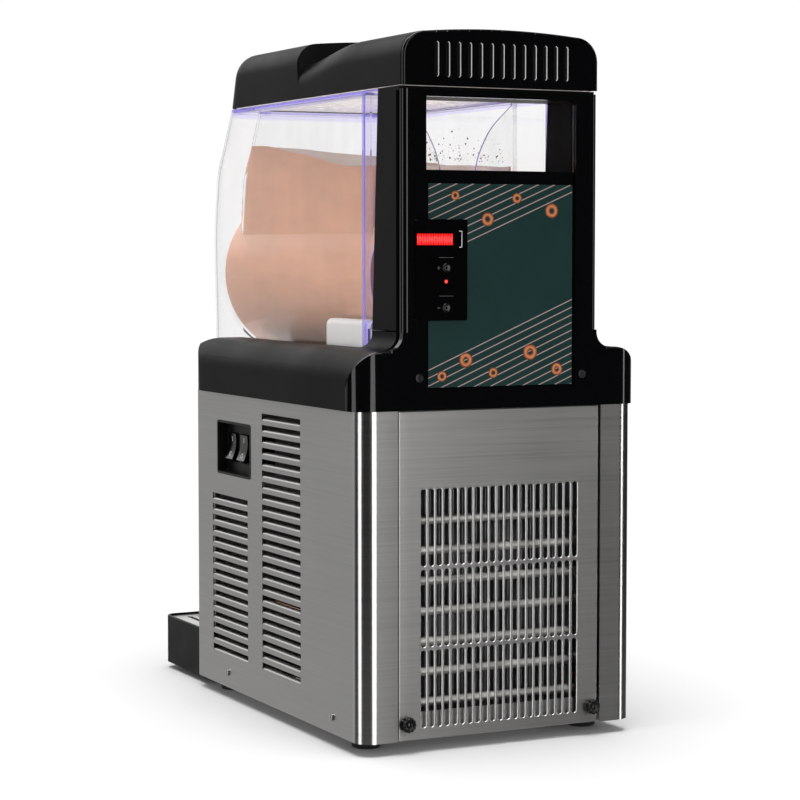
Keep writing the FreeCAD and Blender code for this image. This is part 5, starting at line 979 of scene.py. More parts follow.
@dataclass
class Cabinet:
    """Folded steel housing: louvred sides, slotted back, front, floor, deck, screws and feet."""

    half_width: float = 141.0
    depth: float = 396.0
    bottom: float = 12.0
    top: float = 308.0
    sheet: float = 1.2
    rear_corner: float = 16.0
    front_corner: float = 6.0
    strip_inner: float = 104.4
    return_inner: float = 122.0
    louvre_columns: tuple[tuple[float, int], ...] = ((-223.0, 23), (-351.0, 15))
    louvre_lowest: float = 44.2
    louvre_pitch: float = 11.0
    louvre_length: float = 92.0
    louvre_slot: float = 7.4
    louvre_rise: float = 3.6
    louvre_bend: float = 2.8
    louvre_arc: float = 2.52
    louvre_slope: float = 0.85
    louvre_end: float = 3.5
    end_lines: tuple[float, ...] = (0.0, 0.12, 0.3, 0.5, 0.7, 0.88, 1.0)
    slit: float = 0.8
    behind_slit: float = 2.0
    recess_y: Span = (-338.0, -251.0)
    recess_z: Span = (226.5, 280.5)
    recess_corner: float = 3.0
    back_half: float = 103.4
    back_face: float = -1.6
    back_z: Span = (12.4, 307.4)
    back_fold: float = 5.0
    back_margin: float = 12.0
    slot_columns: int = 21
    slot_rows: int = 3
    slot_pitch: float = 7.8
    slot_width: float = 5.2
    slot_length: float = 69.8
    slot_gap: float = 3.0
    slot_lowest: float = 22.5
    slot_rim: float = 1.4
    knob_place: Span = (95.5, 27.5)
    foot_places: tuple[Span, ...] = ((-113.0, -365.0), (-113.0, -48.0), (113.0, -365.0), (113.0, -48.0))
    foot_pad: Profile = ((0.0, 1.2), (9.0, 1.2), (10.0, 0.2), (12.0, 0.0), (12.9, 0.5), (13.3, 1.8),
                         (13.7, 8.5), (13.9, 10.6), (13.3, 11.7), (12.0, 11.9), (0.0, 11.9))

    def plan_line(self) -> tuple[Array, Array]:
        """The folded sheet's plan line.

        Returns:
            Its x and y, from the front return past both round corners to the rear strip. The
            straight part has a line at each end of a louvre and of the window.
        """
        ends = self.louvre_end * np.array(self.end_lines)
        along = chain([0.0, self.slit, self.behind_slit, self.louvre_length / 2.0],
                      self.louvre_length - ends[::-1])
        near, far, r = self.front_corner, self.rear_corner, self.recess_corner
        low, high = self.recess_y
        straight = grid_lines([-far, -self.depth + near], [low, low + r, high - r, high],
                              *(front + along for front, _ in self.louvre_columns))
        turn = quarter_turn(9)
        x = chain([self.return_inner], self.half_width - near + near * np.sin(turn[:-1]),
                  np.full(len(straight), self.half_width),
                  self.half_width - far + far * np.cos(turn[1:]), [self.strip_inner])
        y = chain([-self.depth], -self.depth + near - near * np.cos(turn[:-1]), straight,
                  -far + far * np.sin(turn[1:]), [0.0])
        return x, y

    def side_heights(self) -> Array:
        """The heights of the side's grid lines.

        Returns:
            Nine lines up each louvre, its upper edge, and the ends and corners of the window.
        """
        rows = self.louvre_lowest + self.louvre_pitch * np.arange(self.louvre_columns[0][1])
        steps = chain(np.linspace(0.0, self.louvre_arc, 7),
                      [self.louvre_rise - 0.5, self.louvre_rise, self.louvre_slot])
        low, high = self.recess_z
        r = self.recess_corner
        return grid_lines((rows[:, None] + steps).ravel(),
                          [self.bottom, self.top, low, low + r, high - r, high])

    def pressed(self, rise: Array) -> Array:
        """How deep the sheet is pressed in on a louvre.

        Args:
            rise: Heights above the louvre's lower edge.

        Returns:
            R - sqrt(R^2 - z^2) up to `louvre_arc`, and then a straight slope.
        """
        bend, end = self.louvre_bend, self.louvre_arc
        root = math.sqrt(bend ** 2 - end ** 2)
        arc = bend - np.sqrt(np.maximum(bend ** 2 - np.minimum(rise, end) ** 2, root ** 2))
        return arc + np.maximum(rise - end, 0.0) * end / root * self.louvre_slope

    def on_louvres(self, z: Array, count: int) -> tuple[Array, Array]:
        """Where heights lie in a column of louvres.

        Args:
            z: The heights.
            count: How many louvres the column has.

        Returns:
            The rise of each above the lower edge of its row, and whether the column has that row.
        """
        rise = (z - self.louvre_lowest) % self.louvre_pitch
        row = np.floor((z - self.louvre_lowest + TINY) / self.louvre_pitch)
        return np.where(rise > self.louvre_pitch - TINY, 0.0, rise), (row >= 0) & (row < count)

    def side(self, with_recess: bool) -> Surface:
        """The right side as one folded sheet with its louvres pressed in.

        Args:
            with_recess: Whether the window for the switches is cut.

        Returns:
            A grid over the folded plan line and the height z. On a louvre the sheet is drawn in
            by pressed(z) * e(u), where z starts at its lower edge and e(u) eases from 1 to 0 over
            `louvre_end` at its rear end. The rows above each upper edge are left out, which is the
            louvre's mouth, and so is a slit at its front end.
        """
        (x, y), z = self.plan_line(), self.side_heights()
        points = points_at(x[:, None], y[:, None], z)
        middle_y, middle_z = halfway(y), halfway(z)
        flat = np.abs(x - self.half_width) < TINY
        flat_cell = flat[:-1] & flat[1:]
        keep = np.ones((len(x) - 1, len(z) - 1), bool)
        for front, count in self.louvre_columns:
            along = y - front
            drawn = eased((self.louvre_length - along) / self.louvre_end)
            drawn = np.where(flat & (along > self.slit / 2.0), drawn, 0.0)
            rise, has_row = self.on_louvres(z, count)
            deep = np.where(has_row & (rise <= self.louvre_rise + TINY), self.pressed(rise), 0.0)
            points[..., 0] -= drawn[:, None] * deep
            rise, has_row = self.on_louvres(middle_z, count)
            mouth = has_row & within(rise, (self.louvre_rise, self.louvre_slot))
            slat = has_row & (rise < self.louvre_rise)
            inside = flat_cell & within(middle_y, (front, front + self.louvre_length))
            keep &= ~(inside[:, None] & mouth)
            keep &= ~((inside & (middle_y < front + self.slit))[:, None] & slat)
        # Finish numbers: 0 the plain side steel, 1 the rear round's brighter copy (painted highlight), 2 the
        # rear strip's darker copy (painted shade).
        bent = (np.minimum(y[:-1], y[1:]) > -self.rear_corner - TINY).astype(int)
        bent[-1] = 2
        corners = []
        if with_recess:
            inside = flat_cell & within(middle_y, self.recess_y)
            keep &= ~(inside[:, None] & within(middle_z, self.recess_z))
            corners = [self.recess_fan(end, level) for end in (0, 1) for level in (0, 1)]
        skin = lattice(points, keep=keep)
        skin.tags = np.broadcast_to(bent[:, None], keep.shape)[keep]
        return joined([skin] + corners).facing_from((0.0, -self.depth / 2.0, 160.0))

    def recess_fan(self, end: int, level: int) -> Surface:
        """A round inner corner of the window.

        Args:
            end: 0 for the front end, 1 for the rear end.
            level: 0 for the low edge, 1 for the high edge.

        Returns:
            A strip from the square corner, with the grid's own points, to a quarter circle whose
            angle runs in step with the way along the square corner.
        """
        y, z, r = self.recess_y[end], self.recess_z[level], self.recess_corner
        inward_y, inward_z = (1.0, -1.0)[end], (1.0, -1.0)[level]
        off_y, off_z = (self.plan_line()[1] - y) * inward_y, (self.side_heights() - z) * inward_z
        off_y = np.sort(off_y[within(off_y, (-TINY, r + TINY))])
        off_z = np.sort(off_z[within(off_z, (-TINY, r + TINY))])[::-1]
        square = chain(np.stack([0 * off_z, off_z], axis=1), np.stack([off_y, 0 * off_y], axis=1)[1:])
        share = (square[:, 0] + r - square[:, 1]) / (2.0 * r) * math.pi / 2.0
        arc = np.stack([r * (1 - np.cos(share)), r * (1 - np.sin(share))], axis=1)
        both = np.stack([square, arc])
        points = points_at(self.half_width, y + inward_y * both[..., 0], z + inward_z * both[..., 1])
        return lattice(points).facing_from((0.0, y, z))

    def slot_rings(self) -> tuple[Array, Array]:
        """One cell of the back sheet, in x and z from the middle of its lower edge.

        Returns:
            The cell's own rim and the stadium-shaped slot in it, point by point.
        """
        half, tall, radius = self.slot_pitch / 2.0, self.slot_length + self.slot_gap, self.slot_width / 2.0
        turn = quarter_turn(5)
        arc = (radius * np.sin(turn), self.slot_gap / 2.0 + radius * (1 - np.cos(turn)))
        rim = (np.array([0.0, half / 2.0, half, half, half]),
               np.array([0.0, 0.0, 0.0, self.slot_rim, self.slot_gap / 2.0 + radius]))
        rings = []
        for x, z in (rim, arc):
            right = np.stack([chain(x, x[::-1]), chain(z, tall - z[::-1])], axis=1)
            left = right[-2:0:-1] * np.array([-1.0, 1.0])
            rings.append(np.vstack([right, left]))
        return rings[0], rings[1]

    def slotted_back(self) -> Surface:
        """The back sheet with its rows of upright slots and folded edges.

        Returns:
            Cells of one pitch by one slot, each a ring of faces from its own rim to a stadium,
            set in a grid of plain cells whose lines pass through the same rim points.
        """
        half, tall = self.slot_pitch / 2.0, self.slot_length + self.slot_gap
        low = self.slot_lowest - self.slot_gap / 2.0
        middles = (np.arange(self.slot_columns) - (self.slot_columns - 1) / 2.0) * self.slot_pitch
        floors = low + np.arange(self.slot_rows) * tall
        cell = np.stack(self.slot_rings())
        cells = [lattice(points_at(cell[..., 0] + x, self.back_face, cell[..., 1] + z), wrap_cols=True)
                 for x in middles for z in floors]
        edge, top = self.slot_columns * half, low + self.slot_rows * tall
        shoulder = self.slot_gap / 2.0 + self.slot_width / 2.0
        across = np.array([-half, -half / 2.0, 0.0, half / 2.0])
        upward = np.array([0.0, self.slot_rim, shoulder, tall - shoulder, tall - self.slot_rim])
        x_lines = grid_lines((middles[:, None] + across).ravel(), [edge])
        z_lines = grid_lines((floors[:, None] + upward).ravel(), [top])
        fold = softened([(edge + self.back_margin, self.back_face), (self.back_half, self.back_face),
                         (self.back_half, self.back_face - self.back_fold)], 1.6, 3)
        x = chain(-fold[::-1, 0], x_lines, fold[:, 0])
        y = chain(fold[::-1, 1], np.full(len(x_lines), self.back_face), fold[:, 1])
        z = chain(self.back_z[:1], z_lines, self.back_z[1:])
        slotted = within(halfway(x), (-edge, edge))[:, None] & within(halfway(z), (low, top))
        plain = lattice(points_at(x[:, None], y[:, None], z), keep=~slotted)
        return plain.facing_from((0.0, -80.0, 150.0)) + joined(cells).facing_from((0.0, -80.0, 130.0))

    def knob(self, side: float) -> Surface:
        """A twelve-lobed thumb screw.

        Args:
            side: 1 for the right one, -1 for the left one.

        Returns:
            A stepped profile whose radius swells twelve times a turn, a boss and a plain shank.
        """
        centre = (side * self.knob_place[0], 0.0, self.knob_place[1])
        grip = [(0.0, -1.3), (5.6, -1.3), (6.5, -0.9), (6.88, 0.0), (6.88, 4.9), (6.6, 5.9), (6.0, 6.5),
                (5.2, 6.7), (4.4, 6.4), (3.8, 5.9), (0.0, 5.7)]
        boss = [(0.0, 5.5), (2.6, 5.5), (2.6, 6.2), (2.1, 6.5), (0.0, 6.55)]
        shank = [(0.0, -15.3), (2.0, -15.3), (2.5, -14.8), (2.5, -1.0), (0.0, -1.0)]
        return (revolved(grip, centre, 1, 72, lobes=12, lobe_depth=0.055) + revolved(boss, centre, 1, 24)
                + revolved(shank, centre, 1, 20).tagged(1))

    def feet(self) -> Surface:
        """Four feet.

        Returns:
            Under each place a pad with a rolled rim and a hollow sole, on a stud whose radius
            goes in and out for its thread.
        """
        low, turns = 11.9, np.arange(24)
        thread = np.stack([3.7 + 0.3 * (turns % 2), low + turns * 0.37], axis=1)
        stud = np.vstack([[(0.0, 11.8)], thread, [(0.0, 20.9)]])
        return joined(revolved(self.foot_pad, (x, y, 0.0)) + revolved(stud, (x, y, 0.0), count=20).tagged(1)
                      for x, y in self.foot_places)

    def build(self) -> None:
        """Make every piece of the cabinet."""
        # The rear round's and rear strip's finishes are lighter and darker copies of the side steel: painted
        # highlight and painted shade.
        steel = (STEEL_SIDE, STEEL_CORNER_PAINTED_BRIGHT, STEEL_STRIP_PAINTED_DARK)
        walls = Shaping(wall=self.sheet, soften=0.28, crease=50.0, open_skin=True)
        # The slot bevels take the second finish, a bright copy of the steel that paints highlights on the
        # edges.
        slotted = Shaping(wall=self.sheet, soften=0.5, crease=50.0, open_skin=True, edge_finish=1)
        for word, surface in (("right", self.side(True)), ("left", self.side(False).mirrored())):
            make_piece(f"louvred_side_{word}", surface,
                       Dress("side_sheet", steel, (f"side_panel_{word}",)), walls)
        make_piece("slotted_back", self.slotted_back(),
                   Dress("stainless", (STEEL_BACK, CUT_EDGE_PAINTED_HIGHLIGHT), ("rear_grille_panel",), "rear_panel"), slotted)
        for side, word in ((1.0, "right"), (-1.0, "left")):
            dress = Dress("black_plastic", (ROCKER_BLACK, SCREW), (f"thumb_knob_{word}",), f"knob_{word}")
            make_piece(f"lobed_knob_{word}", self.knob(side), dress)
        make_piece("rubber_feet", self.feet(), Dress("black_rubber", (RUBBER, ZINC), ("feet",)))
        refined("side_screw_heads", "side_screws", "screw_steel", (SCREW,), 0.35)
        refined("folded_front", "front_panel", "stainless", (STEEL_FRONT,))
        refined("folded_floor", "floor_pan", "bracket_steel", (STEEL_PAN,), 0.4)
        refined("cabinet_deck", "top_deck", "bracket_steel", (STEEL_PAN,), 0.4)


# Switches

@dataclass
class SwitchRecess:
    """Sunk black tray in the side with two bowed rockers."""

    pivot_x: float = 126.5
    pivot_z: float = 253.5
    places: Span = (-317.0, -287.0)
    width: float = 19.0
    length: float = 27.0
    tilt: float = -9.0
    hollow: float = 7.1
    horns: float = 2.5
    shoulder: float = 8.4
    cheek_draw: float = 0.075
    proud: float = 0.06
    mark_depth: float = 0.2
    bar: Span = (5.0, 10.0)
    bar_half: float = 0.5
    ring_middle: float = -7.6
    ring_radii: Span = (1.7, 2.5)

    def bow(self, z: Array) -> Array:
        """Distance from the pivot to the rocker's hollow face: hollow + horns (z / half)^2."""
        return self.hollow + self.horns * (z / (self.length / 2.0)) ** 2

    def rocker(self, y: float) -> Surface:
        """A bowed rocker with its two marks.

        Args:
            y: Middle of the rocker along Y.

        Returns:
            A section with a hollow face, carried along Y and drawn in towards both cheeks, with a
            bar and a ring laid on the face.
        """
        half, wide = self.length / 2.0, self.width / 2.0
        z = np.linspace(-half + 0.9, half - 0.9, 15)
        back = [(self.shoulder, half), (-2.0, half - 3.0), (-2.6, half - 4.0), (-2.6, -half + 4.0),
                (-2.0, -half + 3.0), (self.shoulder, -half)]
        section = np.vstack([np.stack([self.bow(z), z], axis=1), back])
        turn = quarter_turn(5)
        inset = 1.0 - np.sin(chain(turn, turn[::-1]))[:, None, None]
        across = chain(-wide + 1.0 - np.cos(turn), wide - 1.0 + np.cos(turn[::-1]))
        middle = section.mean(0)
        rings = middle + (section - middle) * (1.0 - inset * self.cheek_draw)
        points = points_at(self.pivot_x + rings[..., 0], y + across[:, None], self.pivot_z + rings[..., 1])
        body = lattice(closed_ends(points), wrap_cols=True)
        bar_y = np.array([-self.bar_half, self.bar_half])
        bar = self.laid(np.linspace(*self.bar, 8)[:, None], bar_y, y, True)
        angle = np.linspace(0.0, 2.0 * math.pi, 25)[:, None]
        radii = np.array(self.ring_radii)
        ring = self.laid(self.ring_middle + radii * np.sin(angle), radii * np.cos(angle), y, False)
        return (body + (bar + ring).tagged(1)).turned(1, self.tilt, (self.pivot_x, y, self.pivot_z))

    def laid(self, z: Array, y: Array, middle: float, ends: bool) -> Surface:
        """A printed mark that stands a little proud of the hollow face.

        Args:
            z: Rows of heights from the pivot, two to a row.
            y: Rows of places from the middle, two to a row.
            middle: Middle of the rocker along Y.
            ends: Whether the mark is a bar with ends, not a ring.

        Returns:
            A closed section over each row, `mark_depth` thick.
        """
        top = points_at(self.pivot_x + self.bow(z) + self.proud, middle + y, self.pivot_z + z)
        under = top - np.array([self.mark_depth, 0.0, 0.0])
        rings = np.stack([top[:, 0], top[:, 1], under[:, 1], under[:, 0]], axis=1)
        return lattice(closed_ends(rings) if ends else rings, wrap_cols=True)

    def build(self) -> None:
        """Make the tray, the cases and the rockers."""
        refined("switch_tray", "switch_housing", "black_plastic", (BLACK,))
        refined("switch_bodies", "switch_cases", "black_plastic", (BLACK,), 0.4)
        for y, word in zip(self.places, ("front", "rear")):
            make_piece(f"bowed_rocker_{word}", self.rocker(y),
                       Dress("black_plastic", (ROCKER_BLACK, MARK), (f"rocker_{word}",), f"switch_{word}"),
                       Shaping(crease=50.0))


# Mouldings

@dataclass
class Mouldings:
    """Collar on the cabinet, gloss rear frame with its screws, and the matt column."""

    edge: float = 0.9
    column_edge: float = 0.8

    def build(self) -> None:
        """Make the mouldings from the frame's own forms."""
        refined("collar_moulding", "collar", "charcoal_plastic", (CHARCOAL,), self.edge, 3)
        refined("gloss_frame", "rear_frame", "gloss_black", (GLOSS,), self.edge, 3)
        refined("column_sides", "column_shell", "charcoal_plastic", (CHARCOAL,), self.column_edge, 3)
        refined("frame_screw_heads", "frame_screws", "screw_steel", (DARK_SCREW,), 0.3)


# Controls

@dataclass
class Controls:
    """Picture film, control plate, bar display with its lamp, keys, marks and board."""

    plate_face: float = 1.6
    bar_x: Span = (49.95, 86.25)
    bar_z: Span = (454.75, 465.05)
    bar_rim: float = 0.4
    bar_back: float = -8.3
    ribs: int = 15
    rib_face: Span = (0.75, 0.35)
    rib_power: float = 0.6
    key_x: float = 57.2
    key_heights: Span = (434.5, 399.0)
    key_radius: float = 4.2
    lamp_z: float = 422.5
    pale_lines: tuple[tuple[Span, Span], ...] = (
        ((41.3, 42.0), (452.6, 467.6)), ((41.3, 44.2), (466.9, 467.6)), ((41.3, 44.2), (452.6, 453.3)))
    grey_lines: tuple[tuple[Span, Span], ...] = (
        ((50.2, 64.2), (443.6, 444.0)), ((50.2, 64.2), (409.4, 409.8)), ((63.2, 66.2), (434.2, 434.9)),
        ((63.2, 66.2), (398.7, 399.4)), ((64.35, 65.05), (433.0, 436.1)))

    def bar(self) -> Surface:
        """The ribbed lens.

        Returns:
            A closed section carried along x. Its face stands at a + b |sin(pi n u)|^p, with n ribs
            along u, and its rims and back are straight.
        """
        u = np.linspace(0.0, 1.0, self.ribs * 8 + 1)[:, None]
        low, high = self.bar_z
        valley, crest = self.rib_face
        face = valley + crest * np.abs(np.sin(math.pi * self.ribs * u)) ** self.rib_power
        z = np.array([low, low + self.bar_rim, high - self.bar_rim, high])
        rise = np.array([0.0, 1.0, 1.0, 0.0])
        front = points_at(self.bar_x[0] + u * (self.bar_x[1] - self.bar_x[0]),
                          self.bar_rim + (face - self.bar_rim) * rise, z)
        back = front[:, ::-1].copy()
        back[..., 1] = self.bar_back
        return lattice(closed_ends(np.concatenate([front, back], axis=1)), wrap_cols=True)

    def lamp(self) -> Surface:
        """A small domed lamp."""
        return revolved([(0.0, -8.4), (1.6, -8.4), (1.6, 1.2), (1.3, 1.75), (0.7, 2.0), (0.0, 2.05)],
                        (self.key_x, 0.0, self.lamp_z), 1, 24)

    def key(self, z: float) -> Surface:
        """A round key.

        Args:
            z: Height of its middle.

        Returns:
            A cap with a dished top and a soft rim, turned about Y, and a pale ring printed on it.
        """
        r, centre = self.key_radius, (self.key_x, 0.0, z)
        cap = [(0.0, -4.6), (r + 1.4, -4.6), (r + 1.4, -3.6), (r, -3.6), (r, 2.0), (r - 0.25, 2.5),
               (r - 0.7, 2.7), (r - 1.3, 2.6), (r - 2.2, 2.35), (0.0, 2.2)]
        mark = [(1.5, 2.0), (1.5, 2.38), (2.0, 2.42), (2.0, 2.0), (1.5, 2.0)]
        return revolved(cap, centre, 1, 36) + revolved(mark, centre, 1, 28).tagged(1)

    def marks(self) -> Surface:
        """Thin printed lines.

        Returns:
            Thin blocks half sunk in the plate, pale beside the bar and grey at the keys.
        """
        y = (self.plate_face - 0.05, self.plate_face + 0.05)
        return joined(soft_block(x, y, z, 0.1, 0.02, 1).tagged(tag)
                      for tag, lines in enumerate((self.pale_lines, self.grey_lines)) for x, z in lines)

    def build(self) -> None:
        """Make the control area."""
        refined("picture_panel", "graphic_panel", "picture_film", (FILM,), 0.2)
        refined("control_plate", "control_bezel", "gloss_black", (GLOSS_PANEL,), 0.45, 3)
        make_piece("bar_lens", self.bar() + self.lamp().tagged(1),
                   Dress("red_lens", (RED_BAR, RED_LAMP), ("display_bar",)), Shaping(crease=60.0))
        for z, body, node in zip(self.key_heights, ("key_up", "key_low"), ("key_upper", "key_lower")):
            dress = Dress("key_plastic", (ROCKER_BLACK, GREY_MARK), (node,), body)
            make_piece(f"round_{node}", self.key(z), dress)
        make_piece("plate_marks", self.marks(), Dress("key_plastic", (MARK, GREY_MARK)))
        refined("control_circuit", "control_board", "board", (BOARD,), 0.2)


# Lid

@dataclass
class Lid:
    """Lift-off lid with a hand groove, its slotted gloss end, diffuser and light strips."""

    half: float = 100.0
    bottom: float = 596.1
    front: float = -415.0
    rear: float = -4.0
    lean: float = 20.0
    front_top: float = 650.0
    rear_top: float = 643.5
    crown: float = 3.6
    shoulder: float = 22.0
    front_round: float = 25.0
    nose_drop: float = 0.55
    grip_front: float = -228.0
    grip_rear: float = -119.0
    grip_floor: float = 635.5
    grip_step: float = 3.0
    step_lines: tuple[float, ...] = (-2.4, -1.5, -1.0, -0.5, 0.0, 0.5, 1.0, 1.5, 2.4)
    rise_gap: float = 6.0
    rise_power: float = 0.85
    wall: float = 3.0
    slots_within: float = 75.0

    def height(self, y: Array) -> Array:
        """Height of the side edges of the top along the lid.

        Args:
            y: Places along the lid.

        Returns:
            front_top ahead of the groove, a steep drop over `grip_step` to the groove's floor,
            then a long easing rise to rear_top.
        """
        behind = y - self.grip_front
        drop = eased((behind + self.grip_step / 2.0) / self.grip_step)
        span = self.grip_rear - self.grip_front - self.rise_gap
        rise = eased((behind - self.rise_gap) / span) ** self.rise_power
        floor = self.grip_floor - self.crown
        raised = (self.rear_top - floor) * rise * (behind > 0.0)
        return self.front_top + (floor - self.front_top) * drop + raised

    def stations(self) -> tuple[Array, Array]:
        """Where the lid's sections stand.

        Returns:
            The distance of each behind the front, closest at the front's round and at the
            groove's step, and how far each is drawn in.
        """
        r, turn = self.front_round, quarter_turn(9)
        grip, grip_end = self.grip_front - self.front, self.grip_rear - self.front
        straight = chain(np.linspace(r + 8.0, grip - 4.0, 14), grip + np.array(self.step_lines),
                         np.linspace(grip + 5.0, grip_end + 6.0, 26),
                         np.linspace(grip_end + 16.0, self.rear - self.front, 8))
        away = chain(r * (1 - np.cos(turn)), straight)
        return away, chain(r * (1 - np.sin(turn)), np.zeros(len(straight)))

    def shell(self) -> Surface:
        """The lid's outer skin.

        Returns:
            Arch-shaped sections carried from the front to the rear. A section at distance d from
            the front is drawn in by R (1 - sqrt(1 - (1 - d/R)^2)) while d is under R, which
            rounds the front, and leans so that its foot is ahead of its top.
        """
        away, inset = (values[:, None] for values in self.stations())
        edge = self.height(self.front + away) - inset * self.nose_drop
        half, s, low = self.half - inset, self.shoulder, self.bottom
        arc = quarter_turn(9)
        across = np.linspace(1.0, -1.0, 25)[1:-1]
        upright = np.linspace(0.0, 1.0, 5)[:-1]
        right_x = np.concatenate([half * np.ones(len(upright)), half - s + s * np.cos(arc)], axis=1)
        right_z = np.concatenate([low + (edge - s - low) * upright, edge - s + s * np.sin(arc)], axis=1)
        dome_z = edge + self.crown * (1 - inset / self.front_round / 2.0) * (1 - across ** 2)
        x = np.concatenate([right_x, (half - s) * across, -right_x[:, ::-1]], axis=1)
        z = np.concatenate([right_z, dome_z, right_z[:, ::-1]], axis=1)
        share = (z - low) / (self.front_top + self.crown - low)
        fade = np.clip(1.0 - away / (self.grip_front - self.front - 20.0), 0.0, 1.0)
        rings = points_at(x, self.front + away + self.lean * share * fade, z)
        nose, tail = rings[:1] * np.array([0.0, 1.0, 1.0]), rings[-1:].copy()
        tail[..., 2] = low
        skin = lattice(chain(nose, rings))
        end = lattice(chain(rings[-1:], tail))
        return (skin + end).facing_from((0.0, -200.0, 600.0))

    def painted_glow_slot_walls(self, centre: Array, normal: Array) -> Array:
        """Which faces of the end panel are the right walls of its slots, which get a painted glow."""
        return (normal[:, 0] > 0.6) & (np.abs(centre[:, 0]) < self.slots_within)

    def build(self) -> None:
        """Make the lid's pieces."""
        make_piece("lid_skin", self.shell(),
                   Dress("charcoal_plastic", (LID_CHARCOAL,), ("lid_shell",), "lid"),
                   Shaping(wall=self.wall, soften=0.7, crease=50.0, open_skin=True))
        # The right walls of the end panel's slots glow: painted light, not a lamp.
        refined("lid_end", "lid_rear_panel", "gloss_black", (GLOSS, SLOT_WALL_PAINTED_GLOW), 0.5, 3, "lid",
                self.painted_glow_slot_walls)
        refined("light_diffuser", "lid_diffuser", "cream_diffuser", (DIFFUSER,), 0.4, body="lid")
        refined("light_strips", "led_strip", "led", (LIGHT_STRIP,), 0.3, body="lid")


# Bowl

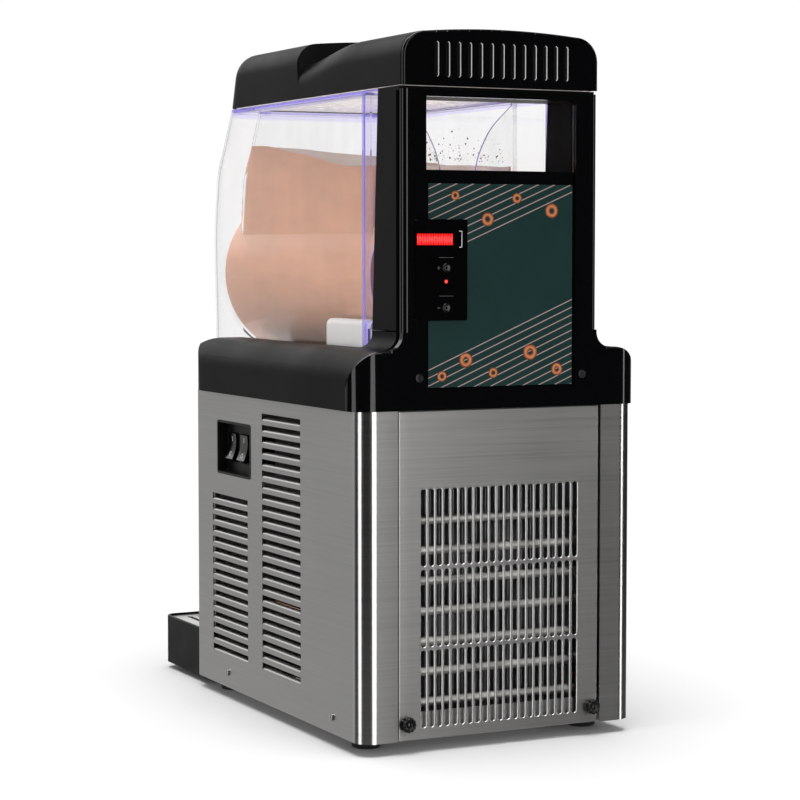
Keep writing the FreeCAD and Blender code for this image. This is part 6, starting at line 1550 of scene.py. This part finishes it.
@dataclass
class Bowl:
    """Clear double-walled bowl with its drink, seal and splashes."""

    half: float = 97.6
    wall: float = 3.0
    bottom: float = 338.0
    rim: float = 595.2
    corner: float = 30.0
    back: float = -85.0
    tinted_rim: float = 4.0
    profile_y: tuple[float, ...] = (-468.5, -471.5, -474.5, -475.5, -471.0, -465.0, -450.0, -427.0, -420.0)
    profile_z: tuple[float, ...] = (322.0, 350.0, 409.0, 477.0, 509.0, 533.0, 556.0, 594.5, 606.0)
    rear_y: tuple[float, ...] = (-76.0, -76.0, -64.0, -52.0)
    rear_z: tuple[float, ...] = (338.0, 378.5, 380.5, 600.0)
    axis_z: float = 427.0
    barrel: float = 87.0
    tank_half: float = 77.0
    tank_inset: float = 31.0
    tank_back: float = -112.0
    trumpet_x: tuple[float, ...] = (18.5, 21.5, 27.0, 36.0, 57.0)
    trumpet_z: tuple[float, ...] = (525.0, 537.0, 550.0, 565.0, 586.0)
    film: float = 0.35
    drink_front: float = 559.0
    drink_rear: float = 530.0
    drink_depth: float = 325.0
    drink_corner: float = 22.0
    drink_end: float = 4.0
    drink_floor: float = 80.4
    nose_lift: float = 11.5
    fall_to: float = 0.95
    fall_power: float = 1.15
    drops: int = 260
    sleeve: Profile = ((0.0, -443.4), (79.4, -443.4), (80.3, -442.4), (80.3, -92.6), (83.5, -92.6),
                       (83.5, -449.0), (82.6, -452.6), (80.0, -454.8), (76.0, -455.5), (0.0, -455.5))
    seal: Profile = ((80.6, -91.8), (86.6, -91.8), (87.0, -91.4), (87.0, -89.6), (85.4, -89.3),
                     (85.4, -87.4), (87.0, -87.1), (87.0, -85.0), (86.6, -84.6), (80.6, -84.6))

    def front_at(self, z: Array) -> Array:
        """The bulging front's place at a height, on a smooth curve."""
        return flowing(z, self.profile_z, self.profile_y)

    def shell(self) -> Surface:
        """The outer wall, open behind.

        Returns:
            A U-shaped plan line drawn at every height: straight sides that end at the column's
            leaning face, two round corners, and the front at the bulging curve. The cells behind
            the back wall and along the rim have the violet tint with a faint painted glow, those
            beside it the violet edge's finish with a stronger painted glow.
        """
        z = chain(np.linspace(self.bottom, 376.0, 8), [378.4, 380.6],
                  np.linspace(386.0, self.rim - 6.5, 38), [self.rim - 2.0, self.rim])
        front, turn, start = self.front_at(z), quarter_turn(10), self.back - 11.0
        along = np.linspace(0.0, 1.0, 11)[:-1, None]
        side_y = np.vstack([np.interp(z, self.rear_z, self.rear_y), np.full(len(z), self.back + 1.0),
                            np.full(len(z), self.back - 3.5), start + (front + self.corner - start) * along])
        arc_y = front + self.corner - self.corner * np.sin(turn)[:, None]
        side_x = np.full(len(side_y), self.half)
        arc_x = self.half - self.corner + self.corner * np.cos(turn)
        level = np.linspace(1.0, -1.0, 12)[1:-1] * (self.half - self.corner)
        x = chain(side_x, arc_x, level, -arc_x[::-1], -side_x)
        y = np.vstack([side_y, arc_y, np.tile(front, (len(level), 1)), arc_y[::-1], side_y[::-1]])
        skin = lattice(points_at(x[:, None], y, z))
        middle, upper = (y[:-1, :-1] + y[1:, 1:]) / 2.0, z[1:]
        # tinted: the plastic's violet tint with a faint painted glow; lit: the violet edge finish, whose
        # glow is painted light.
        tinted = (middle > self.back) | (upper > self.rim - self.tinted_rim)
        lit = within(middle, (self.back - 3.0, self.back)) | (upper > self.rim - 1.0)
        skin.tags = np.where(lit, 1, np.where(tinted, 2, 0)).ravel()
        return skin.facing_from((0.0, -260.0, 470.0))

    def back_wall(self) -> Surface:
        """Right half of the shell's back wall.

        Returns:
            A sheet between the side and an inner edge that follows the barrel's circle
            sqrt(R^2 - (z - axis)^2) below and flares as a trumpet above.
        """
        z = chain(np.linspace(387.5, 514.0, 30), np.linspace(515.0, 524.0, 6),
                  np.linspace(526.0, 586.0, 30), [590.0, self.rim])
        circle = np.sqrt(np.maximum((self.barrel + 2.2) ** 2 - (z - self.axis_z) ** 2, 0.0))
        trumpet = flowing(np.minimum(z, self.trumpet_z[-1]), self.trumpet_z, self.trumpet_x)
        inner = np.maximum(circle, np.where(z < self.trumpet_z[0], self.trumpet_x[0], trumpet))
        share = np.linspace(0.0, 1.0, 8)[:, None]
        x = inner + (self.half - self.wall - 0.05 - inner) * share
        return lattice(points_at(x, self.back, z)).facing_from((40.0, -200.0, 480.0))

    def drink_top(self, share: Array, x_unit: Array, wide: Array) -> Array:
        """Height of the drink's open surface.

        Args:
            share: 0 at the front of the hopper, 1 at its rear.
            x_unit: -1 at the left wall, 1 at the right.
            wide: Whether the section is more than a closing line.

        Returns:
            An easing fall from `drink_front` to `drink_rear`, with two small waves, a broad dip
            at the front left, a slight dome and a lift where the drink wets the walls.
        """
        fall = eased(share / self.fall_to) ** self.fall_power
        waves = 0.8 * np.sin(9.0 * share + 2.4 * x_unit) + 0.5 * np.sin(17.0 * share - 3.1 * x_unit + 1.0)
        dip = 7.0 * (1.0 - x_unit) * (1.0 - share)
        wet = 1.8 * np.abs(x_unit) ** 14 * wide
        dome = 2.2 * np.abs(x_unit) ** 2
        return self.drink_front + (self.drink_rear - self.drink_front) * fall + (waves - dip) + wet - dome

    def hopper_drink(self) -> Surface:
        """The drink in the hopper.

        Returns:
            Closed sections from front to rear. Each runs along the barrel's circle below, up the
            side, over the top and down again. Both ends close without crossing the barrel: ahead
            on an upright line that starts higher, and behind on the line halfway between top and
            bottom.
        """
        inset = self.wall + self.film
        half, r, depth = self.tank_half - inset, self.drink_corner, self.drink_depth
        turn, long_run, flat_count = quarter_turn(9), 44, 29
        end = self.drink_end * (1 - np.cos(turn[::2]))
        away = chain([0.0], r * (1 - np.cos(turn)), np.linspace(r + 6.0, depth - 8.0, long_run),
                     depth - end[::-1])
        narrow = chain([half], r * (1 - np.sin(turn)), np.zeros(long_run),
                       self.drink_end * (1 - np.sin(turn[::2]))[::-1])
        width, share = (half - narrow)[:, None], (away / depth)[:, None]
        flat, lift = np.linspace(-1.0, 1.0, flat_count), np.linspace(0.0, 1.0, 12)[1:-1]
        x_unit = chain(flat, np.ones(len(lift)), flat[::-1], -np.ones(len(lift)))
        level = chain(np.zeros(flat_count), lift, np.ones(flat_count), lift[::-1])
        x, wide = width * x_unit, width > 1.0
        low = self.axis_z + np.sqrt(self.drink_floor ** 2 - x ** 2) + self.nose_lift * (width < 1.0)
        high = self.drink_top(share, x_unit, wide)
        z = low + (high - low) * level
        front = self.front_at(z) + self.tank_inset + inset
        y = front + share * (self.tank_back - inset - front)
        pinched = np.stack([x[-1], y[-1], (low + high)[-1] / 2.0], axis=-1)
        rings = chain(closed_ends(points_at(x, y, z))[:-1], pinched[None])
        skin = lattice(rings, wrap_cols=True)
        column = np.arange(len(skin.faces)) % x.shape[1]
        first_top = flat_count + len(lift)
        # The open top's cells take the second finish, which is painted paler: painted light on the drink's
        # top.
        skin.tags = ((column >= first_top) & (column < first_top + flat_count - 1)).astype(int)
        return skin

    def splashes(self) -> Surface:
        """Small dried drops on the tank's rear wall, above the drink.

        Returns:
            Low domes: a ring of eight points at radius r and a raised middle, scattered by a
            seeded generator, thicker near the drink.
        """
        chance = np.random.default_rng(7)
        lowest, highest = 534.0, 584.0
        x = chance.uniform(-62.0, 62.0, self.drops)
        z = lowest + chance.exponential(9.0, self.drops)
        z = np.where(z > highest, lowest + (z - highest) % 30.0, z)
        r = (0.22 + 0.75 * chance.random(self.drops) ** 4)[:, None, None]
        angle, taller = full_turn(8), 1.25
        scale = np.array([1.0, 1.0, 0.6])[:, None]
        proud = np.array([0.0, 0.06, 0.22])[:, None]
        points = points_at(x[:, None, None] + r * scale * np.cos(angle), self.tank_back + 0.01 + r * proud,
                           z[:, None, None] + taller * r * scale * np.sin(angle))
        return joined(lattice(closed_ends(drop), wrap_cols=True) for drop in points)

    def painted_glow_walls_at_rim(self, centre: Array, normal: Array) -> Array:
        """Which faces of the tank are upright and just under its rim; they get the violet edge with its
        painted glow.
        """
        return (centre[:, 2] > self.rim - self.tinted_rim) & (np.abs(normal[:, 2]) < 0.5)

    def build(self) -> None:
        """Make the bowl's pieces."""
        # The rims and the cells by the back wall and the rim take the violet copies, whose emission is
        # painted glow.
        clear = (CLEAR, CLEAR_EDGE_PAINTED_GLOW, CLEAR_TINT_PAINTED_GLOW, CLEAR_EDGE_PAINTED_GLOW)
        walls = Shaping(wall=self.wall, soften=0.35, crease=50.0, rim_step=1, open_skin=True)
        smooth, middle = Shaping(crease=60.0), (0.0, 0.0, self.axis_z)
        half_back = self.back_wall()
        make_piece("bowl_shell", self.shell() + half_back + half_back.mirrored(),
                   Dress("clear_bowl", clear, ("bowl_outer",), "bowl"), walls)
        refined("tank", "bowl_inner", "clear_tank", (CLEAR_TANK, CLEAR_EDGE_PAINTED_GLOW), 0.3, body="bowl",
                edge_rule=self.painted_glow_walls_at_rim)
        # The drink's open top is painted paler: painted light.
        make_piece("drink_in_hopper", self.hopper_drink(),
                   Dress("drink", (DRINK, DRINK_TOP_PAINTED_PALE), ("frappe_fill",), "bowl"), smooth)
        make_piece("drink_round_auger", revolved(self.sleeve, middle, 1, 96),
                   Dress("drink", (DRINK,), body="bowl"), smooth)
        make_piece("barrel_seal", revolved(self.seal, middle, 1, 96, loop=True),
                   Dress("red_seal", (RED_SEAL,), ("bowl_gasket",), "bowl"), smooth)
        make_piece("dried_drops", self.splashes(), Dress("drink", (DRIED,), body="bowl"),
                   Shaping(crease=80.0))


# Chiller and drive

@dataclass
class Drive:
    """Insulating saddle, chiller, auger on its shaft, gearbox and motor."""

    axis_z: float = 427.0
    inner: float = 61.5
    outer: float = 79.0
    pitch: float = 62.0
    front: float = -440.0
    rear: float = -104.0
    blade: float = 6.0
    blade_corner: float = 1.4
    spider: float = 3.1
    spokes: int = 3
    hub: float = 15.0
    bore: float = 6.1
    hub_rear: float = -428.5
    drum: Profile = (
        (6.2, -422.0), (40.0, -422.0), (45.0, -421.5), (50.0, -419.6), (55.0, -416.5), (57.4, -413.5),
        (58.0, -410.0), (58.0, -86.0), (59.0, -84.4), (84.8, -84.4), (86.0, -83.4), (86.0, -65.0),
        (85.0, -64.2), (67.0, -64.2), (66.4, -59.4), (65.8, -59.0), (12.0, -59.0), (12.0, -66.0),
        (6.2, -66.0), (6.2, -422.0))

    @property
    def start(self) -> float:
        """Where the middle of the blade begins."""
        return self.front + self.spider + self.blade / 2.0 + 1.0

    @property
    def middle(self) -> float:
        """The blade's middle radius."""
        return (self.inner + self.outer) / 2.0

    def spiral(self) -> Surface:
        """The open spiral.

        Returns:
            A rounded rectangle of (radius, along) offsets carried by the angle a: the point is
            (r cos a, start + pitch a / 2 pi + along, axis - r sin a).
        """
        turns = (self.rear - self.start) / self.pitch
        angle = np.linspace(0.0, 2.0 * math.pi * turns, int(turns * 56))[:, None]
        section = rounded_ring((self.outer - self.inner) / 2.0, self.blade / 2.0, self.blade_corner)
        radius = self.middle + section[None, :, 0]
        along = self.start + self.pitch * angle / (2.0 * math.pi) + section[None, :, 1]
        points = points_at(radius * np.cos(angle), along, self.axis_z - radius * np.sin(angle))
        return lattice(closed_ends(points), wrap_cols=True)

    def spider_form(self) -> Surface:
        """Nose hub, spokes with their posts, and the rim that carries the spiral.

        Returns:
            The hub and the rim turned about the axis, and a flat spoke and a post of growing
            length at each third of the turn, so that the post meets the spiral there.
        """
        z, front, back, middle = self.axis_z, self.front, self.front + self.spider, self.middle
        centre, rear = (0.0, 0.0, z), self.hub_rear
        hub = revolved([(self.bore, front + 1.0), (8.0, front), (13.5, front), (self.hub, front + 1.5),
                        (self.hub, rear - 1.0), (13.5, rear), (self.bore, rear)], centre, 1, 48)
        bore = revolved([(self.bore, rear), (self.bore, front + 1.0)], centre, 1, 48)
        low, high, chamfer = self.inner + 1.0, self.outer - 1.0, 0.4
        rim = [(low, front + chamfer), (low + chamfer, front), (high - chamfer, front),
               (high, front + chamfer), (high, back - chamfer), (high - chamfer, back),
               (low + chamfer, back), (low, back - chamfer)]
        arms = []
        for i in range(self.spokes):
            end = self.start + self.pitch * i / self.spokes
            spoke = soft_block((self.hub - 1.0, middle), (front, back), (z - 5.0, z + 5.0), 0.8, 0.4, 0)
            post = soft_block((middle - 4.0, middle + 4.0), (front + 0.5, end), (z - 4.0, z + 4.0),
                              1.5, 0.5, 1)
            arms.append((spoke + post).turned(1, i * 360.0 / self.spokes, centre))
        return joined([hub, bore, revolved(rim, centre, 1, 96, loop=True)] + arms)

    def build(self) -> None:
        """Make the chiller, the auger and the drive."""
        refined("white_saddle", "chiller_block", "insulation", (FOAM,), 1.0, 3)
        make_piece("chiller_drum", revolved(self.drum, (0.0, 0.0, self.axis_z), 1, 96),
                   Dress("polished_steel", (STEEL_SHAFT,), ("chiller",)))
        refined("bearing_sleeves", "shaft_bushes", "bush_plastic", (BUSH,), 0.3)
        refined("lip_seal", "shaft_seal", "red_seal", (RED_SEAL,), 0.3)
        refined("steel_shaft", "drive_shaft", "polished_steel", (STEEL_SHAFT,), 0.3, body="auger")
        make_piece("spiral_auger", self.spiral() + self.spider_form(),
                   Dress("auger_plastic", (WHITE_PLASTIC,), ("auger",), "auger"))
        refined("gear_case", "gearbox", "cast_gearbox", (CAST_METAL,), 0.8)
        refined("motor_can", "gear_motor", "motor_can", (DARK_ENAMEL,), 0.6)
        refined("drive_bracket", "motor_bracket", "bracket_steel", (ZINC,), 0.4)


# Tap and drip tray

@dataclass
class TapAndTray:
    """Tap with its piston and lever, and the drip tray with its grid."""

    tap_y: float = -493.0
    bore: float = 12.5
    cord: float = 1.05
    cord_inset: float = 1.2
    seal_heights: Span = (361.0, 388.0)

    def rings(self) -> Surface:
        """Two O-rings: a circle turned about the tap's axis at each height."""
        circle = round_section(self.cord, 14) + np.array([self.bore - self.cord_inset, 0.0])
        return joined(revolved(circle + np.array([0.0, z]), (0.0, self.tap_y, 0.0), loop=True)
                      for z in self.seal_heights)

    def build(self) -> None:
        """Make the tap and the tray."""
        refined("tap_cylinder", "tap_body", "black_plastic", (BLACK,), 0.6, body="bowl")
        refined("piston", "tap_piston", "auger_plastic", (WHITE_PLASTIC,), body="piston")
        make_piece("piston_o_rings", self.rings(),
                   Dress("red_seal", (RED_SEAL,), ("piston_seals",), "piston"))
        refined("pivot_pin", "lever_pin", "screw_steel", (SCREW,), 0.3, body="bowl")
        refined("lever", "dispense_lever", "black_plastic", (BLACK,), 1.0, 3, "lever")
        refined("drip_basin", "drip_tray", "charcoal_plastic", (TRAY_BLACK,), 0.6, 3, "tray")
        refined("cup_grid", "drip_grid", "stainless", (STEEL_GRID,), body="grid")


# Cooling unit

@dataclass
class CoolingUnit:
    """Coil with fins and frame, fan in its shroud, compressor, dryer and copper lines."""

    tube: float = 4.2
    rows: int = 7
    pitch: float = 27.5
    lowest: float = 43.0
    coil_y: float = -17.0
    half: float = 85.0
    bend: float = 11.0
    fan_z: float = 126.0
    fan_radius: float = 68.0
    fan_middle: float = -41.0
    fan_hub: float = 14.0
    chords: Span = (18.0, 12.5)
    leans: Span = (19.0, 9.0)
    blades: int = 5
    pot_y: float = -228.0
    pot_radius: float = 62.0
    pot_low: float = 21.5
    dryer_x: float = 112.0
    dryer_y: float = -96.0
    dryer: Profile = ((0.0, 66.0), (3.2, 66.0), (3.6, 70.0), (9.0, 80.0), (9.0, 160.0), (3.6, 170.0),
                      (3.2, 174.0), (0.0, 174.0))

    def coil(self) -> Surface:
        """The serpentine tube.

        Returns:
            Level runs joined by oval return bends at alternate ends, with a round section.
        """
        turn = np.linspace(-math.pi / 2.0, math.pi / 2.0, 13)
        path = []
        for row in range(self.rows):
            side, z = (-1.0) ** row, self.lowest + row * self.pitch
            run = np.linspace(-side * self.half, side * self.half, 9)
            path.append(points_at(run, self.coil_y, z)[min(row, 1):])
            if row < self.rows - 1:
                path.append(points_at(side * (self.half + self.bend * np.cos(turn)), self.coil_y,
                                      z + self.pitch / 2.0 * (1 + np.sin(turn)))[1:])
        return carried(round_section(self.tube), np.vstack(path), (0.0, 1.0, 0.0))

    def fan(self) -> Surface:
        """Hub and twisted blades.

        Returns:
            Each blade is an oval section whose chord grows from 18 to 30.5 mm and whose lean
            falls from 19 to 10 degrees with the radius, swept back and drawn together at the tip.
        """
        y, centre = self.fan_middle, (0.0, 0.0, self.fan_z)
        hub = revolved([(0.0, y + 4.5), (11.0, y + 4.5), (14.5, y + 3.9), (16.0, y + 2.4), (16.0, y - 4.5),
                        (3.2, y - 4.5), (3.2, y + 3.6), (0.0, y + 3.6)], centre, 1, 48)
        share = np.linspace(0.0, 1.0, 22)[:, None]
        radius = self.fan_hub + (self.fan_radius - self.fan_hub) * share
        tip = np.sqrt(np.maximum(1.0 - (np.maximum(share - 0.8, 0.0) / 0.2) ** 2, 0.02))
        chord = (self.chords[0] + self.chords[1] * share) / 2.0 * tip
        lean = np.radians(self.leans[0] - self.leans[1] * share)
        angle = full_turn(20)
        along, thick, sweep = chord * np.cos(angle), 0.8 * np.sin(angle), 6.0 * share ** 2
        depth = np.clip(along * np.sin(lean) + thick, -4.4, 4.4)
        rings = points_at(radius, y + depth, self.fan_z + (along * np.cos(lean) + sweep))
        blade = lattice(closed_ends(rings), wrap_cols=True)
        return joined([hub] + [blade.turned(1, i * 360.0 / self.blades, centre) for i in range(self.blades)])

    def pot(self) -> Surface:
        """The compressor.

        Returns:
            A drawn pot with a welded seam, turned about Z, on a base plate, with three stub pipes
            at its right and a terminal cover at its left.
        """
        r, y, low, seam = self.pot_radius, self.pot_y, self.pot_low, self.pot_low + 64.0
        lower = softened([(0.0, low + 3.0), (r - 8.0, low + 3.0), (r, low + 30.0), (r, seam - 3.0)], 10.0, 6)
        lip = [(r + 2.6, seam - 2.6), (r + 3.0, seam - 1.8), (r + 3.0, seam + 1.8), (r + 2.6, seam + 2.6)]
        upper = softened([(r, seam + 3.0), (r, low + 110.0), (r - 26.0, low + 133.0), (0.0, low + 134.0)],
                         16.0, 8)
        body = revolved(np.vstack([lower, lip, upper]), (0.0, y, 0.0), 2, 72)
        plate = soft_block((-r - 14.0, r + 14.0), (y - r + 10.0, y + r - 10.0), (low, low + 3.0), 10.0, 0.8)
        cover = soft_block((-r - 12.0, -r + 8.0), (y - 22.0, y + 22.0), (low + 45.0, low + 95.0), 4.0, 2.0)
        stub = [(0.0, r - 6.0), (4.0, r - 6.0), (4.0, r + 15.6), (3.4, r + 16.0), (0.0, r + 16.0)]
        stubs = [revolved(stub, (0.0, y + s * 14.0, low + 70.0 + s * 20.0), 0, 20).tagged(1)
                 for s in (-1, 0, 1)]
        return joined([body, plate, cover] + stubs)

    def lines(self) -> Surface:
        """Three copper lines with swept bends.

        Returns:
            Round sections carried along the hot line from the compressor to the coil's top, the
            liquid line from the coil's foot to the dryer, and the thin line on to the chiller.
        """
        r, pot, coil, low, half = self.pot_radius, self.pot_y, self.coil_y, self.lowest, self.half + 0.2
        x, y, top = self.dryer_x, self.dryer_y, self.lowest + (self.rows - 1) * self.pitch
        hot = [(r + 16.2, pot + 14, 111.5), (131, pot + 14, 111.5), (131, -60, 111.5), (131, -60, top),
               (131, coil, top), (half, coil, top)]
        liquid = [(-half, coil, low), (-118, coil, low), (-118, -118, low), (x, -118, low - 1),
                  (x, y, low - 1), (x, y, 65.8)]
        thin = [(x, y, 174.2), (x, y, 250), (-60, y, 250), (-60, -52, 250), (-60, -52, 372), (-60, -40, 384),
                (-50, -40, 402), (-50, -58.8, 402)]
        skew = (0.31, 0.47, 0.83)
        return joined(carried(round_section(radius, 14), softened(route, reach, 5), skew)
                      for route, radius, reach in ((hot, 3.2, 9.0), (liquid, 3.0, 9.0), (thin, 2.4, 7.0)))

    def build(self) -> None:
        """Make the cooling unit."""
        pod = revolved(softened(self.dryer, 4.0, 5), (self.dryer_x, self.dryer_y, 0.0), 2, 36)
        make_piece("serpentine_coil", self.coil(), Dress("fin_alloy", (COIL_METAL,), ("condenser_coil",)))
        refined("coil_fins", "condenser_fins", "fin_alloy", (FIN_METAL,), 0.1)
        refined("coil_frame", "condenser_frame", "fin_alloy", (ZINC,), 0.3)
        refined("shroud", "fan_shroud", "fan_plastic", (FAN_BLACK,))
        refined("fan_motor_can", "fan_motor", "motor_can", (DARK_ENAMEL,))
        make_piece("twisted_fan", self.fan(), Dress("fan_plastic", (FAN_BLACK,), ("fan_blades",), "fan"))
        make_piece("compressor_pot", self.pot(),
                   Dress("compressor_paint", (DARK_ENAMEL, COPPER), ("compressor",)))
        refined("compressor_grommets", "compressor_mounts", "black_rubber", (RUBBER,), 0.4)
        make_piece("dryer_pod", pod, Dress("copper", (COPPER,), ("filter_dryer",)))
        refined("dryer_band", "dryer_clip", "bracket_steel", (ZINC,), 0.3)
        make_piece("copper_lines", self.lines(), Dress("copper", (COPPER,), ("refrigerant_pipes",)))
        refined("gland", "cord_gland", "black_plastic", (BLACK,))


# Studio

@dataclass(frozen=True)
class Glow:
    """A brighter part of the surround, size s((d . axis - low) / (high - low)) in a direction d.

    The easing s is held between 0 and 1.
    """

    axis: Triple
    low: float
    high: float
    size: float


@dataclass(frozen=True)
class Softbox:
    """An area light that looks at the machine, in metres, degrees and watts."""

    name: str
    bearing: float
    height: float
    size: Span
    power: float
    away: float = 2.6
    aim: Triple = (0.0, 0.0, 0.35)


@dataclass
class Studio:
    """Pale floor, soft lights and the camera, in metres and degrees."""

    camera_at: Triple = (1.00942, 2.09446, 0.44882)
    yaw: float = 26.262
    pitch: float = 3.648
    lens: float = 104.55
    base: float = 0.02
    glows: tuple[Glow, ...] = (
        Glow((-0.44, -0.898, 0.0), 0.80, 0.95, 1.0), Glow((0.44, -0.898, 0.0), 0.86, 0.985, 0.5),
        Glow((0.17, -0.89, 0.42), 0.93, 0.99, 1.6), Glow((0.0, 0.0, 1.0), 0.5, 0.95, 0.5),
        Glow((0.0, 0.0, -1.0), 0.10, 0.35, 0.2))
    floor_reach: float = 1.1
    floor_grey: float = 0.82
    sun_power: float = 2.7
    sun_spread: float = 50.0
    sun_aim: Triple = (-0.08, -0.06, -1.0)
    boxes: tuple[Softbox, ...] = (
        Softbox("left of the camera", 94.0, 0.55, (1.05, 2.4), 26.0),
        Softbox("right side", 6.0, 0.55, (0.9, 2.4), 17.0, 2.5),
        Softbox("behind the left side", 140.0, 0.55, (0.35, 2.4), 11.0))

    def hung(self, name: str, data: bpy.types.ID, at: Sequence[float], ahead: Vector) -> bpy.types.Object:
        """Put a camera or a lamp in the scene.

        Args:
            name: Its name.
            data: The camera's or the lamp's settings.
            at: Where it stands.
            ahead: The direction it looks in.

        Returns:
            The object.
        """
        item = bpy.data.objects.new(name, data)
        item.location = at
        item.rotation_mode = "QUATERNION"
        item.rotation_quaternion = ahead.to_track_quat("-Z", "Y")
        bpy.context.scene.collection.objects.link(item)
        return item

    def camera(self) -> None:
        """Set the camera at the photograph's viewing angle."""
        yaw, pitch = math.radians(self.yaw), math.radians(self.pitch)
        level = math.cos(pitch)
        ahead = Vector((-math.sin(yaw) * level, -math.cos(yaw) * level, -math.sin(pitch)))
        data = bpy.data.cameras.new("view")
        data.lens, data.sensor_width = self.lens, 36.0
        data.clip_start, data.clip_end = 0.05, 200.0
        bpy.context.scene.camera = self.hung("view", data, self.camera_at, ahead)

    def lamps(self) -> None:
        """Hang the soft boxes, which no camera sees, and a broad sun overhead."""
        for box in self.boxes:
            data = bpy.data.lights.new(box.name, "AREA")
            data.shape, data.size, data.size_y = "RECTANGLE", box.size[0], box.size[1]
            data.energy = box.power
            bearing = math.radians(box.bearing)
            at = (box.away * math.cos(bearing), box.away * math.sin(bearing), box.height)
            self.hung(box.name, data, at, Vector(box.aim) - Vector(at)).visible_camera = False
        sun = bpy.data.lights.new("ceiling glow", "SUN")
        sun.energy, sun.angle = self.sun_power, math.radians(self.sun_spread)
        self.hung("ceiling glow", sun, (0.0, 0.0, 0.0), Vector(self.sun_aim))

    def surround(self) -> None:
        """A white backdrop, dark towards the camera's side and grey towards the other sides.

        The strength of a direction is base + the sum of the glows, and for the camera at least 1.
        """
        world = bpy.data.worlds.new("surround")
        world.use_nodes = True
        nodes = Nodes(world.node_tree)
        where = nodes.add("ShaderNodeTexCoord").outputs["Generated"]
        total: object = self.base
        for glow in self.glows:
            dot = nodes.add("ShaderNodeVectorMath", {0: where, 1: glow.axis}, operation="DOT_PRODUCT")
            inputs = {0: dot.outputs["Value"], 1: glow.low, 2: glow.high, 3: 0.0, 4: glow.size}
            ramp = nodes.add("ShaderNodeMapRange", inputs, interpolation_type="SMOOTHSTEP")
            total = nodes.maths("ADD", ramp.outputs[0], total)
        seen = nodes.add("ShaderNodeLightPath").outputs["Is Camera Ray"]
        back = nodes.tree.nodes["Background"].inputs
        nodes.feed(back["Strength"], nodes.maths("MAXIMUM", total, seen))
        back["Color"].default_value = (1.0, 1.0, 1.0, 1.0)
        bpy.context.scene.world = world

    def floor(self) -> None:
        """A wide round pale floor."""
        mesh = bpy.data.meshes.new("floor")
        rim = self.floor_reach * round_section(1.0, 64)
        mesh.from_pydata([(x, y, 0.0) for x, y in rim.tolist()], [], [tuple(range(len(rim)))])
        recipe = Recipe("pale floor")
        recipe.shade(Base_Color=recipe.tint(recipe.noise(2.0, 2.0), shades((self.floor_grey,) * 3, 0.01)),
                     Roughness=0.9, Specular_IOR_Level=0.1)
        mesh.materials.append(recipe.material)
        floor = bpy.data.objects.new("floor", mesh)
        floor.visible_glossy = False
        bpy.context.scene.collection.objects.link(floor)

    def build(self) -> None:
        """Set the stage."""
        self.camera()
        self.surround()
        self.floor()
        self.lamps()
        bpy.context.scene.view_settings.view_transform = "Standard"


def main() -> None:
    """Build the sub-assemblies in order, then the stage."""
    logging.basicConfig(level=logging.INFO, format="%(message)s")
    for kind in (Cabinet, SwitchRecess, Mouldings, Controls, Lid, Bowl, Drive, TapAndTray, CoolingUnit):
        LOG.info("-- %s", kind.__name__)
        kind().build()
    Studio().build()


if __name__ == "__main__":
    main()
